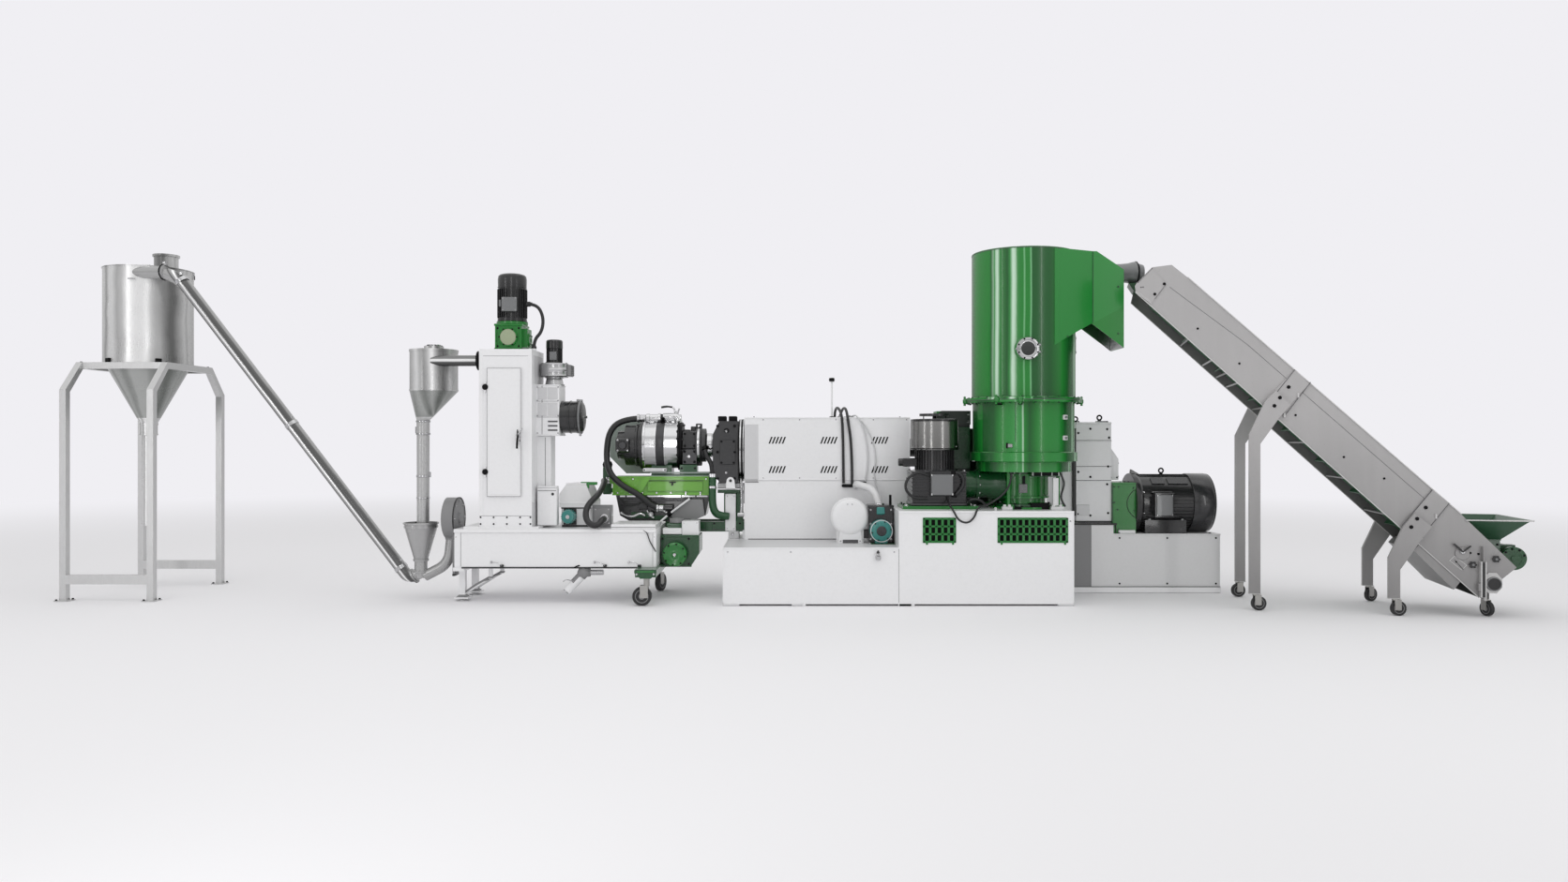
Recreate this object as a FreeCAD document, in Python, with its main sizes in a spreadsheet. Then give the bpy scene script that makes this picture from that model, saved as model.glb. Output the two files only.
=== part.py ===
import FreeCAD, Part
import Sketcher
import math
import os
import re

# Plastic recycling and pelletizing line, millimetres.
# X runs along the line, Y goes from the operator side to the back, Z is up.
# The work frame has its zero at the floor, at the front face of the machine base.

doc = FreeCAD.newDocument("pelletizing_line")
V = FreeCAD.Vector
nodes = []

# Sizes
SIZES = [
    # where the whole line's middle lies in the work frame
    ("mid_x", -154.47), ("mid_y", 385.52),
    # machine base
    ("base_left", -542), ("base_step", 1021), ("base_right", 2575), ("base_front", 0),
    ("base_back", 1500), ("low_top", 517), ("high_top", 842), ("vent_deep", 60),
    ("vent_low", 559), ("vent_high", 787), ("small_vent_left", 1233),
    ("small_vent_right", 1529), ("large_vent_left", 1897), ("large_vent_right", 2525),
    # machine cover over the barrel
    ("cover_left", -379), ("cover_right", 1210), ("cover_front", 800), ("cover_back", 1430),
    ("cover_seam", 1079), ("cover_top", 1693), ("seam_wide", 8), ("seam_deep", 6),
    ("vent_rod_x", 474), ("vent_rod_r", 9), ("vent_rod_top", 2060), ("bulb_r", 24),
    # screw axis
    ("axis_deep", 1115), ("screw_high", 1400), ("barrel_r", 90), ("thrust_left", 2640),
    # pelletizing head, on the head axis
    ("head_high", 1425), ("changer_left", -690), ("changer_right", -442),
    ("changer_front", 855), ("changer_back", 1375), ("changer_low", 1060),
    ("changer_high", 1660), ("barrel_flange_r", 300), ("neck_r", 105), ("neck_left", -772),
    ("clamp_r", 165), ("clamp_left", -860), ("die_left", -998), ("die_front", 1000),
    ("die_back", 1230), ("die_low", 1240), ("die_high", 1560), ("die_flange_left", -1027),
    ("die_flange_r", 218), ("housing_left", -1377), ("housing_r", 228), ("seat_gap", 0.3),
    ("fitting_r", 38), ("fitting_high", 1692), ("motor_ring_left", -1415),
    ("motor_ring_r", 230), ("cutter_left", -1560), ("cutter_r", 200), ("cutter_end", -1638),
    ("cutter_end_r", 140), ("guard_x", -1470), ("guard_r", 285), ("guard_front", 1290),
    ("guard_back", 1340),
    # carriage, slide and guide frame under the head
    ("carriage_left", -1669), ("carriage_right", -733), ("carriage_front", 920),
    ("carriage_back", 1310), ("carriage_low", 940), ("carriage_high", 1119),
    ("slide_front", 940), ("slide_back", 1290), ("slide_low", 681), ("slide_foot_left", -1500),
    ("slide_foot_right", -1000), ("beam_low", 584), ("beam_left", -1090), ("beam_wide", 60),
    ("beam_near", 930), ("beam_far", 1240), ("post_left", -585), ("post_wide", 110),
    ("stand_left", -644), ("stand_right", -433), ("stand_low", 985),
    # water tank
    ("tank_left", -2971), ("tank_right", -1155), ("tank_front", 150), ("tank_back", 950),
    ("tank_low", 324), ("tank_rim", 661), ("tank_wall", 5), ("deck_top", 671), ("deck_over", 6),
    ("plinth_left", -2895), ("plinth_right", -2217), ("plinth_back", 700), ("plinth_top", 690),
    ("leg_left", -2985), ("leg_wide", 56), ("leg_front", 320), ("leg_rear", 724),
    ("foot_plate", 130), ("foot_low", 22), ("foot_high", 35), ("screw_r", 16),
    # trolley under the tank's right end
    ("trolley_left", -1316), ("trolley_right", -1131), ("trolley_front", -60),
    ("trolley_back", 1020), ("trolley_low", 262), ("pump_left", -1148), ("pump_right", -790),
    ("pump_front", 480), ("pump_back", 860), ("pump_low", 296), ("pump_high", 582),
    ("pump_motor_x", -1011), ("pump_motor_high", 417), ("pump_motor_r", 107),
    # dryer
    ("dryer_left", -2756), ("dryer_right", -2281), ("dryer_front", 170), ("dryer_back", 650),
    ("dryer_top", 2298), ("dryer_wall", 6), ("doorway_left", -2668), ("doorway_right", -2388),
    ("doorway_low", 985), ("doorway_high", 2106), ("door_left", -2684), ("door_right", -2374),
    ("door_low", 963), ("door_high", 2128), ("door_thick", 15), ("door_gap", 5),
    ("hinge_x", -2698), ("hinge_r", 12), ("pin_r", 6), ("pin_fit", 0.05),
    ("hinge_one", 1188), ("hinge_two", 1955),
    ("duct_right", -2070), ("duct_front", 350), ("duct_back", 620), ("duct_low", 1519),
    ("duct_high", 1984), ("column_right", -2160), ("drive_x", -2517), ("drive_y", 410),
    ("drive_top", 2540), ("flange_top", 2565), ("dryer_motor_r", 122), ("motor_seam", 2882),
    ("motor_top", 2999),
    ("fan_x", -2143), ("fan_y", 485), ("fan_neck_r", 72), ("volute_low", 2060),
    ("volute_high", 2186), ("volute_r", 127), ("fan_motor_r", 66), ("fan_motor_top", 2330),
    ("fan_top", 2405), ("port_high", 1690), ("port_r", 145), ("port_right", -1930),
    ("flap_right", -1880),
    # cyclone, funnel and blower
    ("cyclone_x", -3250), ("cyclone_y", 430), ("cyclone_r", 215), ("cyclone_low", 1928),
    ("cyclone_high", 2312), ("drop_x", -3350), ("drop_r", 59), ("cone_low", 1659),
    ("collar_low", 1524), ("drop_pipe_r", 57), ("drop_low", 690), ("dome_top", 2345),
    ("sheet", 3), ("duct_r", 39), ("inlet_y", 262), ("inlet_high", 2200),
    ("funnel_r", 149), ("funnel_high", 710), ("funnel_seam", 675), ("funnel_low", 352),
    ("tee_r", 58), ("tee_low", 200), ("pipe_r", 56),
    ("blower_x", -3070), ("blower_y", 420), ("blower_high", 754), ("blower_r", 183),
    ("blower_thick", 108),
    # silo
    ("silo_x", -6180), ("silo_y", 910), ("silo_r", 385), ("silo_low", 2206),
    ("silo_high", 3119), ("silo_neck_r", 76), ("silo_neck_high", 1640),
    ("silo_neck_low", 1522), ("silo_pipe_r", 59), ("silo_pipe_low", 646),
    ("lid_thick", 6), ("lid_box", 155), ("tube", 60), ("side_left", -6600),
    ("side_right", -5800), ("stand_front", 280), ("stand_back", 1540), ("stand_bend", 1939),
    ("beam_front", 515), ("beam_back", 1305), ("cross_low", 155), ("cross_high", 240),
    # compactor
    ("drum_x", 2242), ("drum_y", 530), ("drum_r", 475), ("drum_wall", 8), ("drum_flange", 536),
    ("drum_split", 1841), ("drum_rim", 3206), ("drum_lid", 8), ("pot_r", 466),
    ("pot_wall", 12), ("pot_ring_low", 1282), ("pot_ring_high", 1361), ("pot_ring_r", 492),
    ("pot_base_r", 436), ("pot_low", 1186), ("bearing_r", 202), ("bearing_plate_r", 300),
    ("pillar_r", 17), ("pillar_ring", 340), ("pillar_turn", -35), ("sight_x", 2175),
    ("sight_high", 2292), ("sight_r", 100), ("sight_bore", 75), ("sight_front", 25),
    ("hood_near", 93), ("hood_mouth_near", 290), ("hood_fold_x", 2428),
    ("hood_bend_x", 2828), ("hood_right", 3112), ("hood_mouth_far", 686), ("hood_wall", 5),
    ("hood_tall", 886),
    ("plate_left", 1090), ("plate_right", 1790), ("plate_front", 300), ("plate_back", 760),
    ("plate_top", 869), ("bell_left", 1180), ("bell_right", 1674), ("bell_front", 330),
    ("bell_back", 730), ("bell_top", 1186), ("mixer_x", 1410), ("mixer_r", 170),
    ("mixer_seam", 1388), ("mixer_fan_r", 222), ("mixer_top", 1669), ("cap_low", 1700),
    ("cap_top", 1722), ("cap_r", 140), ("guard_left", 1466), ("guard_right", 1779),
    ("belt_guard_front", 770), ("belt_guard_back", 1000), ("belt_guard_top", 1753),
    # main drive
    ("box_left", 2840), ("box_wide", 341), ("box_front", 900), ("box_back", 1330),
    ("box_top", 1650), ("step_top", 670), ("guard_long", 234), ("bed_right", 4210),
    ("bed_front", 830), ("bed_back", 1400), ("bed_top", 571), ("main_high", 858),
    ("main_r", 270), ("main_fan_r", 285), ("main_flange", 55), ("main_long", 505),
    ("cowl_long", 205), ("foot_long", 400),
    # conveyor: its own frame is turned about Z and leans by the slope
    ("belt_x", 4095), ("belt_y", -211), ("belt_turn", 15), ("slope", 44.1),
    ("head_u", -992), ("head_z", 2798), ("belt_wide", 780), ("side_thick", 6),
    ("roller_r", 91.7), ("belt_in", 92), ("belt_out", 100), ("belt_n", 170),
    ("belt_start", 190), ("belt_end", 3540), ("belt_edge", 60), ("leg_deep", 42),
    ("collar_thick", 12), ("leg_bottom", 142),
    # casters: the conveyor's and the trolley's
    ("wheel_r", 62), ("wheel_wide", 32), ("trail", 26), ("big_wheel_r", 85),
    ("big_wheel_wide", 42), ("big_trail", 41), ("axle_r", 6), ("axle_fit", 0.05),
]

sheet = doc.addObject("Spreadsheet::Sheet", "sheet")
for row, (word, value) in enumerate(SIZES, start=1):
    sheet.set("A%d" % row, word)
    sheet.set("B%d" % row, str(value))
    sheet.setAlias("B%d" % row, word)
doc.recompute()
WORDS = {word for word, value in SIZES}


def size(word):
    return float(sheet.get(word))


def ex(text):
    """An expression on the sheet: every known word is read from it."""
    text = str(text)
    return re.sub(r"[a-z_]+[a-z_0-9]*", lambda m: "sheet." + m.group(0)
                  if m.group(0) in WORDS else m.group(0), text)


counter = [0]


def fresh(stem):
    counter[0] += 1
    return "%s_%d" % (stem, counter[0])


# Makers
def block(x, y, z):
    """A box between two values on each axis, each a number or a sheet expression."""
    made = doc.addObject("Part::Box", fresh("block"))
    for prop, axis, (low, high) in (("Length", "x", x), ("Width", "y", y), ("Height", "z", z)):
        made.setExpression(prop, ex("(%s) - (%s)" % (high, low)))
        made.setExpression("Placement.Base." + axis, ex(low))
    return made


TURNS = {"X": FreeCAD.Rotation(V(0, 1, 0), 90), "Y": FreeCAD.Rotation(V(1, 0, 0), -90),
         "Z": FreeCAD.Rotation()}


def rod(axis, centre, span, radius, top_radius=None):
    """A cylinder, or a cone, along one axis from span[0] to span[1]."""
    kind = "Part::Cylinder" if top_radius is None else "Part::Cone"
    made = doc.addObject(kind, fresh("rod"))
    made.Placement = FreeCAD.Placement(V(), TURNS[axis])
    made.setExpression("Height", ex("(%s) - (%s)" % (span[1], span[0])))
    if top_radius is None:
        made.setExpression("Radius", ex(radius))
    else:
        made.setExpression("Radius1", ex(radius))
        made.setExpression("Radius2", ex(top_radius))
    base = {"X": (span[0], centre[0], centre[1]), "Y": (centre[0], span[0], centre[1]),
            "Z": (centre[0], centre[1], span[0])}[axis]
    for letter, value in zip("xyz", base):
        made.setExpression("Placement.Base." + letter, ex(value))
    return made


def fuse(*items):
    if len(items) == 1:
        return items[0]
    made = doc.addObject("Part::MultiFuse", fresh("fuse"))
    made.Shapes = list(items)
    return made


def cut(base, *tools):
    made = doc.addObject("Part::Cut", fresh("cut"))
    made.Base = base
    made.Tool = fuse(*tools)
    return made


def group(*items):
    made = doc.addObject("Part::Compound", fresh("group"))
    made.Links = list(items)
    return made


def shaped(shape):
    """A shape that the primitives can't give, set in code from the sheet's sizes."""
    made = doc.addObject("Part::Feature", fresh("shaped"))
    made.Shape = shape
    return made


def prism(points, axis, low, high):
    """A polygon pushed along Y (points are x, z) or along Z (points are x, y)."""
    if axis == "Y":
        corners = [V(a, low, b) for a, b in points]
        way = V(0, high - low, 0)
    elif axis == "X":
        corners = [V(low, a, b) for a, b in points]
        way = V(high - low, 0, 0)
    else:
        corners = [V(a, b, low) for a, b in points]
        way = V(0, 0, high - low)
    face = Part.Face(Part.makePolygon(corners + corners[:1]))
    return face.extrude(way)


def bar(start, end, radius):
    start, end = V(*start), V(*end)
    return Part.makeCylinder(radius, (end - start).Length, start, end - start)


def route(points):
    """Straight runs joined by tangent arcs, through the route's corners."""
    points = [V(*p) for p in points]
    edges = []
    last = points[0]
    for i in range(1, len(points) - 1):
        back = points[i - 1] - points[i]
        ahead = points[i + 1] - points[i]
        half = (math.pi - back.getAngle(ahead)) / 2
        radius = 0.45 * min(back.Length, ahead.Length) / math.tan(half)
        reach = radius * math.tan(half)
        back.normalize()
        ahead.normalize()
        one = points[i] + back * reach
        two = points[i] + ahead * reach
        inward = back + ahead
        inward.normalize()
        middle = points[i] + inward * (radius / math.cos(half) - radius)
        edges.append(Part.LineSegment(last, one).toShape())
        edges.append(Part.Arc(one, middle, two).toShape())
        last = two
    edges.append(Part.LineSegment(last, points[-1]).toShape())
    return Part.Wire(edges)


def tube(points, radius):
    """A round bar swept along a route."""
    path = route(points)
    start, after = V(*points[0]), V(*points[1])
    ring = Part.Wire(Part.Circle(start, after - start, radius).toShape())
    return path.makePipeShell([ring], True, False)


def sketch_body(label, points, length, plane="XZ_Plane", start=("0", "0", "0")):
    """A body padded from a polygon sketch whose corners are bound to the sheet."""
    body = doc.addObject("PartDesign::Body", label + "_body")
    flat = [f for f in body.Origin.OriginFeatures if f.Role == plane][0]
    sketch = body.newObject("Sketcher::SketchObject", label + "_sketch")
    sketch.AttachmentSupport = [(flat, "")]
    sketch.MapMode = "FlatFace"
    values = [(doc_value(a), doc_value(b)) for a, b in points]
    count = len(points)
    for i in range(count):
        a, b = values[i], values[(i + 1) % count]
        sketch.addGeometry(Part.LineSegment(V(a[0], a[1], 0), V(b[0], b[1], 0)), False)
    for i in range(count):
        sketch.addConstraint(Sketcher.Constraint("Coincident", i, 2, (i + 1) % count, 1))
    for i, (a, b) in enumerate(points):
        for letter, text, value in (("X", a, values[i][0]), ("Y", b, values[i][1])):
            if abs(value) < 1e-9:
                axis = -2 if letter == "X" else -1
                sketch.addConstraint(Sketcher.Constraint("PointOnObject", i, 1, axis))
                continue
            name = "c%s%d" % (letter, i)
            place = sketch.addConstraint(
                Sketcher.Constraint("Distance" + letter, -1, 1, i, 1, value))
            sketch.renameConstraint(place, name)
            sketch.setExpression("Constraints." + name, ex(text))
    pad = body.newObject("PartDesign::Pad", label + "_pad")
    pad.Profile = sketch
    pad.setExpression("Length", ex(length))
    pad.Reversed = plane == "XZ_Plane"
    for letter, value in zip("xyz", start):
        body.setExpression("Placement.Base." + letter, ex(value))
    doc.recompute()
    return body


def doc_value(text):
    """The number that a sheet expression stands for now."""
    words = re.sub(r"[a-z_]+[a-z_0-9]*", lambda m: "size('%s')" % m.group(0), str(text))
    return measure(words)


def measure(words):
    """Adds up a sum of plain terms: numbers and size('word'), with + and - between."""
    total = 0.0
    for sign, term in re.findall(r"([+-]?)\s*(size\('\w+'\)|[0-9.]+)", words):
        number = size(term[6:-2]) if term.startswith("size") else float(term)
        total += -number if sign == "-" else number
    return total


def finish(made, label):
    """Names a sub-part and moves it from the work frame to the middle of the line."""
    holder = group(made)
    holder.setExpression("Placement.Base.x", ex("-mid_x"))
    holder.setExpression("Placement.Base.y", ex("-mid_y"))
    holder.Label = label
    nodes.append(holder)
    return holder


# Silo and its stand
def stand_side(x):
    """One side frame: two legs, their leaning tops and the beam between them."""
    low, high = size("stand_front"), size("stand_back")
    wide = size("tube")
    bend, top = size("stand_bend"), size("silo_low")
    inner, outer = size("beam_front"), size("beam_back")
    outline = [(low, 0), (low + wide, 0), (low + wide, bend - 20), (inner + 15, top - wide),
               (outer - 15, top - wide), (high - wide, bend - 20), (high - wide, 0), (high, 0),
               (high, bend), (outer, top), (inner, top), (low, bend)]
    return prism(outline, "X", x, x + wide)


left, right, wide = size("side_left"), size("side_right"), size("tube")
stand = [shaped(stand_side(left - wide / 2)), shaped(stand_side(right - wide / 2))]
for near in ("beam_front", "beam_back - tube"):
    stand.append(block(("side_left", "side_right"), (near, near + " + tube"),
                       ("silo_low - tube", "silo_low")))
for near in ("stand_front", "stand_back - tube"):
    stand.append(block(("side_left", "side_right"), (near, near + " + tube"),
                       ("cross_low", "cross_high")))
hip, neck_high = size("silo_r") - 22, size("silo_neck_high")
seat_low = size("silo_low") - 6
silo_middle = V(size("silo_x"), size("silo_y"), neck_high)
seat = Part.makeCone(size("silo_neck_r") + 0.3, hip + 0.3, seat_low - neck_high, silo_middle)
seat = seat.fuse(Part.makeCylinder(hip + 0.3, 30, silo_middle + V(0, 0, seat_low - neck_high)))
finish(cut(fuse(*stand), shaped(seat)), "silo_stand")


def revolve(profile, x, y):
    """Turns an (r, z) outline about the upright line through x, y."""
    corners = [V(x + r, y, z) for r, z in profile]
    face = Part.Face(Part.makePolygon(corners + corners[:1]))
    return face.revolve(V(x, y, 0), V(0, 0, 1), 360)


def silo_shape():
    """Shell, cone, neck collar and outlet pipe of one sheet thickness."""
    thick, outer = size("sheet"), size("silo_r")
    low, high = size("silo_low"), size("silo_high")
    neck, neck_high = size("silo_neck_r"), size("silo_neck_high")
    neck_low, pipe = size("silo_neck_low"), size("silo_pipe_r")
    hip = outer - 22
    out = [(outer, high), (outer, low + 0.3), (hip, low + 0.3), (hip, low - 6),
           (neck, neck_high), (neck, neck_low), (pipe, neck_low),
           (pipe, size("silo_pipe_low"))]
    inner = [(pipe - thick, size("silo_pipe_low")), (pipe - thick, neck_high - 20),
             (hip - thick, low + 4), (outer - thick, low + 4), (outer - thick, high)]
    return revolve(out + inner, size("silo_x"), size("silo_y"))


finish(shaped(silo_shape()), "silo_shell")

LID_BOX = ("silo_x + 170", "silo_y")
lid = fuse(rod("Z", ("silo_x", "silo_y"), ("silo_high", "silo_high + lid_thick"),
               "silo_r + 8"),
           rod("Z", LID_BOX, ("silo_high + lid_thick", "silo_high + lid_box - 20"), "105"),
           rod("Z", LID_BOX, ("silo_high + lid_box - 20", "silo_high + lid_box"), "118"),
           block(("silo_x - 60", "silo_x + 20"), ("silo_y - 40", "silo_y + 40"),
                 ("silo_high + lid_thick", "silo_high + 60")))
finish(lid, "silo_lid")

# Conveying pipework
PIPE_ROUTE = [(-6160, 597, 3056), (-5690, 500, 3048), (-3479, 430, 190), (-3350, 430, 262)]
pipe = tube(PIPE_ROUTE, size("pipe_r"))
silo_hole = Part.makeCylinder(size("silo_r") + 0.3, 2000, V(size("silo_x"), size("silo_y"), 2000))
inlet, knee, tee = (V(*PIPE_ROUTE[i]) for i in range(3))
flange = Part.makeCylinder(size("pipe_r") + 9, 44, inlet + (knee - inlet) * 0.71, knee - inlet)
ring = Part.makeCylinder(72, 16, tee + V(39, 0, 21), V(0.873, 0, 0.488))


def funnel_shape():
    """The open feed funnel above its tee, of sheet thickness."""
    x, y = size("drop_x") - 20, size("cyclone_y")
    thick = size("sheet")
    rim, high = size("funnel_r"), size("funnel_high")
    seam, low, neck = size("funnel_seam"), size("funnel_low"), size("tee_r")
    out = [(rim + 6, high), (rim + 6, high - 10), (rim, high - 10), (rim, seam), (neck, low),
           (neck, size("tee_low"))]
    inner = [(0, size("tee_low")), (0, low - 10), (neck - thick, low), (rim - thick, seam),
             (rim - thick, high)]
    return revolve(out + inner, x, y)


blower_pipe = tube([(-3330, 430, 215), (-3110, 425, 330), (-3085, 425, 560)], 50)
finish(shaped(pipe.fuse([flange, ring]).cut(silo_hole).fuse([funnel_shape(), blower_pipe])),
       "conveying_pipe")


def blower_shape():
    """The fan's flat round casing, its stand and its hub."""
    x, y, z = size("blower_x"), size("blower_y"), size("blower_high")
    thick, radius = size("blower_thick"), size("blower_r")
    wheel = Part.makeCylinder(radius, thick, V(x - thick / 2, y, z), V(1, 0, 0))
    foot = Part.makeBox(22, 240, z - 235, V(x + thick / 2 - 22, y - 120, 235))
    throat = Part.makeBox(thick - 10, 150, 200, V(x - thick / 2 + 5, y - 75, 560))
    hub = Part.makeCylinder(30, 14, V(x + thick / 2, y, z), V(1, 0, 0))
    reach = size("tank_left") - 17.3 - (x + thick / 2)
    bracket = Part.makeBox(reach + 1, 46, 80, V(x + thick / 2 - 1, 325, 240))
    return wheel.fuse([foot, throat, hub, bracket]).cut(blower_pipe)


finish(shaped(blower_shape()), "blower")


def cyclone_shape():
    """The cyclone's shell with its domed top, leaning cone, collar and drop pipe."""
    x, y, thick = size("cyclone_x"), size("cyclone_y"), size("sheet")
    radius, low, high = size("cyclone_r"), size("cyclone_low"), size("cyclone_high")
    drop, drop_r = size("drop_x"), size("drop_r")
    cone_low, collar, tip = size("cone_low"), size("collar_low"), size("drop_low")

    def solid(inset):
        body = Part.makeCylinder(radius - inset, high - low - inset, V(x, y, low))
        top = Part.Wire(Part.Circle(V(x, y, low), V(0, 0, 1), radius - inset).toShape())
        end = Part.Wire(Part.Circle(V(drop, y, cone_low), V(0, 0, 1), drop_r - inset).toShape())
        cone = Part.makeLoft([top, end], True)
        reach = 40 if inset else 0
        neck = Part.makeCylinder(drop_r - inset, cone_low - collar - reach,
                                 V(drop, y, collar + reach))
        return body.fuse([cone, neck])

    fall = Part.makeCylinder(size("drop_pipe_r"), collar - tip + 40, V(drop, y, tip))
    fall_bore = Part.makeCylinder(size("drop_pipe_r") - thick, collar - tip + 43,
                                  V(drop, y, tip - 2))
    inlet_y, inlet_z = size("inlet_y"), size("inlet_high")
    reach = size("dryer_left") - x
    inlet = Part.makeCylinder(size("duct_r"), reach, V(x, inlet_y, inlet_z), V(1, 0, 0))
    flange = Part.makeCylinder(86, 14, V(size("dryer_left") - 14, inlet_y, inlet_z), V(1, 0, 0))
    dome = Part.makeCylinder(88, size("dome_top") - high, V(x, y, high))
    whole = solid(0).fuse([fall, inlet, flange, dome])
    return whole.cut(solid(thick).fuse(fall_bore))


finish(shaped(cyclone_shape()), "cyclone")

# Water tank
tank_box = cut(block(("tank_left", "tank_right"), ("tank_front", "tank_back"),
                     ("tank_low", "tank_rim")),
               block(("tank_left + tank_wall", "tank_right - tank_wall"),
                     ("tank_front + tank_wall", "tank_back - tank_wall"),
                     ("tank_low + tank_wall", "tank_rim + 1")))
tank_parts = [tank_box,
              block(("tank_left - 17", "tank_left + 85"), ("tank_front", "tank_back"),
                    ("tank_low - 33", "tank_low"))]
for near in ("leg_front", "leg_rear"):
    middle_x, middle_y = "leg_left + leg_wide / 2", near + " + leg_wide / 2"
    tank_parts.append(block(("leg_left", "leg_left + leg_wide"), (near, near + " + leg_wide"),
                            ("foot_high - 1", "tank_low - 33")))
    tank_parts.append(block((middle_x + " - foot_plate / 2", middle_x + " + foot_plate / 2"),
                            (middle_y + " - foot_plate / 2", middle_y + " + foot_plate / 2"),
                            ("foot_low", "foot_high")))
    tank_parts.append(rod("Z", (middle_x, middle_y), ("0", "foot_low"), "screw_r"))
    y = size(near) + size("leg_wide") / 2
    tank_parts.append(shaped(bar((size("leg_left") + 40, y, 60), (-2700, y, 216), 14)))
    tank_parts.append(block(("-2716", "-2684"), (middle_y + " - 16", middle_y + " + 16"),
                            ("200", "tank_low")))
tank_parts += [rod("Z", ("-1810", "205"), ("238", "tank_low"), "52"),
               rod("X", ("205", "275"), ("-1800", "-1645"), "22"),
               shaped(bar((-1815, 205, 268), (-1965, 205, 108), 40))]
finish(fuse(*tank_parts), "water_tank")
finish(fuse(block(("tank_left - deck_over", "tank_right"),
                  ("tank_front - deck_over", "tank_back + deck_over"),
                  ("tank_rim", "deck_top")),
            block(("plinth_left", "plinth_right"), ("tank_front + 8", "plinth_back"),
                  ("deck_top", "plinth_top"))), "tank_deck")

trolley = fuse(block(("trolley_left", "trolley_right"), ("trolley_front", "trolley_back"),
                     ("trolley_low", "tank_low")),
               block(("tank_right + seat_gap", "tank_right + 60"),
                     ("tank_back - 40", "trolley_back - 10"),
                     ("tank_low - 10", "slide_low")),
               shaped(prism([(size("pump_left"), size("pump_low")), (-870, size("pump_low")),
                             (size("pump_right"), 420), (size("pump_right"), size("pump_high")),
                             (size("pump_left"), size("pump_high"))], "Y",
                            size("pump_front"), size("pump_back"))),
               rod("Y", ("pump_motor_x", "pump_motor_high"), ("pump_front - 100", "pump_front"),
                   "pump_motor_r"),
               block(("-1091", "-805"), ("pump_front + 40", "pump_back - 10"),
                     ("pump_high", "690")))
finish(trolley, "trolley_frame")

# Dryer
cabinet = cut(block(("dryer_left", "dryer_right"), ("dryer_front", "dryer_back"),
                    ("plinth_top", "dryer_top")),
              block(("dryer_left + dryer_wall", "dryer_right - dryer_wall"),
                    ("dryer_front + dryer_wall", "dryer_back - dryer_wall"),
                    ("plinth_top + dryer_wall", "dryer_top - dryer_wall")),
              block(("doorway_left", "doorway_right"), ("dryer_front - 5", "dryer_front + 20"),
                    ("doorway_low", "doorway_high")))
cabinet_parts = [cabinet,
                 block(("dryer_right", "duct_right"), ("duct_front", "duct_back"),
                       ("duct_low", "duct_high")),
                 block(("dryer_right", "column_right"), ("duct_front + 50", "duct_back - 20"),
                       ("plinth_top", "duct_low")),
                 rod("Z", ("-2310", "380"), ("dryer_top", "dryer_top + 22"), "24")]
for middle in ("hinge_one", "hinge_two"):
    for low, high in ((" - 45", " - 26"), (" + 26", " + 45")):
        cabinet_parts.append(block(("hinge_x - 14", "hinge_x + 8"),
                                   ("dryer_front - 18", "dryer_front"),
                                   (middle + low, middle + high)))
    cabinet_parts.append(rod("Z", ("hinge_x", "dryer_front - 13"),
                             (middle + " - 45", middle + " + 45"), "pin_r"))
finish(fuse(*cabinet_parts), "dryer_cabinet")

door_parts = [block(("door_left", "door_right"),
                    ("dryer_front - door_gap - door_thick", "dryer_front - door_gap"),
                    ("door_low", "door_high")),
              block(("door_right - 34", "door_right - 2"), ("dryer_front - 32", "dryer_front - 19"),
                    ("1470", "1550")),
              block(("door_right - 26", "door_right - 10"), ("dryer_front - 52", "dryer_front - 31"),
                    ("1440", "1560"))]
for middle in ("hinge_one", "hinge_two"):
    door_parts.append(rod("Z", ("hinge_x", "dryer_front - 13"),
                          (middle + " - 25", middle + " + 25"), "hinge_r"))
    door_parts.append(block(("hinge_x", "hinge_x + 18"), ("dryer_front - 18", "dryer_front - 8"),
                            (middle + " - 25", middle + " + 25")))
bores = [rod("Z", ("hinge_x", "dryer_front - 13"), (middle + " - 30", middle + " + 30"),
             "pin_r + pin_fit") for middle in ("hinge_one", "hinge_two")]
finish(cut(fuse(*door_parts), *bores), "dryer_door")

finish(fuse(block(("-2642", "-2400"), ("280", "540"), ("dryer_top", "drive_top")),
            block(("-2400", "-2358"), ("330", "490"), ("dryer_top + 30", "drive_top - 40")),
            rod("Y", ("-2521", "2418"), ("268", "280"), "78"),
            rod("Z", ("drive_x", "drive_y"), ("drive_top", "flange_top"), "140")),
       "dryer_gearbox")
finish(fuse(rod("Z", ("drive_x", "drive_y"), ("flange_top", "motor_seam"), "dryer_motor_r"),
            rod("Z", ("drive_x", "drive_y"), ("motor_seam", "motor_top"),
                "dryer_motor_r - 5"),
            block(("-2569", "-2441"), ("255", "drive_y"), ("2656", "2775")),
            rod("X", ("drive_y", "2735"), ("drive_x", "drive_x + dryer_motor_r + 22"), "24")),
       "dryer_motor")
fan = fuse(rod("Z", ("fan_x", "fan_y"), ("duct_high", "volute_low"), "fan_neck_r"),
           rod("Z", ("fan_x", "fan_y"), ("volute_low", "volute_high"), "volute_r"),
           block(("fan_x + 30", "fan_x + 150"), ("fan_y - 20", "fan_y + 120"),
                 ("volute_low + 10", "volute_high - 10")),
           rod("Z", ("fan_x", "fan_y"), ("volute_high", "fan_motor_top"), "fan_motor_r"),
           rod("Z", ("fan_x", "fan_y"), ("fan_motor_top", "fan_top"), "fan_motor_r + 6"))
port = fuse(rod("X", ("fan_y", "port_high"), ("duct_right", "port_right"), "port_r"),
            rod("X", ("fan_y", "port_high"), ("port_right", "flap_right"), "port_r - 6"))
finish(group(fan, port), "exhaust_fan")

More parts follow.
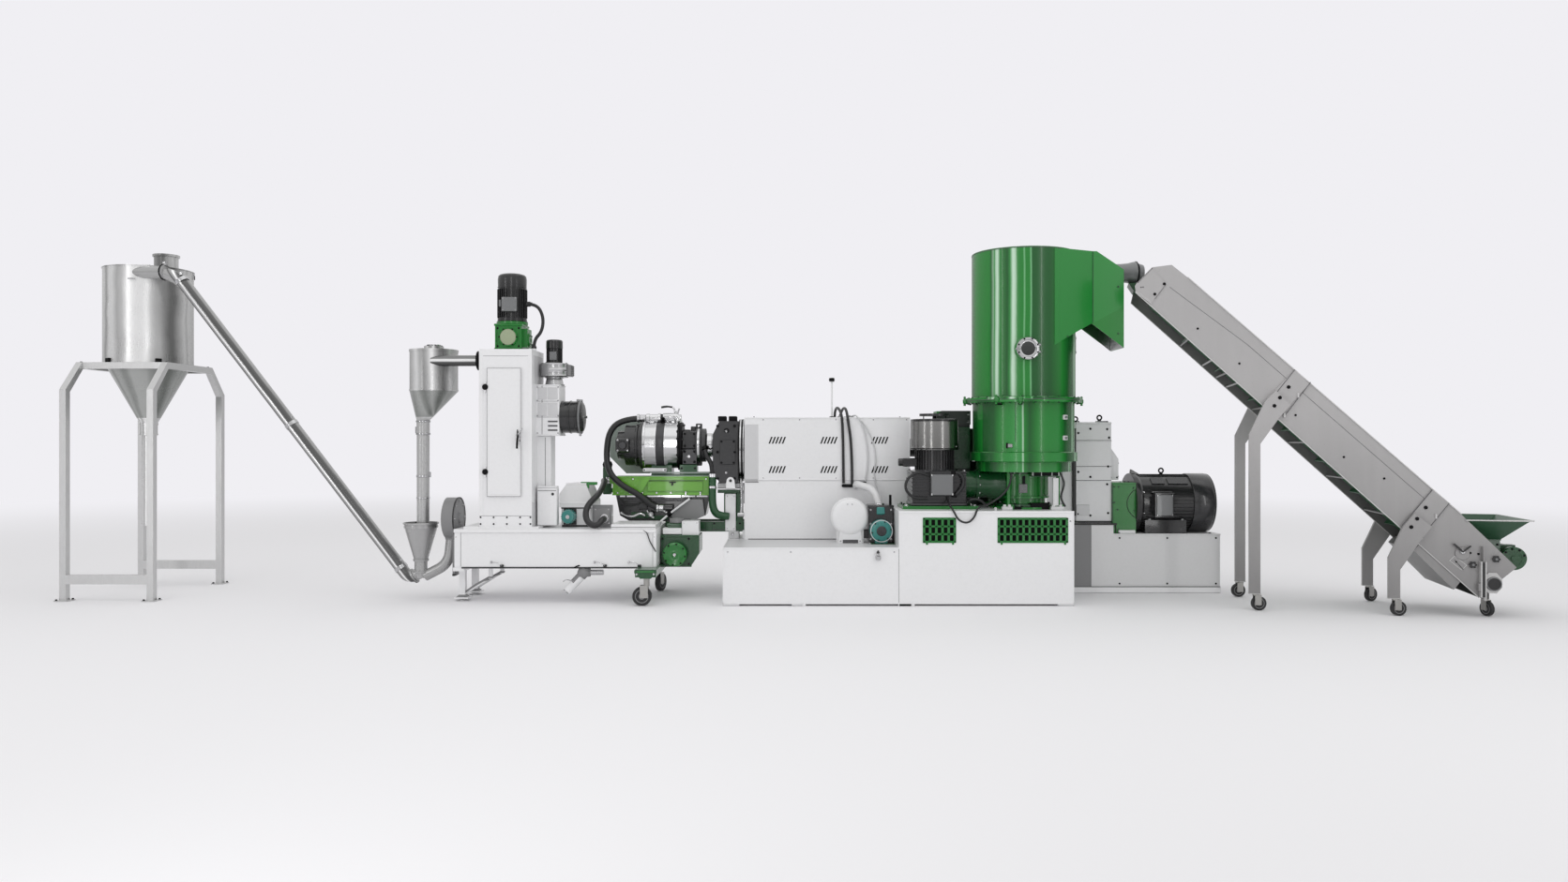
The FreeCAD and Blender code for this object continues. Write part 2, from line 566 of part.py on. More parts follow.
# Sieve and pump on the tank
sieve = fuse(block(("-2060", "-1790"), ("400", "760"), ("deck_top", "854")),
             shaped(prism([(-2075, 854), (-1762, 854), (-1762, 900), (-1830, 1070),
                           (-2010, 1070), (-2075, 980)], "Y", 380, 780)),
             rod("Y", ("-1985", "770"), ("322", "400"), "62"))
grey = fuse(block(("-1755", "-1589"), ("330", "450"), ("deck_top", "874")),
            rod("Y", ("-1640", "760"), ("300", "330"), "36"))
finish(group(sieve, grey), "sieve_unit")

# Pelletizing head
AXIS = ("axis_deep", "head_high")
housing = fuse(rod("X", AXIS, ("housing_left", "die_flange_left - seat_gap"), "housing_r"),
               rod("X", ("axis_deep", "fitting_high"), ("-1368", "-1020"), "fitting_r"),
               block(("-1330", "-1286"), ("axis_deep - 25", "axis_deep + 25"),
                     ("1600", "fitting_high")),
               block(("-1110", "-1066"), ("axis_deep - 25", "axis_deep + 25"),
                     ("1600", "fitting_high")))
finish(housing, "cutter_housing")
finish(fuse(rod("X", AXIS, ("motor_ring_left", "housing_left - seat_gap"), "motor_ring_r"),
            rod("X", AXIS, ("cutter_left", "motor_ring_left"), "cutter_r"),
            rod("X", AXIS, ("cutter_end", "cutter_left"), "cutter_end_r"),
            cut(rod("Y", ("guard_x", "head_high"), ("guard_front", "guard_back"), "guard_r"),
                rod("X", AXIS, ("housing_left - seat_gap", "-1000"),
                    "housing_r + seat_gap"))),
       "cutter_motor")
finish(fuse(rod("X", AXIS, ("die_flange_left", "die_left"), "die_flange_r"),
            block(("die_left", "clamp_left"), ("die_front", "die_back"),
                  ("die_low", "die_high")),
            rod("X", AXIS, ("clamp_left", "neck_left"), "clamp_r"),
            rod("X", AXIS, ("neck_left", "changer_left"), "neck_r")), "die_block")

changer = sketch_body("changer",
                      [("65", "0"), ("changer_right - changer_left", "0"),
                       ("changer_right - changer_left", "changer_high - changer_low"),
                       ("65", "changer_high - changer_low"),
                       ("0", "changer_high - changer_low - 130"), ("0", "130")],
                      "changer_back - changer_front",
                      start=("changer_left", "changer_front", "changer_low"))
studs = [block((left_end, left_end + " + 80"), ("axis_deep - 75", "axis_deep + 75"),
               ("changer_high", "changer_high + 46"))
         for left_end in ("changer_left + 40", "changer_left + 145")]
finish(fuse(changer, rod("X", ("axis_deep", "changer_low + 315"),
                         ("changer_right", "cover_left"), "barrel_flange_r"), *studs),
       "screen_changer")

finish(cut(fuse(block(("carriage_left", "carriage_right"), ("carriage_front", "carriage_back"),
                      ("carriage_low", "carriage_high")),
                rod("X", ("1000", "1080"), ("carriage_left - 36", "carriage_left"), "34")),
           block(("carriage_left + 270", "carriage_right - 50"),
                 ("carriage_front - 5", "carriage_front + 20"),
                 ("carriage_low + 25", "carriage_high - 30"))), "head_carriage")
finish(cut(fuse(block(("-1020", "-709"), ("die_front - 30", "die_back + 30"),
                      ("carriage_high", "carriage_high + 40")),
                block(("die_left", "clamp_left"), ("die_front", "die_back"),
                      ("carriage_high + 40", "die_low")),
                block(("-1300", "-1020"), ("die_front - 30", "die_back + 30"),
                      ("carriage_high", "carriage_high + 20")),
                block(("-1300", "-1100"), ("die_front", "die_back"),
                      ("carriage_high + 20", "head_high - 180"))),
           rod("X", AXIS, ("-1400", "die_flange_left"), "housing_r + seat_gap"),
           rod("X", AXIS, ("die_flange_left - 10", "die_left + 0"), "die_flange_r + 2")),
       "head_saddle")

slide_top, slide_knee = size("carriage_low"), size("slide_low") + 59
slide = shaped(prism([(size("carriage_left") + 29, slide_top),
                      (size("carriage_right") + 10, slide_top),
                      (size("carriage_right") - 32, slide_knee),
                      (size("slide_foot_right"), size("slide_low")),
                      (size("slide_foot_left"), size("slide_low")),
                      (size("slide_foot_left") - 100, slide_knee)], "Y",
                     size("slide_front"), size("slide_back")))
finish(fuse(slide, block(("-1150", "-1080"), ("850", "slide_front"), ("785", "845")),
            rod("X", ("875", "815"), ("-1165", "-1080"), "36")), "slide_frame")

guide_parts = []
for near in ("beam_near", "beam_far"):
    depth = (near, near + " + beam_wide")
    guide_parts.append(block(("beam_left", "cover_left"), depth, ("beam_low", "slide_low")))
    guide_parts.append(block(("post_left", "post_left + post_wide"), depth,
                             ("slide_low", "stand_low")))
    guide_parts.append(block(("base_left", "base_left + 95"), depth, ("low_top", "beam_low")))
guide_parts.append(block(("stand_left", "stand_right"), ("beam_near", "beam_far + beam_wide"),
                         ("stand_low", "changer_low")))
guide_parts.append(block(("-760", "-700"), ("beam_near", "beam_far + beam_wide"),
                         ("beam_low", "beam_low + 60")))
finish(fuse(*guide_parts), "guide_frame")

# Machine base and cover
base = sketch_body("base",
                   [("0", "0"), ("base_right - base_left", "0"),
                    ("base_right - base_left", "high_top"),
                    ("base_step - base_left", "high_top"), ("base_step - base_left", "low_top"),
                    ("0", "low_top")],
                   "base_back - base_front", start=("base_left", "base_front", "0"))
vents = [block((a, b), ("base_front - 5", "vent_deep"), ("vent_low", "vent_high"))
         for a, b in (("small_vent_left + 12", "small_vent_right - 12"),
                      ("large_vent_left + 12", "large_vent_right - 12"))]
slots = [block(("base_left + 117", "base_left + 620"), ("base_front - 5", "base_back + 5"),
               ("-5", "16")),
         block(("base_left + 735", "base_step - 5"), ("base_front - 5", "base_back + 5"),
               ("-5", "16")),
         block(("base_step + 140", "base_right - 140"), ("base_front - 5", "base_back + 5"),
               ("-5", "16"))]
finish(cut(base, *vents, *slots), "machine_base")

cover = cut(block(("cover_left", "cover_right"), ("cover_front", "cover_back"),
                  ("low_top", "cover_top")),
            block(("cover_left - 5", "cover_right + 5"),
                  ("cover_front - 5", "cover_front + seam_deep"),
                  ("cover_seam", "cover_seam + seam_wide")),
            block(("base_step", "cover_right + 5"), ("cover_front - 5", "cover_back + 5"),
                  ("low_top - 5", "high_top")))
finish(fuse(cover, rod("Z", ("vent_rod_x", "axis_deep"), ("cover_top", "vent_rod_top"),
                       "vent_rod_r"),
            rod("Z", ("vent_rod_x", "axis_deep"), ("vent_rod_top - 6", "vent_rod_top + 36"),
                "bulb_r")), "machine_cover")

throat = block(("drum_x - 180", "drum_x + 180"), ("drum_y + 400", "axis_deep"),
               ("pot_ring_high + 8", "screw_high + 85"))
throat_cut = cut(throat, rod("Z", ("drum_x", "drum_y"), ("pot_low", "drum_split"),
                             "pot_r + seat_gap"))
finish(fuse(rod("X", ("axis_deep", "screw_high"), ("cover_right", "thrust_left"), "barrel_r"),
            throat_cut), "barrel")

duct = tube([(690, 795, 1035), (690, 660, 1060), (850, 560, 1010), (895, 520, 850)], 32)
duct = duct.cut(Part.makeBox(400, 100, 400, V(500, size("cover_front"), 850)))
finish(group(fuse(rod("Y", ("613", "760"), ("430", "560"), "170"),
                  rod("Y", ("613", "760"), ("420", "430"), "60"),
                  block(("490", "740"), ("440", "550"), ("low_top", "650"))),
             fuse(block(("790", "1004"), ("400", "640"), ("low_top", "860")),
                  rod("Y", ("895", "640"), ("310", "400"), "102"), shaped(duct))),
       "cooling_unit")

# Compactor
DRUM = ("drum_x", "drum_y")
finish(cut(fuse(rod("Z", DRUM, ("pot_low", "pot_ring_low"), "pot_base_r"),
                rod("Z", DRUM, ("pot_ring_low", "pot_ring_high"), "pot_ring_r"),
                rod("Z", DRUM, ("pot_ring_high", "drum_split"), "pot_r"),
                rod("Z", DRUM, ("drum_split - 22", "drum_split"), "drum_flange")),
           rod("Z", DRUM, ("pot_ring_high - 20", "drum_split + 1"), "pot_r - pot_wall")),
       "drum_lower")

shell = cut(fuse(rod("Z", DRUM, ("drum_split", "drum_rim"), "drum_r"),
                 rod("Z", DRUM, ("drum_split", "drum_split + 22"), "drum_flange"),
                 rod("Y", ("sight_x", "sight_high"), ("sight_front", "drum_y - 400"),
                     "sight_r")),
            rod("Z", DRUM, ("drum_split - 1", "drum_rim + 1"), "drum_r - drum_wall"),
            rod("Y", ("sight_x", "sight_high"), ("sight_front - 1", "sight_front + 26"),
                "sight_bore"),
            block(("drum_x + 230", "drum_x + 600"), ("drum_y - 320", "drum_y + 320"),
                  ("drum_rim - 606", "drum_rim - 56")))
finish(shell, "drum_upper")
finish(rod("Z", DRUM, ("drum_rim", "drum_rim + drum_lid"), "drum_r"), "drum_lid")


def hood_shape():
    """The feed hood: a sheet box whose plan narrows and whose lower end is open."""
    thick = size("hood_wall")
    rim, y = size("drum_rim"), size("drum_y")
    fold, bend, right = size("hood_fold_x"), size("hood_bend_x"), size("hood_right")
    near, mouth, far = size("hood_near"), size("hood_mouth_near"), size("hood_mouth_far")

    def hull(inset, outline):
        plan = [(fold, near + inset), (bend, mouth + inset), (right - inset, mouth + inset),
                (right - inset, far - inset), (bend, far - inset),
                (fold, 2 * y - near - inset)]
        low, high = rim - size("hood_tall") - 200, rim + 100
        return prism(plan, "Z", low, high).common(prism(outline, "Y", near - 50, 1100))

    lip, left = rim - size("hood_tall"), size("drum_x") + 58
    outer = hull(0, [(left, rim), (2864, rim), (right, rim - 168), (right, lip),
                     (bend - 12, lip + 224), (fold, lip + 14), (left, lip - 55)])
    inner = hull(thick, [(left, rim - thick), (2862, rim - thick), (right - thick, rim - 171),
                         (right - thick, lip - 70), (bend - 6, lip + 160),
                         (bend - 12, lip + 230), (fold, lip + 20), (left, lip - 49)])
    drum = Part.makeCylinder(size("drum_r") + size("seat_gap"), 2000,
                             V(size("drum_x"), y, lip - 420))
    return outer.cut(inner).cut(drum)


finish(shaped(hood_shape()), "feed_hood")

drive_parts = [rod("Z", DRUM, ("high_top", "high_top + 20"), "bearing_plate_r"),
               rod("Z", DRUM, ("high_top + 20", "pot_low"), "bearing_r"),
               rod("X", ("drum_y", "1061"), ("bell_right", "drum_x"), "118")]
solids = [fuse(*drive_parts),
          block(("guard_left", "guard_right"), ("belt_guard_front", "belt_guard_back"),
                ("high_top", "belt_guard_top")),
          block(("plate_left", "plate_right"), ("plate_front", "plate_back"),
                ("high_top", "plate_top"))]
for quarter in range(4):
    turn = math.radians(size("pillar_turn") + 90 * quarter)
    x = "drum_x + %.3f" % (size("pillar_ring") * math.cos(turn))
    y = "drum_y + %.3f" % (size("pillar_ring") * math.sin(turn))
    solids.append(fuse(rod("Z", (x, y), ("high_top", "pot_low"), "pillar_r"),
                       block((x + " - 44", x + " + 44"), (y + " - 30", y + " + 30"),
                             ("high_top", "high_top + 44"))))
finish(group(*solids), "drum_drive")

finish(fuse(block(("bell_left", "bell_right"), ("bell_front", "bell_back"),
                  ("plate_top", "bell_top")),
            rod("Z", ("mixer_x", "drum_y"), ("bell_top", "mixer_seam"), "mixer_r"),
            rod("Z", ("mixer_x", "drum_y"), ("mixer_seam", "mixer_top"), "mixer_fan_r"),
            rod("Z", ("mixer_x", "drum_y"), ("mixer_top", "cap_low"), "14"),
            rod("Z", ("mixer_x", "drum_y"), ("cap_low", "cap_top"), "cap_r"),
            block(("1339", "1555"), ("292", "bell_front"), ("968", "bell_top"))),
       "compactor_motor")

# Main drive
BOX_END = "box_left + box_wide"
GUARD_END = BOX_END + " + guard_long"
box_end = size("box_left") + size("box_wide")
wedge = prism([(box_end - 1, 1085), (box_end + 95, 1085), (box_end + 95, 1290),
               (box_end + 14, 1408), (box_end - 1, 1408)], "Y",
              size("box_front") + 80, size("box_back") - 80)
finish(fuse(block(("box_left", BOX_END), ("box_front", "box_back"), ("step_top", "box_top")),
            shaped(wedge),
            block(("thrust_left", "box_left"), ("box_front + 50", "box_back - 50"),
                  ("step_top", "screw_high + 160"))), "gearbox")
finish(block((BOX_END, GUARD_END), ("box_front - 20", "box_back + 20"),
             ("bed_top", "main_high + 202")), "coupling_guard")
MAIN = ("axis_deep", "main_high")
MAIN_FACE = GUARD_END + " + main_flange"
MAIN_SEAM = MAIN_FACE + " + main_long"
main_parts = [rod("X", MAIN, (GUARD_END, MAIN_FACE), "main_fan_r"),
              rod("X", MAIN, (MAIN_FACE, MAIN_SEAM), "main_r"),
              rod("X", MAIN, (MAIN_SEAM, MAIN_SEAM + " + cowl_long"), "main_fan_r"),
              block((MAIN_FACE + " + 98", MAIN_FACE + " + 270"),
                    ("axis_deep - main_r - 70", "axis_deep"),
                    ("main_high - 118", "main_high + 102"))]
for near in ("axis_deep - 245", "axis_deep + 135"):
    main_parts.append(block((MAIN_SEAM + " - 75 - foot_long", MAIN_SEAM + " - 75"),
                            (near, near + " + 110"), ("bed_top", "bed_top + 129")))
finish(fuse(*main_parts), "main_motor")
bed = sketch_body("bed",
                  [("0", "0"), ("bed_right - base_right", "0"),
                   ("bed_right - base_right", "bed_top"),
                   (BOX_END + " - base_right", "bed_top"),
                   (BOX_END + " - base_right", "step_top"), ("0", "step_top")],
                  "bed_back - bed_front", start=("base_right", "bed_front", "0"))
finish(bed, "motor_base")

# Conveyor
# Its local frame: u along the conveyor on the floor, v across it, z up. On the slope, t runs
# down from the head along the side plates' lower edge and n is square to it.
SLOPE = math.radians(size("slope"))


def slope_point(run, rise):
    """The (u, z) of a place on the slope."""
    return (size("head_u") + run * math.cos(SLOPE) + rise * math.sin(SLOPE),
            size("head_z") - run * math.sin(SLOPE) + rise * math.cos(SLOPE))


TURN = FreeCAD.Placement(V(size("belt_x"), size("belt_y"), 0),
                         FreeCAD.Rotation(V(0, 0, 1), -size("belt_turn")))


def turned(shape):
    """A conveyor shape carried from its local frame to the work frame."""
    made = shaped(shape)
    made.Placement = TURN
    return made


span = size("belt_wide")
thick = size("side_thick")
OUTLINE = [(-992, 2798), (-973, 2881), (-850, 3013), (-686, 3028), (-551, 2910), (1585, 859),
           (1991, 427), (1716, 171)]
plates = [prism(OUTLINE, "Y", 0, thick), prism(OUTLINE, "Y", span - thick, span)]
COLLARS = [[(315, 2081), (429, 1958), (192, 1678), (72, 1809)],
           [(1370, 1059), (1495, 951), (1279, 649), (1145, 757)]]
deep, pad = size("leg_deep"), size("collar_thick")
bottom = size("leg_bottom")
LEGS = [[(72, 1809), (157, 1904), (275, 1776), (192, 1678), (34, 1442), (34, bottom),
         (-56, bottom), (-56, 1520)],
        [(1145, 757), (1224, 863), (1355, 755), (1279, 649), (1118, 388), (1118, bottom),
         (1030, bottom), (1030, 486)]]
for quad in COLLARS:
    plates += [prism(quad, "Y", -pad, 0), prism(quad, "Y", span, span + pad)]
for shape in LEGS:
    plates += [prism(shape, "Y", -pad - deep, -pad), prism(shape, "Y", span + pad,
                                                           span + pad + deep)]


def slope_box(run, rise, low, high):
    """A block on the slope, between two runs and two rises."""
    corners = [slope_point(a, b) for a, b in ((run[0], rise[0]), (run[1], rise[0]),
                                              (run[1], rise[1]), (run[0], rise[1]))]
    return prism(corners, "Y", low, high)


middle_n = size("belt_n")
bed_plate = slope_box((330, 3380), (middle_n - 6, middle_n + 6), thick - 1, span - thick + 1)
plates.append(bed_plate)
for run in (620, 1060, 1500, 1940, 2380, 2820):
    u, z = slope_point(run, 12)
    plates.append(Part.makeCylinder(9, span - 2, V(u, 1, z), V(0, 1, 0)))
HEAD = [(-850, 3013), (-686, 3028), (-551, 2910), (-555, 2904), (-688, 3022), (-848, 3007)]
plates.append(prism(HEAD, "Y", 1, span - 1))
TAIL = [(1991, 427), (1716, 171), (1711, 176), (1986, 432)]
plates.append(prism(TAIL, "Y", 1, span - 1))
TRAY = [(1287, 611), (1583, 298), (1535, 228), (1237, 549)]
plates.append(prism(TRAY, "Y", thick - 1, span - thick + 1))
deck = [(1585, 859), (1991, 427), (1987, 423), (1581, 855)]
neck_hole = Part.makeBox(109 - 8, 472, 600, V(1816, 154, 300))
plates.append(prism(deck, "Y", 1, span - 1).cut(neck_hole))
for run in (size("belt_start"), size("belt_end")):
    u, z = slope_point(run, middle_n)
    plates.append(Part.makeCylinder(size("roller_r"), span - 40, V(u, 20, z), V(0, 1, 0)))
    plates.append(Part.makeCylinder(18, span - 2, V(u, 1, z), V(0, 1, 0)))
tail_x, tail_v = 1814, 174
plates.append(Part.makeBox(50, span - 2, 26, V(tail_x - 25, 1, 302)))
plates.append(Part.makeBox(50, 60, 170, V(tail_x - 25, tail_v - 30, bottom)))
plates.append(Part.makeBox(6, 46, 420, V(1734, -46, 175)))
plates.append(Part.makeBox(46, 46, 60, V(1700, -46, 230)))
frame_shape = plates[0].fuse(plates[1:])
finish(turned(frame_shape), "conveyor_frame")


def belt_shape():
    """The belt: one closed loop round both rollers, with its cleats."""
    edge = size("belt_edge")
    start, end = size("belt_start"), size("belt_end")

    def oval(radius):
        a, b = slope_point(start, middle_n + radius), slope_point(end, middle_n + radius)
        c, d = slope_point(end, middle_n - radius), slope_point(start, middle_n - radius)
        far, near = slope_point(end + radius, middle_n), slope_point(start - radius, middle_n)
        dots = [V(p[0], edge, p[1]) for p in (a, b, far, c, d, near)]
        wire = Part.Wire([Part.LineSegment(dots[0], dots[1]).toShape(),
                          Part.Arc(dots[1], dots[2], dots[3]).toShape(),
                          Part.LineSegment(dots[3], dots[4]).toShape(),
                          Part.Arc(dots[4], dots[5], dots[0]).toShape()])
        return Part.Face(wire).extrude(V(0, span - 2 * edge, 0))

    loop = oval(size("belt_out")).cut(oval(size("belt_in")))
    cleats = []
    for i in range(8):
        run = 420 + 400 * i
        rise = middle_n + size("belt_out")
        cleats.append(slope_box((run, run + 10), (rise - 2, rise + 45), edge + 20,
                                span - edge - 20))
        rise = middle_n - size("belt_out")
        cleats.append(slope_box((run + 180, run + 190), (rise - 40, rise + 2), edge + 20,
                                span - edge - 20))
    return loop.fuse(cleats)


finish(turned(belt_shape()), "conveyor_belt")


DECK_UNDER = prism([(1400, 1055.95), (2200, 204.72), (2200, -200), (1400, -200)], "Y", -50, 900)


def hopper_shape():
    """The open feed hopper and its neck down to the sloping deck."""
    wall = 4

    def loft(inset, over):
        top = [(1630 + inset, inset), (2099 - inset, inset), (2099 - inset, span - inset),
               (1630 + inset, span - inset)]
        low = [(1812 + inset, 150 + inset), (1921 - inset, 150 + inset),
               (1921 - inset, 630 - inset), (1812 + inset, 630 - inset)]
        wires = [Part.makePolygon([V(u, v, z) for u, v in ring + ring[:1]])
                 for ring, z in ((top, 815 + over), (low, 640 - over))]
        neck = Part.makeBox(109 - 2 * inset, 480 - 2 * inset, 260 + 2 * over,
                            V(1812 + inset, 150 + inset, 381 - over))
        return Part.makeLoft(wires, True).fuse(neck)

    rim = Part.makeBox(469 + 24, span + 24, 8, V(1618, -12, 807))
    rim = rim.cut(Part.makeBox(469 - 8, span - 8, 30, V(1634, 4, 800)))
    return loft(0, 0).fuse(rim).cut(loft(wall, 0.5)).cut(DECK_UNDER)


finish(turned(hopper_shape()), "feed_hopper")

# The hopper's drive motor lies on an arm that is bolted to the neck's right side.
hopper_motor = Part.makeCylinder(95, 300, V(2022, 150, 486), V(0, 1, 0))
hopper_motor = hopper_motor.fuse(Part.makeBox(148, 90, 70, V(1921, 255, 520)))
finish(turned(hopper_motor.cut(DECK_UNDER)), "hopper_motor")


# Casters
def caster(name, x, y, top, radius, wide, trail, heading):
    """A swivel fork and its wheel; the heading is the way the wheel trails."""
    gap, half = 5, wide / 2
    crown = 2 * radius + 6
    axle = size("axle_r")
    fork = Part.makeCylinder(26, top - crown - 0.3, V(0, 0, crown))
    cheeks = [Part.makeBox(trail + 30, 4, crown + 4 - radius + 14,
                           V(-14, side, radius - 14)) for side in (half + gap, -half - gap - 4)]
    bridge = Part.makeBox(trail + 30, wide + 2 * gap + 8, 6, V(-14, -half - gap - 4, crown))
    pin = Part.makeCylinder(axle, wide + 2 * gap + 6, V(trail, -half - gap - 3, radius),
                            V(0, 1, 0))
    fork = fork.fuse(cheeks + [bridge, pin])
    wheel = Part.makeCylinder(radius, wide, V(trail, -half, radius), V(0, 1, 0))
    hub = Part.makeCylinder(axle * 2.4, wide + 6, V(trail, -half - 3, radius), V(0, 1, 0))
    bore = Part.makeCylinder(axle + size("axle_fit"), wide + 20, V(trail, -half - 10, radius),
                             V(0, 1, 0))
    wheel = wheel.fuse(hub).cut(bore)
    for shape, label in ((fork, "_fork"), (wheel, "_wheel")):
        made = shaped(shape)
        made.Placement = FreeCAD.Placement(V(x, y, 0), FreeCAD.Rotation(V(0, 0, 1), heading))
        finish(made, name + label)


def conveyor_spot(u, v):
    spot = TURN.multVec(V(u, v, 0))
    return spot.x, spot.y


outside = pad + deep / 2
small = (size("wheel_r"), size("wheel_wide"), size("trail"))
CASTERS = [("upper_near", -2, -outside, 0), ("upper_far", -2, span + outside, 180),
           ("lower_near", 1084, -outside, 0), ("lower_far", 1084, span + outside, 20),
           ("tail", tail_x, tail_v, -80)]
for name, u, v, heading in CASTERS:
    x, y = conveyor_spot(u, v)
    caster(name, x, y, bottom, *small, heading)
big = (size("big_wheel_r"), size("big_wheel_wide"), size("big_trail"))
trolley_mid = size("trolley_left") + 93
for name, y, heading in (("trolley_near", size("trolley_front") + 80, 180),
                         ("trolley_far", size("trolley_back") - 60, 70)):
    caster(name, trolley_mid, y, size("trolley_low"), *big, heading)

# Hoses and cables
HEAD_HOSE = [(-1368, 1115, 1692), (-1560, 1115, 1692), (-1725, 1085, 1590),
             (-1745, 980, 1330), (-1690, 850, 1150), (-1560, 850, 1030), (-1400, 865, 945),
             (-1260, 875, 815), (-1165, 875, 815)]
finish(shaped(tube(HEAD_HOSE, 30)), "head_hose")
LOOP_HOSE = [(-1705, 1000, 1080), (-1775, 1000, 1080), (-1735, 850, 1075), (-1715, 560, 1010),
             (-1720, 330, 960), (-1790, 215, 880), (-1795, 150, 780), (-1740, 95, 712),
             (-1670, 95, 705), (-1640, 180, 760), (-1640, 300, 760)]
finish(shaped(tube(LOOP_HOSE, 28)), "loop_hose")
MOTOR_CABLE = [(-2373, 410, 2735), (-2290, 410, 2735), (-2225, 395, 2620), (-2235, 385, 2480),
               (-2310, 380, 2400), (-2310, 380, 2320)]
finish(shaped(tube(MOTOR_CABLE, 15)), "motor_cable")
MIXER_CABLE = [(1500, 310, 968), (1500, 310, 920), (1490, 150, 890), (1495, -30, 860),
               (1545, -32, 762), (1625, -32, 735), (1690, -30, 790), (1720, 0, 880),
               (1850, 110, 900), (2010, 180, 1000), (2060, 190, 1110), (2060, 190, 1186)]
finish(shaped(tube(MIXER_CABLE, 9)), "mixer_cable")

# Check and write
doc.recompute()
for item in doc.Objects:
    if any(word in item.State for word in ("Invalid", "Error")):
        raise RuntimeError("%s: %s" % (item.Label, item.State))
os.makedirs("parts", exist_ok=True)
for node in nodes:
    shape = node.Shape
    if shape.isNull() or not shape.isValid() or not shape.Solids:
        raise RuntimeError("%s is not a valid solid" % node.Label)
    shape.exportStep("parts/%s.step" % node.Label)
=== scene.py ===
import math

import bmesh
import bpy
import numpy as np
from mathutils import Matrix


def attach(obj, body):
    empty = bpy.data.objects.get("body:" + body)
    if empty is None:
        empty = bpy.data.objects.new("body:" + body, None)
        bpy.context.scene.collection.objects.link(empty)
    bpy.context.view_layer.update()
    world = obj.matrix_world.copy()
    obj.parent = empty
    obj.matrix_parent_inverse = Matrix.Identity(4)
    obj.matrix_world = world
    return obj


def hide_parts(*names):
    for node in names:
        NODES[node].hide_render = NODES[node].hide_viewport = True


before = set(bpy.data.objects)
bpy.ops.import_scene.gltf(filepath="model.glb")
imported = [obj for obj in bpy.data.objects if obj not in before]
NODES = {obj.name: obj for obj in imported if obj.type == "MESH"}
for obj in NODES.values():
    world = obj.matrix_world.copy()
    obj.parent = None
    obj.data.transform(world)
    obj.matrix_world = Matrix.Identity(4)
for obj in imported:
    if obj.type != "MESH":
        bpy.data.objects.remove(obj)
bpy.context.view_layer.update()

# Camera
# A level camera at a standing person's height, square to the line. Places in this file are
# millimetres from the floor under the machine base's front face, and MIDDLE is where the
# middle of the whole line lies among them.
MIDDLE = np.array([-154.47, 385.52, 0.0])
EYE = (0, -9583, 1467)
LENS, SENSOR = 24.76, 36.0


def mm(points):
    """Millimetre places as metres in the part's own frame: less the middle, over 1000."""
    return (np.asarray(points, float) - MIDDLE) / 1000


eye = bpy.data.cameras.new("camera")
eye.lens, eye.sensor_width = LENS, SENSOR
eye.clip_end = 200
camera = bpy.data.objects.new("camera", eye)
camera.location = mm(EYE)
camera.rotation_euler = (math.radians(90), 0, 0)
bpy.context.scene.collection.objects.link(camera)
bpy.context.scene.camera = camera


# Hoses and cables
# Black rubber hoses and plastic conduits, held by a ferrule at each end. Each is a round
# section swept along one smooth line through the route's points.
class Wire:
    """A socket of a node tree; the operators on it add Math nodes."""

    def __init__(self, finish, socket):
        self.finish, self.socket = finish, socket

    def __add__(self, other):
        return self.finish.math("ADD", self, other)

    __radd__ = __add__

    def __mul__(self, other):
        return self.finish.math("MULTIPLY", self, other)

    __rmul__ = __mul__

    def __sub__(self, other):
        return self.finish.math("SUBTRACT", self, other)

    def __rsub__(self, other):
        return self.finish.math("SUBTRACT", other, self)

    def __lt__(self, other):
        return self.finish.math("LESS_THAN", self, other)

    def __gt__(self, other):
        return self.finish.math("GREATER_THAN", self, other)


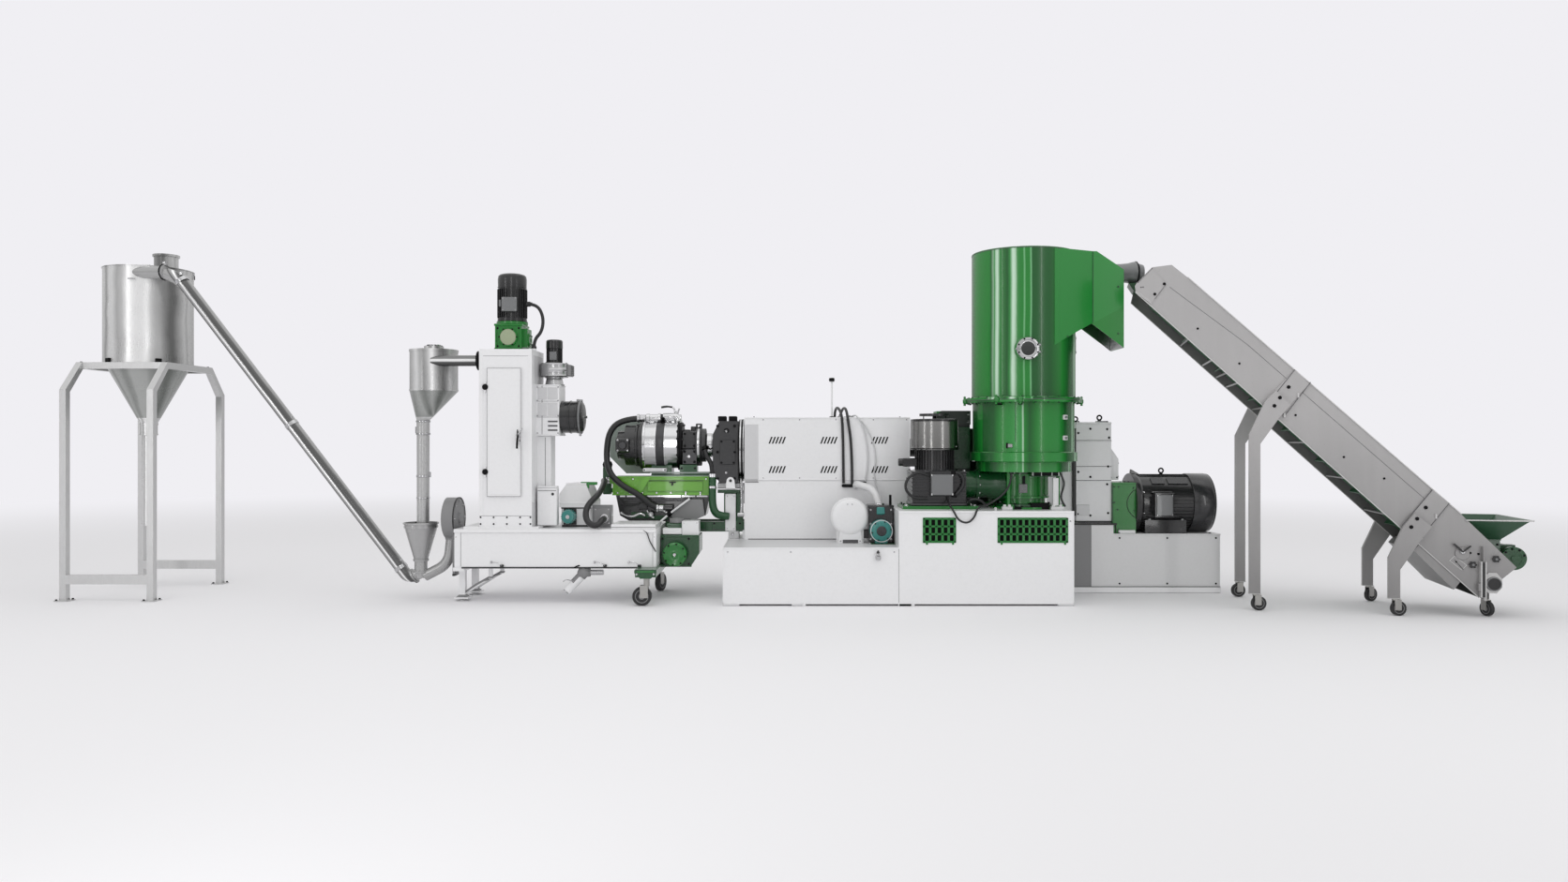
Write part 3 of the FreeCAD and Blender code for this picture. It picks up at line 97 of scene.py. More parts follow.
class Finish:
    """A material and its node tree, built node by node."""

    def __init__(self, name):
        self.material = bpy.data.materials.new(name)
        self.material.use_nodes = True
        self.tree = self.material.node_tree
        self.tree.nodes.clear()

    def node(self, kind, settings=None, sockets=None, out=0):
        """Adds a node: its settings first, then its sockets' values or links."""
        made = self.tree.nodes.new(kind)
        for word, value in (settings or {}).items():
            if word == "stops":
                ramp = made.color_ramp.elements
                while len(ramp) < len(value):
                    ramp.new(0.5)
                for stop, (place, tone) in zip(ramp, value):
                    stop.position = place
                    stop.color = (*tone, 1) if isinstance(tone, tuple) else (tone, tone, tone, 1)
            else:
                setattr(made, word, value)
        for word, value in (sockets or {}).items():
            if isinstance(value, Wire):
                self.tree.links.new(value.socket, made.inputs[word])
            else:
                made.inputs[word].default_value = value
        return Wire(self, made.outputs[out]) if len(made.outputs) else None

    def math(self, operation, one, two=0.5, clamp=False):
        return self.node("ShaderNodeMath", {"operation": operation, "use_clamp": clamp},
                         {0: one, 1: two})

    def where(self, scale):
        """Object coordinates, stretched along an axis."""
        place = self.node("ShaderNodeTexCoord", out="Object")
        return self.node("ShaderNodeMapping", {}, {"Vector": place, "Scale": scale})

    def noise(self, scale, detail=4.0, stretch=(1, 1, 1)):
        return self.node("ShaderNodeTexNoise", {}, {"Vector": self.where(stretch),
                                                    "Scale": scale, "Detail": detail})

    def mix(self, share, one, two):
        """A colour between two colours."""
        return self.node("ShaderNodeMix", {"data_type": "RGBA"},
                         {0: share, 6: one if isinstance(one, Wire) else (*one, 1),
                          7: two if isinstance(two, Wire) else (*two, 1)}, out=2)

    def surface(self, sockets, bump=None, strength=0.1, depth=0.001):
        """The shader, with an optional height that feeds its normal."""
        sockets = dict(sockets)
        if bump is not None:
            sockets["Normal"] = self.node("ShaderNodeBump", {}, {
                "Height": bump, "Strength": strength, "Distance": depth})
        shader = self.node("ShaderNodeBsdfPrincipled", {}, sockets)
        self.node("ShaderNodeOutputMaterial", {}, {"Surface": shader})
        return self.material


def rubber(name, colour, rough=0.45):
    """Extruded rubber: dark, a little dusty, with fine lengthwise streaks."""
    finish = Finish(name)
    dust = finish.noise(9.0)
    light = tuple(min(1.0, c * 2.2 + 0.012) for c in colour)
    tone = finish.mix(finish.math("MULTIPLY_ADD", dust, 1.6, True) - 0.95, colour, light)
    return finish.surface({"Base Color": tone, "Roughness": rough + 0.2 * dust},
                          finish.noise(220.0, 2.0), 0.15, 0.0006)


HOSE_BLACK = rubber("hose_rubber", (0.012, 0.012, 0.013), 0.28)
CABLE_BLACK = rubber("cable_plastic", (0.014, 0.014, 0.015), 0.3)

HEAD_HOSE = [(-1368, 1115, 1692), (-1560, 1115, 1692), (-1725, 1085, 1590),
             (-1745, 980, 1330), (-1690, 850, 1150), (-1560, 850, 1030), (-1400, 865, 945),
             (-1260, 875, 815), (-1165, 875, 815)]
LOOP_HOSE = [(-1705, 1000, 1080), (-1775, 1000, 1080), (-1735, 850, 1075), (-1715, 560, 1010),
             (-1720, 330, 960), (-1790, 215, 880), (-1795, 150, 780), (-1740, 95, 712),
             (-1670, 95, 705), (-1640, 180, 760), (-1640, 300, 760)]
MOTOR_CABLE = [(-2373, 410, 2735), (-2290, 410, 2735), (-2225, 395, 2620), (-2235, 385, 2480),
               (-2310, 380, 2400), (-2310, 380, 2320)]
MIXER_CABLE = [(1500, 310, 968), (1500, 310, 920), (1490, 150, 890), (1495, -30, 860),
               (1545, -32, 762), (1625, -32, 735), (1690, -30, 790), (1720, 0, 880),
               (1850, 110, 900), (2010, 180, 1000), (2060, 190, 1110), (2060, 190, 1186)]


def flexible(node, points, radius, material):
    """A hose or cable on the route's points, in place of its solid."""
    curve = bpy.data.curves.new(node + "_line", "CURVE")
    curve.dimensions = "3D"
    curve.bevel_depth = radius / 1000
    curve.bevel_resolution = 6
    curve.use_fill_caps = True
    spline = curve.splines.new("NURBS")
    spline.points.add(len(points) - 1)
    spline.points.foreach_set("co", np.hstack([mm(points), np.ones((len(points), 1))]).ravel())
    spline.order_u = 3
    spline.use_endpoint_u = True
    spline.resolution_u = 12
    curve.materials.append(material)
    made = bpy.data.objects.new(node + "_skin", curve)
    bpy.context.scene.collection.objects.link(made)
    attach(made, "line")
    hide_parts(node)
    return made


flexible("head_hose", HEAD_HOSE, 30, HOSE_BLACK)
flexible("loop_hose", LOOP_HOSE, 28, HOSE_BLACK)
flexible("motor_cable", MOTOR_CABLE, 15, CABLE_BLACK)
flexible("mixer_cable", MIXER_CABLE, 9, CABLE_BLACK)


# Each hose end sits in a pressed metal ferrule with a rolled edge and a hex nut.
def satin_metal(name, colour, rough=0.3, stretch=(1, 1, 1), grain=90.0):
    """Bare metal: brushed along one axis, with slow cloudy changes of tone and gloss."""
    finish = Finish(name)
    cloud = finish.noise(2.2, 3.0)
    brush = finish.noise(grain, 3.0, stretch)
    dark = tuple(c * 0.72 for c in colour)
    tone = finish.mix(finish.math("MULTIPLY_ADD", cloud, 2.2, True) - 0.6, dark, colour)
    tone = finish.mix(0.22 * brush, tone, tuple(c * 0.45 for c in colour))
    gloss = rough + 0.16 * (cloud - 0.5) + 0.14 * (brush - 0.5)
    return finish.surface({"Base Color": tone, "Roughness": gloss, "Metallic": 1.0},
                          brush, 0.05, 0.0004)


def grid(points, around=True, caps=True):
    """Quads between the rows of a grid of points; the first and last row get one face each."""
    rows, columns = points.shape[:2]
    index = np.arange(rows * columns).reshape(rows, columns)
    beside = np.roll(index, -1, 1) if around else index[:, 1:]
    here = index if around else index[:, :-1]
    faces = np.stack([here[:-1], beside[:-1], beside[1:], here[1:]], -1).reshape(-1, 4).tolist()
    if caps:
        faces += [index[0, ::-1].tolist(), index[-1].tolist()]
    return points.reshape(-1, 3), faces


AXES = {"X": (1, 2, 0), "Y": (2, 0, 1), "Z": (0, 1, 2)}


def turned(profile, axis, centre, steps=40, loop=False, start=0.0):
    """A profile of (place along the axis, radius) carried round the axis by cosine and sine."""
    along, radius = np.asarray(profile, float).T
    if loop:
        along, radius = np.append(along, along[0]), np.append(radius, radius[0])
    angle = math.radians(start) + np.radians(360.0) * np.arange(steps) / steps
    one, two, third = AXES[axis]
    points = np.zeros((len(along), steps, 3))
    points[..., one] = centre[0] + radius[:, None] * np.cos(angle)
    points[..., two] = centre[1] + radius[:, None] * np.sin(angle)
    points[..., third] = along[:, None]
    return grid(points, True, not loop)


def slab(x, y, z, edge=2.0):
    """A box between two values on each axis, its twelve edges cut back by the edge."""
    (x0, x1), (y0, y1), (z0, z1) = x, y, z
    edge = min(edge, (x1 - x0) / 3, (y1 - y0) / 3, (z1 - z0) / 3)
    rings = []
    for height, inset in ((z0, edge), (z0 + edge, 0), (z1 - edge, 0), (z1, edge)):
        a, b, c, d = x0 + inset, x1 - inset, y0 + inset, y1 - inset
        e = edge * 0.7
        rings.append([(a + e, c, height), (b - e, c, height), (b, c + e, height),
                      (b, d - e, height), (b - e, d, height), (a + e, d, height),
                      (a, d - e, height), (a, c + e, height)])
    return grid(np.array(rings, float))


def prism(outline, axis, low, high):
    """A flat outline pushed along an axis; it is given in the axis's own two directions."""
    outline = np.asarray(outline, float)
    one, two, third = AXES[axis]
    points = np.zeros((2, len(outline), 3))
    points[..., one], points[..., two] = outline[:, 0], outline[:, 1]
    points[0, :, third], points[1, :, third] = low, high
    return grid(points)


PATH_STEPS = 8


def smooth_path(points):
    """A Catmull-Rom line through the points, in PATH_STEPS steps from one to the next."""
    p = np.asarray(points, float)
    p = np.vstack([2 * p[0] - p[1], p, 2 * p[-1] - p[-2]])
    t = np.linspace(0, 1, PATH_STEPS, endpoint=False)[:, None]
    a, b, c, d = p[:-3], p[1:-2], p[2:-1], p[3:]
    runs = [0.5 * (2 * b[i] + (c[i] - a[i]) * t + (2 * a[i] - 5 * b[i] + 4 * c[i] - d[i]) * t ** 2
                   + (3 * b[i] - a[i] - 3 * c[i] + d[i]) * t ** 3) for i in range(len(a))]
    return np.vstack(runs + [p[-2:-1]])


def pipe(points, radius, steps=12, smooth=True):
    """A round section carried along a path; each section's frame is turned to its tangent."""
    path = smooth_path(points) if smooth else np.asarray(points, float)
    way = np.gradient(path, axis=0)
    way /= np.linalg.norm(way, axis=1)[:, None]
    side = np.cross(way[0], [0.3, 0.5, 0.81])
    sides = []
    for ahead in way:
        side = side - ahead * side.dot(ahead)
        side = side / np.linalg.norm(side)
        sides.append(side)
    sides = np.array(sides)
    up = np.cross(way, sides)
    angle = np.linspace(0, 2 * math.pi, steps, endpoint=False)[None, :, None]
    radius = np.broadcast_to(np.asarray(radius, float), len(path))[:, None, None]
    points = path[:, None] + radius * (sides[:, None] * np.cos(angle) + up[:, None]
                                       * np.sin(angle))
    return grid(points)


def at(shape, places):
    """Copies of a shape, moved by each place."""
    points, faces = shape
    places = np.asarray(places, float).reshape(-1, 3)
    count = len(points)
    return ((points[None] + places[:, None]).reshape(-1, 3),
            [[i + k * count for i in face] for k in range(len(places)) for face in faces])


def spun(shape, axis, centre, angles):
    """Copies of a shape, turned about an axis by each angle in degrees."""
    points, faces = shape
    one, two, _ = AXES[axis]
    made, count = [], len(points)
    for angle in np.radians(angles):
        copy = points.copy()
        a, b = points[:, one] - centre[0], points[:, two] - centre[1]
        copy[:, one] = centre[0] + a * np.cos(angle) - b * np.sin(angle)
        copy[:, two] = centre[1] + a * np.sin(angle) + b * np.cos(angle)
        made.append(copy)
    return (np.vstack(made), [[i + k * count for i in face] for k in range(len(made))
                              for face in faces])


def hexes(places, axis, wide=17.0, tall=8.0, sign=1):
    """Hexagon bolt heads on washers, facing along an axis."""
    one, two, third = AXES[axis]
    angle = np.radians(60 * np.arange(6) + 15)
    levels = [(0, 0.72), (2, 0.72), (2, 0.52), (tall - 1.5, 0.52), (tall, 0.44)]
    points = np.zeros((len(levels), 6, 3))
    for row, (level, share) in enumerate(levels):
        points[row, :, one] = wide * share * np.cos(angle)
        points[row, :, two] = wide * share * np.sin(angle)
        points[row, :, third] = sign * level
    return at(grid(points), places)


SHARP_DEGREES = 32


def piece(name, parts, slot, body="line"):
    """One visible piece: parts are (shape, material) pairs, and every shell faces outwards."""
    mesh = bpy.data.meshes.new(name)
    points, faces, marks, finishes, count = [], [], [], [], 0
    for (dots, quads), finish in parts:
        if finish not in finishes:
            finishes.append(finish)
        points.append(dots)
        faces += [[i + count for i in face] for face in quads]
        marks += [finishes.index(finish)] * len(quads)
        count += len(dots)
    mesh.from_pydata(mm(np.vstack(points)).tolist(), [], faces)
    for finish in finishes:
        mesh.materials.append(finish)
    mesh.polygons.foreach_set("material_index", marks)
    shell = bmesh.new()
    shell.from_mesh(mesh)
    bmesh.ops.remove_doubles(shell, verts=shell.verts, dist=1e-6)
    bmesh.ops.recalc_face_normals(shell, faces=shell.faces)
    shell.to_mesh(mesh)
    shell.free()
    mesh.polygons.foreach_set("use_smooth", [True] * len(mesh.polygons))
    mesh.set_sharp_from_angle(angle=math.radians(SHARP_DEGREES))
    made = bpy.data.objects.new(name, mesh)
    bpy.context.scene.collection.objects.link(made)
    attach(made, body)
    return made


BRIGHT = satin_metal("bright_zinc", (0.66, 0.66, 0.67), 0.22, (1, 1, 6))
FERRULE = [(0, 32), (4, 36), (52, 36), (56, 33), (60, 33), (64, 42), (84, 42), (88, 38)]
piece("hose_ferrules", [
    (turned([(-1368 - a, r) for a, r in FERRULE], "X", (1115, 1692), 24), BRIGHT),
    (turned([(-1165 - a * 0.8, r) for a, r in FERRULE], "X", (875, 815), 24), BRIGHT),
    (turned([(-1705 - a * 0.45, r * 0.95) for a, r in FERRULE], "X", (1000, 1080), 24), BRIGHT),
    (turned([(300 - a * 0.6, r * 0.95) for a, r in FERRULE], "Y", (760, -1640), 24), BRIGHT),
    (turned([(-2373 + a, r) for a, r in ((0, 24), (22, 24), (26, 18), (40, 17))], "X",
            (410, 2735), 16), CABLE_BLACK),
    (turned([(2320 + a, r) for a, r in ((0, 24), (20, 24), (25, 18), (40, 17))], "Z",
            (-2310, 380), 16), CABLE_BLACK),
    (turned([(968 - a, r) for a, r in ((0, 16), (14, 16), (18, 11), (30, 10))], "Z",
            (1500, 310), 16), CABLE_BLACK),
    (turned([(1186 - a, r) for a, r in ((0, 18), (14, 18), (18, 12), (32, 10.5))], "Z",
            (2060, 190), 16), CABLE_BLACK)], "hose_rubber")


# Silo
# A round silo of brushed stainless sheet, rolled and welded, with a rolled rim, a lid on
# toggle clamps and a cone that hangs through its stand. The filler cap on the lid is spun.
def dress(node, *materials):
    """Gives a solid of the frame its finish, in its own material slots."""
    slots = NODES[node].material_slots
    for index, slot in enumerate(slots):
        slot.material = materials[min(index, len(materials) - 1)]


def round_axis(finish, centre):
    """Places about an upright axis: metres east of it, the height, and its angle as a share."""
    place = finish.node("ShaderNodeTexCoord", out="Object")
    x, y = mm([*centre, 0])[:2].tolist()
    east = finish.node("ShaderNodeSeparateXYZ", {}, {"Vector": place}, out="X") - x
    north = finish.node("ShaderNodeSeparateXYZ", {}, {"Vector": place}, out="Y") - y
    level = finish.node("ShaderNodeSeparateXYZ", {}, {"Vector": place}, out="Z")
    return east, level, finish.math("ARCTAN2", north, east) * (0.5 / math.pi) + 0.5


def rolled_sheet(name, centre, reflection_stops, cone):
    """Rolled stainless sheet: upright bands of painted reflection, lighter and darker, round its
    axis, and painted shade that darkens it between the two heights of its cone."""
    finish = Finish(name)
    _, level, turn = round_axis(finish, centre)
    # Painted shade: the cone below the shell is darkened.
    painted_cone_shade = (level > cone[0] / 1000) * (level < cone[1] / 1000)
    cloud = finish.noise(2.2, 3.0)
    brush = finish.noise(26.0, 3.0, (9, 9, 0.4))
    # The bands are painted reflections, set by the angle round the axis.
    bands = finish.node("ShaderNodeValToRGB", {"stops": reflection_stops},
                        {"Fac": turn + 0.05 * (cloud - 0.5)})
    tone = finish.mix(0.35 * brush, bands, (0.34, 0.34, 0.335))
    tone = finish.mix(0.62 * painted_cone_shade, tone, (0.15, 0.165, 0.15))
    return finish.surface({"Base Color": tone, "Roughness": 0.28 + 0.25 * (cloud - 0.5)
                           + 0.16 * (brush - 0.5), "Metallic": 0.45}, brush, 0.05, 0.0004)


SILO, SILO_AT, SILO_LOW, SILO_HIGH = 385, (-6180, 910), 2206, 3119
# These stops are painted reflection: bright and dark bands round the silo.
STAINLESS = rolled_sheet("stainless_sheet", SILO_AT, [
    (0.0, 0.62), (0.1, 0.78), (0.137, 0.74), (0.156, 0.36), (0.176, 0.84), (0.198, 0.84),
    (0.2225, 0.5), (0.246, 0.62), (0.265, 0.98), (0.33, 0.98), (0.346, 0.72), (0.367, 0.5),
    (0.393, 0.32), (0.416, 0.12), (0.43, 0.13), (0.4536, 0.4), (0.4786, 0.66), (0.49, 0.45),
    (0.5, 0.66), (0.54, 0.55), (0.6, 0.62), (0.7, 0.4), (0.8, 0.78), (0.92, 0.5),
    (1.0, 0.62)], (1690, SILO_LOW))
STAND_STEEL = satin_metal("stand_tube", (0.80, 0.80, 0.80), 0.4, (1, 1, 0.2), 60.0)
DARK = satin_metal("blackened_steel", (0.02, 0.02, 0.021), 0.45)
dress("silo_shell", STAINLESS)
dress("silo_lid", STAINLESS)
dress("silo_stand", STAND_STEEL)


def ring_bolts(axis, centre, place, radius, count, wide=17, tall=8, sign=1, start=0.0):
    """Bolt heads spread evenly round a circle."""
    one, two, third = AXES[axis]
    spots = np.zeros((count, 3))
    angle = np.radians(start + 360 * np.arange(count) / count)
    spots[:, one] = centre[0] + radius * np.cos(angle)
    spots[:, two] = centre[1] + radius * np.sin(angle)
    spots[:, third] = place
    return hexes(spots, axis, wide, tall, sign)


def band(height, radius, tall=26, thick=5):
    """A flat band round an upright body at a height, its corners a little rounded."""
    return [(height, radius - 1), (height, radius + thick - 1.5), (height + 1.5, radius + thick),
            (height + tall - 1.5, radius + thick), (height + tall, radius + thick - 1.5),
            (height + tall, radius - 1)]


piece("silo_bands", [
    (turned(band(SILO_HIGH - 12, SILO, 10, 2), "Z", SILO_AT, 96, True), STAINLESS),
    (turned(band(SILO_LOW + 1, SILO, 12, 3), "Z", SILO_AT, 96, True), STAINLESS),
    (turned(band(1622, 75, 20, 5), "Z", SILO_AT, 48, True), STAINLESS),
    (turned(band(1524, 75, 14, 5), "Z", SILO_AT, 48, True), STAINLESS),
    (turned(band(660, 59, 14, 5), "Z", SILO_AT, 40, True), STAINLESS),
    (slab((-6186, -6178), (522.5, 526), (2225, 3100), 1), STAINLESS)], "stainless")
EDGE = SILO_AT[0] + SILO
clamp = slab((EDGE - 4, EDGE + 9), (898, 922), (SILO_HIGH - 44, SILO_HIGH + 8))
lever = slab((EDGE + 6, EDGE + 14), (904, 916), (SILO_HIGH - 66, SILO_HIGH - 24))
foot = slab((EDGE - 20, EDGE + 24), (884, 936), (SILO_LOW + 2, SILO_LOW + 42), 3)
piece("silo_clamps", [
    (spun(clamp, "Z", SILO_AT, (20, 100, 175)), BRIGHT),
    (spun(lever, "Z", SILO_AT, (20, 100, 175)), DARK),
    (spun(foot, "Z", SILO_AT, (60, 120, 244, 312)), DARK),
    (hexes([(-6600 + dx, y, 2206) for dx in (0, 800) for y in (545, 1275)], "Z", 20), DARK),
    (ring_bolts("Z", (-6010, 910), SILO_HIGH + 6, 92, 6, 12), DARK)], "stainless")
# The stand's feet are plates welded to the square tubes, each with two anchor bolts.
feet = [(x, y) for x in (-6600, -5800) for y in (310, 1510)]
piece("stand_feet", [
    (at(slab((-62, 62), (-62, 62), (0, 8), 2), [(x, y, 0) for x, y in feet]), STAND_STEEL),
    (hexes([(x + dx, y + dx, 8) for x, y in feet for dx in (-46, 46)], "Z", 18, 12), DARK)],
      "stand_steel")


# Conveying pipe, funnel, blower
# A stainless pipe that blows the pellets up to the silo: a spun feed funnel over a tee, split
# clamps at the joints, and a cast blower whose flat casing is bolted round its edge.
def paint(name, colour, rough=0.3, coat=0.0, speck=0.05):
    """Sprayed enamel: slow changes of tone, a little dust, and the spray's orange peel."""
    finish = Finish(name)
    cloud = finish.noise(1.3, 3.0)
    fine = finish.noise(38.0, 2.0)
    shade = tuple(c * (1 - 2.2 * speck) for c in colour)
    tone = finish.mix(finish.math("MULTIPLY_ADD", cloud, 2.6, True) - 0.8, shade, colour)
    tone = finish.mix(0.10 * finish.math("POWER", fine, 3.0), tone, (0.2, 0.19, 0.18))
    return finish.surface({"Base Color": tone, "Roughness": rough + 0.22 * (cloud - 0.5)
                           + 0.05 * fine, "Coat Weight": coat}, finish.noise(160.0, 2.0),
                          0.06, 0.0005)


def drawn_tube(name, start, end, radius, reflection_stops):
    """Drawn tube: lengthwise bands of painted reflection, bright and dark, side by side across it.
    """
    finish = Finish(name)
    way = np.subtract(end, start) / np.linalg.norm(np.subtract(end, start))
    side = np.cross(way, [0, 1, 0])
    side = side / np.linalg.norm(side) * 1000 / (2 * radius)
    place = finish.node("ShaderNodeTexCoord", out="Object")
    across = finish.node("ShaderNodeVectorMath", {"operation": "DOT_PRODUCT"},
                         {0: place, 1: tuple(side)}, out="Value")
    across = across - float(np.dot(side, mm(start))) + 0.5
    cloud = finish.noise(2.6, 3.0)
    # Painted reflection: bands set by the place across the tube's width.
    bands = finish.node("ShaderNodeValToRGB", {"stops": reflection_stops},
                        {"Fac": across + 0.09 * (cloud - 0.5)})
    return finish.surface({"Base Color": bands, "Roughness": 0.26 + 0.2 * (cloud - 0.5),
                           "Metallic": 0.5}, finish.noise(30.0, 3.0), 0.05, 0.0004)


PIPE_ENDS = (-5690, 500, 3048), (-3479, 430, 190)
# These stops are painted reflection across the pipes: dark bands and one white highlight.
PIPE_STEEL = drawn_tube("pipe_steel", *PIPE_ENDS, 56, [
    (0.0, 0.42), (0.08, 0.34), (0.14, 0.07), (0.2, 0.3), (0.33, 0.42), (0.38, 0.95),
    (0.46, 0.95), (0.5, 0.3), (0.58, 0.11), (0.86, 0.1), (0.93, 0.32), (1.0, 0.42)])
INLET_STEEL = drawn_tube("inlet_steel", (-3250, 262, 2200), (-2790, 262, 2200), 50, [
    (0.0, 0.06), (0.3, 0.08), (0.38, 0.3), (0.44, 0.95), (0.58, 0.95), (0.64, 0.3),
    (0.8, 0.13), (1.0, 0.3)])
CAST_GREY = paint("cast_grey", (0.30, 0.30, 0.305), 0.42, 0.0, 0.14)
BLACK_TRIM = paint("black_trim", (0.018, 0.018, 0.019), 0.4)
dress("conveying_pipe", PIPE_STEEL)
dress("blower", CAST_GREY)
TEE = (-3370, 430)
PIPE_LINE = np.array(PIPE_ENDS, float)
PIPE_WAY = (PIPE_LINE[1] - PIPE_LINE[0]) / np.linalg.norm(PIPE_LINE[1] - PIPE_LINE[0])


def collar(place, way, radius, wide, thick=6):
    """A clamp band round a slanting pipe: rings of its section along the pipe's way."""
    side = np.cross(way, [0, 1.0, 0])
    side /= np.linalg.norm(side)
    up = np.cross(way, side)
    angle = np.linspace(0, 2 * math.pi, 32, endpoint=False)[None, :, None]
    levels = np.array([(-wide / 2, radius), (-wide / 2, radius + thick), (wide / 2, radius
                      + thick), (wide / 2, radius), (-wide / 2, radius)])[:, None]
    ring = np.cos(angle) * side + np.sin(angle) * up
    points = np.asarray(place, float) + levels[..., :1] * way + levels[..., 1:] * ring
    return grid(points, True, False)


joints = []
for share in (0.03, 0.50, 0.965):
    spot = PIPE_LINE[0] + share * (PIPE_LINE[1] - PIPE_LINE[0])
    joints += [(collar(spot, PIPE_WAY, 55, 34, 7), BRIGHT),
               (at(slab((-12, 12), (-9, 9), (52, 82), 2), [spot + [0, -20, 0]]), BRIGHT)]
# The pipe meets the silo's wall at a slant, behind a split clamp with one ear.
INLET = np.array([(-6160, 597, 3056), (-5690, 500, 3048)], float)
inlet_way = (INLET[1] - INLET[0]) / np.linalg.norm(INLET[1] - INLET[0])
ear = INLET[0] + 0.755 * (INLET[1] - INLET[0])
joints += [(collar(ear, inlet_way, 64, 20, 8), BRIGHT), (collar(ear, inlet_way, 64, 6, 14), DARK),
           (at(slab((-10, 10), (-14, 14), (64, 100), 3), [ear]), BRIGHT),
           (slab((-6140, -6084), (500, 530), (2984, 2996), 2), BRIGHT),
           (turned([(250, 57), (250, 72), (264, 72), (264, 57)], "Z", TEE, 40, True),
            PIPE_STEEL),
           (turned([(352, 57), (352, 68), (372, 72), (372, 60)], "Z", TEE, 40, True),
            PIPE_STEEL),
           (turned([(700, 147), (696, 158), (706, 161), (712, 157), (711, 147)], "Z",
                   TEE, 64, True), PIPE_STEEL),
           (turned([(664, 147), (664, 152), (680, 152), (680, 147)], "Z", TEE, 64,
                   True), PIPE_STEEL),
           (hexes([(-3370 + 150 * math.cos(a), 430 + 150 * math.sin(a), 700)
                   for a in (-0.2, 2.2, 4.2)], "Z", 16), DARK)]
piece("pipe_clamps", joints, "stainless")
# The blower's casing is turned towards the tank, with a black back plate, bolts round its
# edge, a bearing hub and cooling holes.
BLOWER = (420, 754)
wheel = [(-3124, 150), (-3128, 176), (-3122, 190), (-3016, 190), (-3012, 183), (-3010, 60),
         (-3004, 52), (-2996, 48), (-2994, 30)]
piece("blower_casing", [
    (turned(wheel, "X", BLOWER, 72), CAST_GREY),
    (turned([(-3020, 186), (-3020, 193), (-3008, 193), (-3008, 186)], "X", BLOWER, 72, True),
     BLACK_TRIM),
    (turned([(-3132, 20), (-3132, 56), (-3126, 60), (-3126, 20)], "X", BLOWER, 36, True),
     BLACK_TRIM),
    (ring_bolts("X", BLOWER, -3010, 160, 8, 13, 7), BRIGHT),
    (ring_bolts("X", BLOWER, -3126, 160, 8, 13, 7, -1), BRIGHT),
    (slab((-3040, -3014), (296, 544), (228, 250), 3), BLACK_TRIM),
    (slab((-3012, -2992), (400, 440), (560, 600), 3), BLACK_TRIM)], "grey_paint")

# Cyclone
# A spun stainless cyclone that drops the pellets out of the air: rolled seams, a lid with a
# bolted sight cap, a flanged inlet, a soft sleeve under the cone and pipe joints below.
CYCLONE_AT, DROP_AT, DUCT = (-3250, 430), (-3350, 430), (262, 2200)
# These stops are painted reflection: bright and dark bands round the cyclone.
CYCLONE_STEEL = rolled_sheet("cyclone_sheet", CYCLONE_AT, [
    (0.0, 0.6), (0.1, 0.5), (0.14, 0.72), (0.18, 0.9), (0.21, 0.45), (0.235, 0.28),
    (0.26, 0.55), (0.285, 0.92), (0.31, 0.6), (0.34, 0.16), (0.36, 0.1), (0.385, 0.3),
    (0.41, 0.7), (0.44, 0.5), (0.5, 0.66), (0.6, 0.45), (0.7, 0.78), (0.85, 0.5),
    (1.0, 0.6)], (1690, 1928))
dress("cyclone", CYCLONE_STEEL)
flange = [(-2772, 40), (-2772, 88), (-2756.5, 88), (-2756.5, 40)]
piece("cyclone_bands", [
    (turned(band(2290, 215, 22, 5), "Z", CYCLONE_AT, 72, True), CYCLONE_STEEL),
    (turned(band(1930, 215, 14, 4), "Z", CYCLONE_AT, 72, True), CYCLONE_STEEL),
    (turned(band(2346, 60, 14, 4), "Z", CYCLONE_AT, 40), BRIGHT),
    (turned([(2345, 8), (2345, 30), (2362, 26), (2366, 8)], "Z", CYCLONE_AT, 24), BRIGHT),
    (turned(band(1640, 59, 18, 5), "Z", DROP_AT, 40, True), BRIGHT),
    (turned(band(1524, 58, 18, 6), "Z", DROP_AT, 40, True), BRIGHT),
    (turned(band(1130, 57, 22, 5), "Z", DROP_AT, 40, True), BRIGHT),
    (turned(band(930, 57, 18, 4), "Z", DROP_AT, 40, True), BRIGHT),
    (turned([(-3232, 8), (-3228, 36), (-3214, 50), (-2794, 50), (-2790, 40)], "X", DUCT, 40),
     INLET_STEEL),
    (turned(flange, "X", DUCT, 48, True), DARK),
    (turned([(a - 20, r) for a, r in flange], "X", DUCT, 48, True), DARK),
    (ring_bolts("X", DUCT, -2790, 68, 6, 15, 9, -1, 30), DARK),
    (ring_bolts("Z", CYCLONE_AT, 2345, 74, 6, 13), DARK),
    (slab((-3420, -3407), (418, 442), (1540, 1600)), BRIGHT),
    (slab((-3300, -3280), (418, 442), (1130, 1180)), BRIGHT)], "stainless")

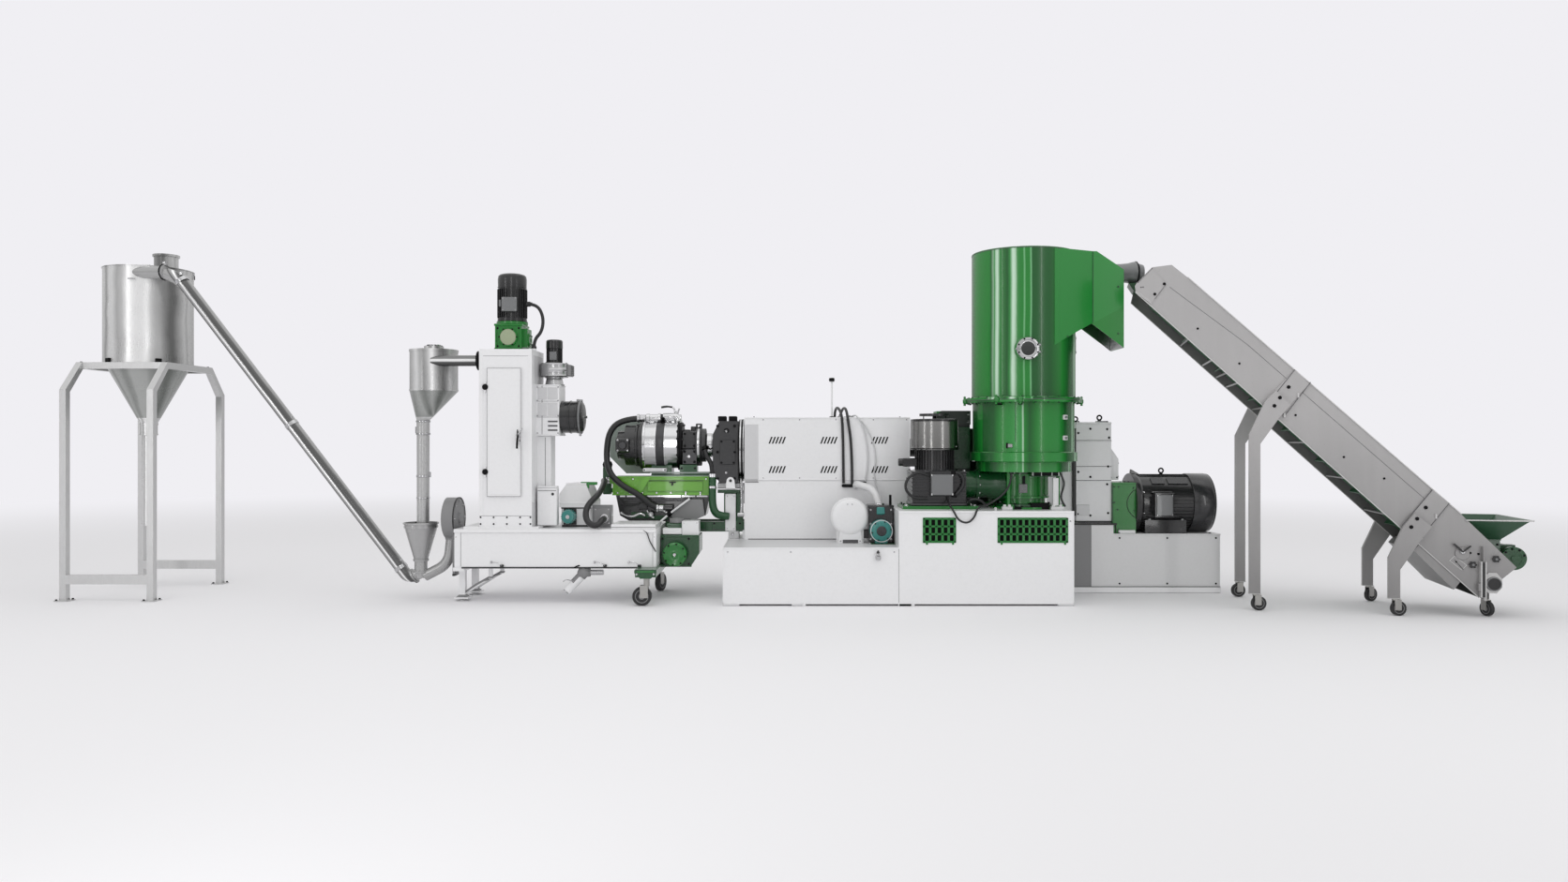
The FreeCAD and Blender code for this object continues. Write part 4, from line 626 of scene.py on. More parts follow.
# Water tank
# A long tank of white enamelled sheet under a folded deck, on legs with screw feet. A black
# rubber strip runs under its edge, wire latches hold the drip rail, and a cast valve drains it.
WHITE = paint("white_enamel", (0.85, 0.85, 0.86), 0.30, 0.15, 0.02)
PANEL_GREY = paint("panel_grey", (0.68, 0.68, 0.69), 0.36, 0.0, 0.06)
SEAM = paint("seam_shadow", (0.09, 0.09, 0.095), 0.6)
dress("water_tank", WHITE)
dress("tank_deck", WHITE)
TANK = (-2971, -1155)
piece("tank_trim", [
    (slab((TANK[0] + 60, TANK[1] - 10), (141, 151), (316, 330), 3), BLACK_TRIM),
    (slab((TANK[0] - 3, TANK[0] + 52), (146, 151), (330, 655), 2), WHITE),
    (slab((TANK[0] + 52, TANK[0] + 54.5), (147.5, 151), (334, 655), 0.5), SEAM),
    (slab((TANK[1] - 28, TANK[1] + 2), (146, 151), (330, 655), 2), WHITE),
    (slab((TANK[1] - 30.5, TANK[1] - 28), (147.5, 151), (334, 655), 0.5), SEAM),
    (slab((TANK[0] - 8, TANK[1]), (138, 146), (640, 672), 2), WHITE),
    (slab((-1561, -1160), (146, 600), (671, 714), 4), WHITE),
    (slab((-1561, -1160), (143, 148), (686, 690), 1), SEAM),
    (pipe([(-1278, 143, 664), (-1237, 140, 637), (-1206, 138, 555), (-1155, 142, 468)], 5, 8),
     BLACK_TRIM),
    (hexes([(x, 150, 600) for x in (-2960, -1170)], "Y", 10, 6, -1), BRIGHT)], "white_paint")
latch = [(-40, 138, 36), (-30, 128, 34), (12, 128, 28), (40, 132, 10), (44, 138, 0)]
latches = [(x, 0, 340) for x in (-2590, -1660, -1350)]
piece("tank_latches", [
    (at(pipe(latch, 3, 8), latches), BRIGHT),
    (at(slab((30, 62), (134, 150), (-8, 12), 3), latches), BLACK_TRIM),
    (at(slab((-58, -42), (138, 150), (22, 44), 2), latches), BRIGHT)], "white_paint")
# The drain: a bonnet on the tank's edge, a body, a lever and a slanting nozzle.
slant = np.array([-0.685, 0, -0.728])
nozzle = [np.array([-1800, 205, 288]) + slant * d for d in (0, 60, 62, 150, 152, 236, 240)]
piece("drain_valve", [
    (turned([(240, 30), (238, 54), (252, 62), (286, 64), (300, 56), (322, 50), (326, 30)], "Z",
            (-1810, 205), 28), CAST_GREY),
    (pipe(nozzle, [48, 48, 40, 40, 30, 26, 22], 24, False), CAST_GREY),
    (pipe([nozzle[-1], nozzle[-1] + slant * 22], [26, 26], 20, False), BRIGHT),
    (turned([(-1800, 20), (-1796, 25), (-1640, 25), (-1636, 20)], "X", (205, 275), 20), BRIGHT),
    (pipe([(-1815, 190, 320), (-1850, 150, 342), (-1900, 140, 320)], 6, 8), DARK),
    (pipe([(-1900, 160, 200), (-1960, 130, 216), (-1990, 128, 200)], 5, 8), BRIGHT)],
      "grey_paint")
dressed = []
for near in (348, 752):
    dressed += [(turned([(34, 66), (38, 66), (60, 32), (120, 29)], "Z", (-2957, near), 4,
                        start=45), CAST_GREY),
                (turned([(0, 30), (10, 34), (16, 20), (24, 16)], "Z", (-2957, near), 24), WHITE),
                (turned([(22, 34), (22, 78), (34, 84), (38, 30)], "Z", (-2957, near), 4, True,
                        start=45), CAST_GREY),
                (pipe([(-2945, near, 62), (-2830, near, 140), (-2700, near, 214)], 15, 14),
                 CAST_GREY),
                (slab((-2722, -2678), (near - 22, near + 22), (206, 220)), CAST_GREY)]
piece("tank_feet", dressed, "grey_paint")

# Dryer
# An upright centrifugal dryer: a white sheet cabinet on a bolted plinth, a narrow door on two
# round hinges with a lever lock, a worm gearbox and a flange motor on its roof.
dress("dryer_cabinet", WHITE)
dress("dryer_door", WHITE)
CABINET = ((-2756, -2281), (170, 650), (690, 2298))
(cx0, cx1), (cy0, cy1), (cz0, cz1) = CABINET
piece("dryer_trim", [
    (slab((cx0 - 2, cx0 + 34), (cy0 - 3, cy0 + 2), (cz0 + 100, cz1), 2), WHITE),
    (slab((cx1 - 34, cx1 + 2), (cy0 - 3, cy0 + 2), (cz0 + 100, cz1), 2), WHITE),
    (slab((cx0 - 2, cx1 + 2), (cy0 - 4, cy0 + 2), (cz1 - 60, cz1 + 2), 2), WHITE),
    (slab((cx0, cx1), (cy0 - 1.5, cy0 + 2), (cz0 + 98, cz0 + 100.5), 0.6), SEAM),
    (slab((cx0, cx1), (cy0 - 1.5, cy0 + 2), (cz1 - 62, cz1 - 60), 0.6), SEAM),
    (slab((-2895, cx0 - 4), (160, 640), (672, 694), 3), WHITE),
    (slab((cx1 - 1, cx1 + 3), (cy0 + 10, cy1 - 10), (cz0, 910), 1), PANEL_GREY),
    (slab((cx1 - 1, cx1 + 2), (cy0 + 80, cy1 - 40), (1990, 2250), 1), PANEL_GREY),
    (hexes([(x, cy0, z) for x in (cx0 + 12, cx0 + 130, cx0 + 250, cx0 + 370, cx1 - 12)
            for z in (716, 776)], "Y", 12, 7, -1), DARK),
    (hexes([(cx0, y, z) for y in (250, 420) for z in (1690, 1640, 1280, 1330)], "X", 14, 8, -1),
     DARK)], "white_paint")
door = ((-2684, -2374), (150, 165), (963, 2128))
(dx0, dx1), (dy0, _), (dz0, dz1) = door
lines = [((dx0 + 2, dx1 - 2), (dz1 - 5, dz1 - 2)), ((dx0 + 2, dx1 - 2), (dz0 + 2, dz0 + 5)),
         ((dx0 + 2, dx0 + 5), (dz0 + 2, dz1 - 2)), ((dx1 - 5, dx1 - 2), (dz0 + 2, dz1 - 2))]
piece("door_edges", [(slab(x, (dy0 - 1.2, dy0 + 1), z, 0.5), SEAM) for x, z in lines]
      + [(slab((dx0 + 22, dx1 - 22), (dy0 - 2.5, dy0 + 1), (dz0 + 22, dz1 - 22), 1.2), WHITE)],
      "white_paint", "door")
# The hinges are round about the door's own pins, so they stay in place as it opens.
PIN = (-2698, 157)
knob = [(-28, 4), (-25, 14), (-14, 26), (0, 29), (14, 26), (25, 14), (28, 4)]
piece("door_hinges", [
    (turned([(z + a, r) for a, r in knob], "Z", PIN, 32), DARK) for z in (1188, 1955)] + [
    (turned([(z + 27, 4), (z + 27, 9), (z + 32, 7), (z + 32, 4)], "Z", PIN, 20), BRIGHT)
    for z in (1188, 1955)], "black_motor", "door")
piece("door_lever", [
    (slab((-2410, -2374), (132, 151), (1462, 1556), 3), BRIGHT),
    (turned([(108, 10), (108, 17), (133, 17), (133, 10)], "Y", (1520, -2392), 24), BRIGHT),
    (pipe([(-2392, 112, 1520), (-2396, 104, 1480), (-2400, 106, 1424), (-2402, 112, 1400)],
          [9] * 24 + [8], 14), DARK),
    (pipe([(-2392, 112, 1524), (-2362, 108, 1566), (-2352, 110, 1580)], 6, 10), BRIGHT),
    (pipe([(-2392, 112, 1524), (-2396, 108, 1570)], [7, 5], 10, False), DARK),
    (hexes([(x, 132, z) for x in (-2402, -2380) for z in (1470, 1548)], "Y", 8, 4, -1), DARK)],
      "black_motor", "door")

# Dryer drive
# A green cast worm gearbox on the dryer's roof, with a ribbed black flange motor on top. The
# round side cover is a pale casting, and the motor's terminal box is held by four screws.
GREEN = paint("green_enamel", (0.010, 0.19, 0.024), 0.2, 0.3, 0.04)
DARK_GREEN = paint("dark_green_enamel", (0.005, 0.075, 0.018), 0.26, 0.2, 0.08)
OLIVE = paint("olive_cover", (0.36, 0.42, 0.27), 0.34, 0.1, 0.06)
BLACK = paint("black_motor_enamel", (0.014, 0.014, 0.0155), 0.24, 0.35, 0.1)
MOTOR_GREY = paint("motor_grey_enamel", (0.20, 0.205, 0.21), 0.26, 0.3, 0.08)
dress("dryer_gearbox", GREEN)
dress("dryer_motor", BLACK)


def ribs(axis, centre, span, radius, tall, angles, thick=5.0):
    """Cooling ribs that stand out from a round motor body, one at each angle in degrees."""
    one, two, third = AXES[axis]
    box = [None] * 3
    box[one] = (centre[0] + radius - 3, centre[0] + radius + tall)
    box[two] = (centre[1] - thick / 2, centre[1] + thick / 2)
    box[third] = span
    return spun(slab(*box, 1.2), axis, centre, angles)


DRIVE, COVER = (-2517, 410), (2418, -2521)
piece("dryer_gearbox_trim", [
    (turned([(260, 8), (259, 20), (262, 60), (262, 70), (266, 74), (270, 74)], "Y", COVER, 48),
     OLIVE),
    (turned([(262, 76), (262, 84), (272, 88), (282, 88)], "Y", COVER, 48, True), GREEN),
    (ring_bolts("Y", COVER, 262, 80, 6, 11, 5, -1, 30), DARK),
    (slab((-2650, -2392), (272, 548), (2298, 2314), 3), GREEN),
    (slab((-2650, -2392), (272, 548), (2520, 2541), 3), GREEN),
    (at(slab((-7, 7), (270, 282), (2314, 2522), 2), [(x, 0, 0) for x in (-2634, -2408)]), GREEN),
    (hexes([(x, y, 2314) for x in (-2640, -2402) for y in (284, 536)], "Z", 16), DARK),
    (hexes([(-2521 + dx, 280, z) for dx in (-98, 96) for z in (2335, 2500)], "Y", 14, 7, -1),
     DARK),
    (turned(band(2541, 138, 22, 4), "Z", DRIVE, 56, True), GREEN),
    (ring_bolts("Z", DRIVE, 2565, 131, 8, 15, 9, 1, 12), DARK),
    (turned([(-2358 + a, r) for a, r in ((-2, 20), (-2, 66), (8, 66), (12, 60), (12, 20))], "X",
            (410, 2400), 36, True), GREEN),
    (ring_bolts("X", (410, 2400), -2346, 54, 4, 12, 6, 1, 45), DARK)], "green_paint")
cowl = [(2878, 124), (2878, 129), (2960, 131), (2990, 126), (3003, 112), (3008, 96), (3006, 30),
        (3006, 4)]
piece("dryer_motor_trim", [
    (ribs("Z", DRIVE, (2604, 2868), 121, 15, np.arange(0, 360, 11.25)), BLACK),
    (turned(cowl, "Z", DRIVE, 56), BLACK),
    (turned(band(2570, 121, 26, 12), "Z", DRIVE, 56, True), BLACK),
    (turned([(3006, 88), (3010, 86), (3010, 40), (3006, 38)], "Z", DRIVE, 48, True), MOTOR_GREY),
    (slab((-2574, -2436), (243, 257), (2650, 2781), 5), MOTOR_GREY),
    (hexes([(x, 243, z) for x in (-2562, -2448) for z in (2662, 2769)], "Y", 11, 4, -1), BRIGHT),
    (hexes([(-2517 + 131 * math.cos(a), 410 + 131 * math.sin(a), 2880)
            for a in np.radians((30, 150, 210, 330))], "Z", 12, 5), DARK),
    (turned([(2700 + a, r) for a, r in ((0, 6), (0, 13), (60, 13), (60, 6))], "Z",
            (-2600, 300), 20), MOTOR_GREY)], "black_motor")

# Exhaust fan and side port
# A small turbine blower on a spun neck draws the damp air out. Below it a round port with a
# clamped rim and a black flap opens into the duct boxes, whose slots let air in.
dress("exhaust_fan", BLACK)
FAN, PORT = (-2143, 485), (485, 1690)
neck = [(1985, 86), (1985, 94), (1994, 94), (1996, 76), (2010, 73), (2048, 73), (2052, 84),
        (2064, 84), (2064, 70)]
case = [(2064, 60), (2066, 128), (2072, 133), (2078, 130), (2120, 131), (2128, 136), (2136, 131),
        (2176, 130), (2184, 133), (2190, 126), (2192, 70)]
piece("fan_casing", [
    (turned(neck, "Z", FAN, 48, True), BRIGHT),
    (turned(case, "Z", FAN, 64, True), BRIGHT),
    (slab((-2100, -1985), (458, 612), (2074, 2178), 5), CAST_GREY),
    (at(slab((-1986, -1980), (464, 606), (2082, 2090), 1), [(0, 0, dz) for dz in
                                                           (0, 16, 32, 48, 64, 80)]), SEAM),
    (ribs("Z", FAN, (2196, 2326), 65, 9, np.arange(0, 360, 15), 4), BLACK),
    (turned([(2326, 72), (2328, 77), (2396, 76), (2408, 66), (2411, 50), (2411, 4)], "Z", FAN,
            40), BLACK),
    (slab((-2172, -2108), (402, 424), (2216, 2296), 4), MOTOR_GREY),
    (ring_bolts("Z", FAN, 2192, 112, 6, 12, 6), DARK)], "black_motor")
port = [(-2068, 140), (-2068, 152), (-2056, 152), (-2052, 148), (-1996, 148), (-1992, 154),
        (-1982, 154), (-1978, 148), (-1934, 148), (-1930, 152), (-1916, 153), (-1912, 147),
        (-1890, 146), (-1876, 136), (-1868, 120), (-1866, 40), (-1866, 4)]
piece("port_cover", [
    (turned(port, "X", PORT, 64), BLACK),
    (turned([(-1902, 148), (-1900, 158), (-1888, 158), (-1886, 148)], "X", PORT, 64, True),
     MOTOR_GREY),
    (slab((-1936, -1880), (470, 500), (1836, 1856), 4), BRIGHT),
    (slab((-1912, -1892), (474, 496), (1512, 1546), 4), BRIGHT),
    (pipe([(-1866, 485, 1690), (-1846, 485, 1690), (-1838, 485, 1690)], [9, 9, 14], 12, False),
     BRIGHT)], "black_motor")
panel = [(-2266, -2184), (-2174, -2086)]
slots = [(slab(x, (346, 352), (z, z + 14), 1), SEAM) for x in [panel[1]]
         for z in (1560, 1600, 1640)]
piece("duct_panels", slots + [
    (slab(x, (345, 352), z, 2), PANEL_GREY) for x in panel for z in ((1700, 1820), (1850, 1960))]
    + [(slab((-2278, -2076), (347.5, 352), z, 1), SEAM) for z in ((1832, 1835), (1686, 1689))]
    + [(slab((-2230, -2226), (347, 352), (1530, 1980), 1), SEAM),
       (slab((-2284, -2066), (344, 626), (1976, 1988), 3), WHITE),
       (slab((-2284, -2066), (344, 626), (1515, 1527), 3), WHITE),
       (slab((-2283, -2156), (396, 402), (700, 1512), 2), WHITE),
       (slab((-2210, -2206), (394, 399), (710, 1500), 1), SEAM),
       (hexes([(x, 346, z) for x in (-2270, -2080) for z in (1540, 1700, 1840, 1964)], "Y", 10, 5,
              -1), BRIGHT)], "white_paint")

# Sieve housing and pumps on the tank
# A folded sheet housing over the water sieve, with a hinged hood, a teal pump motor at its
# front and a small control box beside it.
TEAL = paint("teal_enamel", (0.028, 0.24, 0.215), 0.26, 0.3, 0.08)
PALE = paint("pale_enamel", (0.76, 0.76, 0.765), 0.32, 0.1, 0.05)
dress("sieve_unit", PALE)
SMALL_MOTOR = (770, -1985)
front_motor = [(310, 8), (308, 30), (311, 54), (318, 60), (330, 64), (398, 64), (400, 58)]
piece("sieve_trim", [
    (slab((-2063, -1787), (396, 402), (840, 856), 2), BLACK_TRIM),
    (slab((-2055, -1795), (397, 402), (672, 690), 2), BLACK_TRIM),
    (slab((-2040, -1920), (395, 402), (692, 842), 3), BLACK_TRIM),
    (turned(front_motor, "Y", SMALL_MOTOR, 40), TEAL),
    (ribs("Y", SMALL_MOTOR, (330, 396), 63, 7, np.arange(0, 360, 18), 4), TEAL),
    (turned([(302, 4), (302, 18), (309, 18), (309, 4)], "Y", SMALL_MOTOR, 20), BRIGHT),
    (slab((-2078, -1759), (376, 382), (892, 902), 2), WHITE),
    (slab((-2015, -1825), (376, 470), (1066, 1078), 4), WHITE),
    (slab((-1900, -1800), (384, 392), (1030, 1058), 3), GREEN),
    (slab((-1880, -1730), (384, 420), (1060, 1088), 4), GREEN),
    (slab((-1762, -1582), (324, 332), (668, 880), 4), MOTOR_GREY),
    (slab((-1742, -1602), (320, 326), (700, 850), 3), CAST_GREY),
    (turned([(286, 6), (284, 22), (288, 32), (300, 36), (302, 30)], "Y", (760, -1640), 28),
     BLACK_TRIM),
    (hexes([(x, 320, z) for x in (-1734, -1610) for z in (712, 838)], "Y", 10, 5, -1), BRIGHT),
    (hexes([(x, 395, 866) for x in (-2050, -1960, -1870, -1800)], "Y", 10, 5, -1), DARK)],
      "pale_paint")
# The white housing beside the column has a black sight dot, and the wiring runs in a tray.
piece("side_housing", [
    (slab((-2262, -2082), (300, 398), (692, 1040), 6), WHITE),
    (slab((-2256, -2088), (296, 302), (1010, 1014), 1), SEAM),
    (turned([(296, 3), (294, 9), (297, 13), (301, 13)], "Y", (980, -2120), 20), BLACK_TRIM),
    (slab((-2262, -2082), (294, 398), (1040, 1052), 3), WHITE)], "white_paint")

# Trolley under the tank
# A dark green welded frame on two swivel casters: it carries the tank's right end and a
# lobed pump with its round end cover towards the front.
dress("trolley_frame", DARK_GREEN)
LOBE = (417, -1011)
piece("pump_trim", [
    (turned([(372, 6), (370, 26), (373, 30), (375, 84), (372, 92), (374, 104), (380, 110),
             (392, 112), (394, 100)], "Y", LOBE, 56), GREEN),
    (ring_bolts("Y", LOBE, 373, 97, 8, 13, 6, -1, 10), DARK),
    (turned([(362, 4), (361, 14), (366, 17), (372, 17)], "Y", LOBE, 20), BRIGHT),
    (slab((-1152, -800), (474, 484), (570, 590), 3), DARK_GREEN),
    (slab((-1152, -862), (474, 484), (292, 310), 3), DARK_GREEN),
    (hexes([(x, 474, z) for x in (-1134, -888) for z in (320, 554)], "Y", 15, 8, -1), DARK),
    (slab((-1096, -800), (512, 530), (676, 694), 3), DARK_GREEN),
    (slab((-956, -798), (508, 700), (584, 716), 4), WHITE),
    (slab((-1133, -958), (490, 640), (594, 652), 5), WHITE),
    (turned([(590, 70), (612, 76), (616, 46), (690, 42), (700, 62), (738, 66)], "Z",
            (-1012, 580), 32), CAST_GREY),
    (hexes([(x, 508, 700) for x in (-940, -814)], "Y", 12, 6, -1), BRIGHT)],
      "dark_green_paint")
bracket = [(-1322, 324), (-1126, 324), (-1126, 300), (-1176, 250), (-1270, 250), (-1322, 300)]
piece("trolley_plates", [
    (prism([(z, x) for x, z in bracket], "Y", -66, -60), DARK_GREEN),
    (prism([(z, x) for x, z in bracket], "Y", 1020, 1026), DARK_GREEN),
    (slab((-1320, -1127), (-62, 150), (322, 330), 2), DARK_GREEN),
    (slab((-1300, -1150), (-69, -65), (306, 318), 2), GREEN),
    (hexes([(x, -66, 290) for x in (-1300, -1150)], "Y", 14, 8, -1), BRIGHT)],
      "dark_green_paint")

# Pelletizing head
# Everything here sits on one axis: a polished cutter housing with a black hydraulic motor, a
# bolted die block, clamp rings on a bright neck and the dark cast screen changer.
POLISHED = satin_metal("polished_housing", (0.74, 0.74, 0.75), 0.16, (0.6, 8, 8), 34.0)
CHROME = satin_metal("chrome", (0.80, 0.80, 0.81), 0.08, (1, 1, 1), 60.0)
GUN_METAL = satin_metal("gun_metal", (0.095, 0.095, 0.098), 0.3, (1, 1, 1), 40.0)
CAST_IRON = paint("blackened_casting", (0.038, 0.038, 0.041), 0.36, 0.1, 0.14)
GUARD = paint("guard_plate", (0.43, 0.50, 0.45), 0.34, 0.1, 0.08)
dress("cutter_housing", POLISHED)
dress("cutter_motor", BLACK)
dress("die_block", CAST_IRON)
dress("screen_changer", CAST_IRON)
dress("barrel", CAST_IRON)
HEAD = (1115, 1425)
piece("cutter_guard", [
    (turned([(1282, 150), (1282, 304), (1286, 308), (1344, 308), (1348, 304), (1348, 150)], "Y",
            (1425, -1470), 8, True, 22.5), GUARD)], "black_motor")
shell = [(-1382, 224), (-1382, 240), (-1378, 243), (-1362, 243), (-1358, 240), (-1358, 224)]
piece("housing_bands", [
    (turned(shell, "X", HEAD, 80, True), CHROME),
    (turned([(-1250, 220), (-1250, 231), (-1246, 232), (-1174, 232), (-1170, 231),
             (-1170, 220)], "X", HEAD, 80, True), GUN_METAL),
    (turned([(-1262, 224), (-1262, 236), (-1252, 236), (-1252, 224)], "X", HEAD, 80, True),
     CHROME),
    (turned([(-1168, 224), (-1168, 234), (-1158, 234), (-1158, 224)], "X", HEAD, 80, True),
     CHROME),
    (turned([(-1040, 224), (-1040, 246), (-1028, 246), (-1028, 224)], "X", HEAD, 80, True),
     DARK),
    (ring_bolts("X", HEAD, -1040, 235, 18, 15, 9, -1, 4), DARK),
    (slab((-1371, -1145), (905, 1000), (1168, 1202), 4), WHITE),
    (slab((-1340, -1180), (900, 906), (1176, 1194), 2), PANEL_GREY),
    (hexes([(x, 905, 1185) for x in (-1358, -1158)], "Y", 12, 6, -1), DARK)], "machined_steel")
ends = [(-1414, 150), (-1414, 236), (-1408, 240), (-1390, 240), (-1384, 236), (-1384, 150)]
disc = [(-1452, 120), (-1456, 206), (-1450, 212), (-1436, 212), (-1430, 206), (-1428, 120)]
waist = [(-1560, 90), (-1560, 176), (-1554, 184), (-1470, 190), (-1462, 184), (-1460, 90)]
tail = [(-1640, 4), (-1641, 60), (-1636, 128), (-1626, 142), (-1580, 146), (-1562, 150),
        (-1558, 90)]
piece("cutter_motor_rings", [
    (turned(ends, "X", HEAD, 72, True), BLACK),
    (turned(disc, "X", HEAD, 72, True), BLACK),
    (turned(waist, "X", HEAD, 72, True), BLACK),
    (turned([(-1522, 186), (-1520, 193), (-1508, 193), (-1506, 186)], "X", HEAD, 72, True),
     CHROME),
    (turned(tail, "X", HEAD, 56), BLACK),
    (ring_bolts("X", HEAD, -1456, 196, 10, 16, 9, -1, 10), GUN_METAL),
    (ring_bolts("X", HEAD, -1641, 108, 6, 15, 8, -1, 20), GUN_METAL),
    (slab((-1640, -1500), (900, 1010), (1352, 1498), 16), BLACK),
    (turned([(886, 10), (886, 34), (900, 40), (904, 30)], "Y", (1425, -1570), 28), GUN_METAL),
    (hexes([(x, 900, z) for x in (-1618, -1522) for z in (1374, 1476)], "Y", 14, 7, -1),
     BRIGHT)], "black_motor")
# The water inlet on top: a pressed coupling, a black body, a chrome elbow and its lever.
INLET_AT, CHANGER = (1115, 1692), (1115, 1375)
elbow = [(-1195, 1115, 1702), (-1110, 1112, 1704), (-1062, 1108, 1698), (-1042, 1100, 1640)]
arm = [(-1068, 1100, 1702), (-1080, 1100, 1770), (-1105, 1098, 1806)]
piece("inlet_fittings", [
    (turned([(-1368, 36), (-1362, 46), (-1330, 46), (-1326, 40), (-1250, 40), (-1246, 50),
             (-1222, 50), (-1218, 40)], "X", INLET_AT, 28), CHROME),
    (turned([(-1218, 38), (-1214, 48), (-1180, 48), (-1176, 38)], "X", INLET_AT, 6), DARK),
    (pipe(elbow, [42] * 8 + [40] * 8 + [38] * 9, 20), CHROME),
    (pipe(arm, [14] * 8 + [9] * 9, 12), CHROME),
    (pipe([(-1105, 1098, 1802), (-1160, 1094, 1808), (-1215, 1092, 1800)], [9] * 8 + [11] * 9,
          12), BLACK_TRIM),
    (pipe([(-1062, 1096, 1704), (-1046, 1096, 1760), (-1036, 1096, 1790)], 8, 10), CHROME),
    (turned([(1080, 6), (1080, 22), (1118, 24), (1118, 6)], "Y", (1702, -1068), 20), CHROME),
    (at(slab((-9, 9), (1084, 1146), (1652, 1662), 2), [(x, 0, 0) for x in (-1340, -1150, -1080)]),
     BRIGHT)], "machined_steel")
rim = [(-1027, 190), (-1027, 221), (-1022, 226), (-1002, 226), (-997, 221), (-997, 190)]
piece("die_trim", [
    (turned(rim, "X", HEAD, 72, True), DARK),
    (ring_bolts("X", HEAD, -997, 206, 12, 20, 12, 1, 15), GUN_METAL),
    (slab((-996, -858), (982, 1002), (1394, 1562), 4), CAST_IRON),
    (slab((-996, -852), (966, 1002), (1236, 1390), 6), GUN_METAL),
    (slab((-1000, -930), (1010, 1220), (1558, 1580), 4), CAST_IRON),
    (hexes([(x, 966, z) for x in (-972, -876) for z in (1262, 1364)], "Y", 20, 12, -1), DARK),
    (turned([(958, 5), (958, 14), (966, 18), (970, 18)], "Y", (1316, -930), 20), BRIGHT),
    (hexes([(x, 982, z) for x in (-972, -880) for z in (1420, 1536)], "Y", 18, 12, -1), DARK),
    (turned([(-870, 130), (-870, 170), (-864, 176), (-816, 176), (-810, 170), (-810, 130)], "X",
            HEAD, 64, True), CAST_IRON),
    (turned([(-852, 172), (-850, 179), (-830, 179), (-828, 172)], "X", HEAD, 64, True), CHROME),
    (turned([(-804, 110), (-804, 150), (-798, 156), (-776, 156), (-770, 150), (-770, 110)], "X",
            HEAD, 64, True), GUN_METAL),
    (slab((-872, -812), (1080, 1150), (1592, 1640), 5), CAST_IRON),
    (slab((-922, -874), (1080, 1150), (1564, 1612), 5), CAST_IRON),
    (pipe([(-842, 1060, 1616), (-842, 1170, 1616)], [12, 12], 12, False), BRIGHT),
    (slab((-872, -812), (1080, 1150), (1222, 1262), 5), CAST_IRON),
    (turned([(-768, 100), (-764, 112), (-756, 120), (-716, 120), (-706, 112), (-694, 134),
             (-688, 134), (-688, 100)], "X", HEAD, 64, True), CHROME)], "dark_cast")
# The changer's body is a cast block with chamfered corners, lifting studs and bolted covers.
face = [(1190, -682), (1068, -622), (1068, -450), (1652, -450), (1652, -622), (1530, -682)]
stud = slab((0, 80), (1038, 1192), (1660, 1712), 5)
ring = [(-442, 250), (-442, 300), (-438, 306), (-426, 306), (-422, 296), (-416, 296),
        (-412, 308), (-400, 308), (-396, 296), (-390, 296), (-386, 304), (-380, 300),
        (-380, 250)]
piece("changer_trim", [
    (prism(face, "Y", 846, 857), CAST_IRON),
    (at(stud, [(-650, 0, 0), (-545, 0, 0)]), DARK),
    (turned(ring, "X", CHANGER, 80, True), DARK),
    (turned([(-432, 306), (-430, 309), (-418, 309), (-416, 306)], "X", CHANGER, 80, True),
     CHROME),
    (turned([(-400, 308), (-399, 311), (-392, 311), (-391, 308)], "X", CHANGER, 80, True),
     CHROME),
    (hexes([(x, 846, z) for x in (-642, -478) for z in (1105, 1360, 1612)], "Y", 22, 12, -1),
     DARK),
    (hexes([(-560, 846, z) for z in (1160, 1560)], "Y", 16, 8, -1), BRIGHT),
    (slab((-620, -470), (838, 850), (1240, 1480), 6), CAST_IRON),
    (hexes([(x, 838, z) for x in (-604, -486) for z in (1258, 1462)], "Y", 16, 9, -1), DARK),
    (pipe([(-556 + 20 * math.cos(a), 842, 1566 + 20 * math.sin(a))
           for a in np.radians(np.arange(-60, 241, 20))], 5, 8), DARK)], "dark_cast")
feed = [(-770, 905, 1375), (-748, 880, 1320), (-705, 868, 1240), (-692, 866, 1130)]
bend = [(-692, 866, 1150), (-694, 866, 1010), (-690, 866, 850), (-660, 868, 770),
        (-600, 880, 742), (-540, 900, 735)]
piece("oil_pipes", [
    (pipe(feed, 23, 14), HOSE_BLACK),
    (pipe(bend, 37, 18), DARK_GREEN),
    (turned([(1118, 30), (1118, 44), (1150, 44), (1150, 30)], "Z", (-692, 866), 24, True), CHROME),
    (turned([(1010, 30), (1010, 42), (1030, 42), (1030, 30)], "Z", (-694, 866), 24, True),
     CHROME),
    (pipe([(-770, 930, 1400), (-770, 905, 1375)], [30, 28], 14, False), DARK),
    (pipe([(-420, 905, 1080), (-412, 890, 950), (-410, 885, 840), (-418, 890, 760)], 15, 12),
     CHROME),
    (pipe([(-392, 925, 1060), (-384, 915, 950), (-384, 905, 860)], 9, 10), HOSE_BLACK),
    (turned([(-452, 14), (-448, 24), (-392, 24), (-388, 14)], "X", (890, 752), 20), CHROME)],
      "dark_cast")

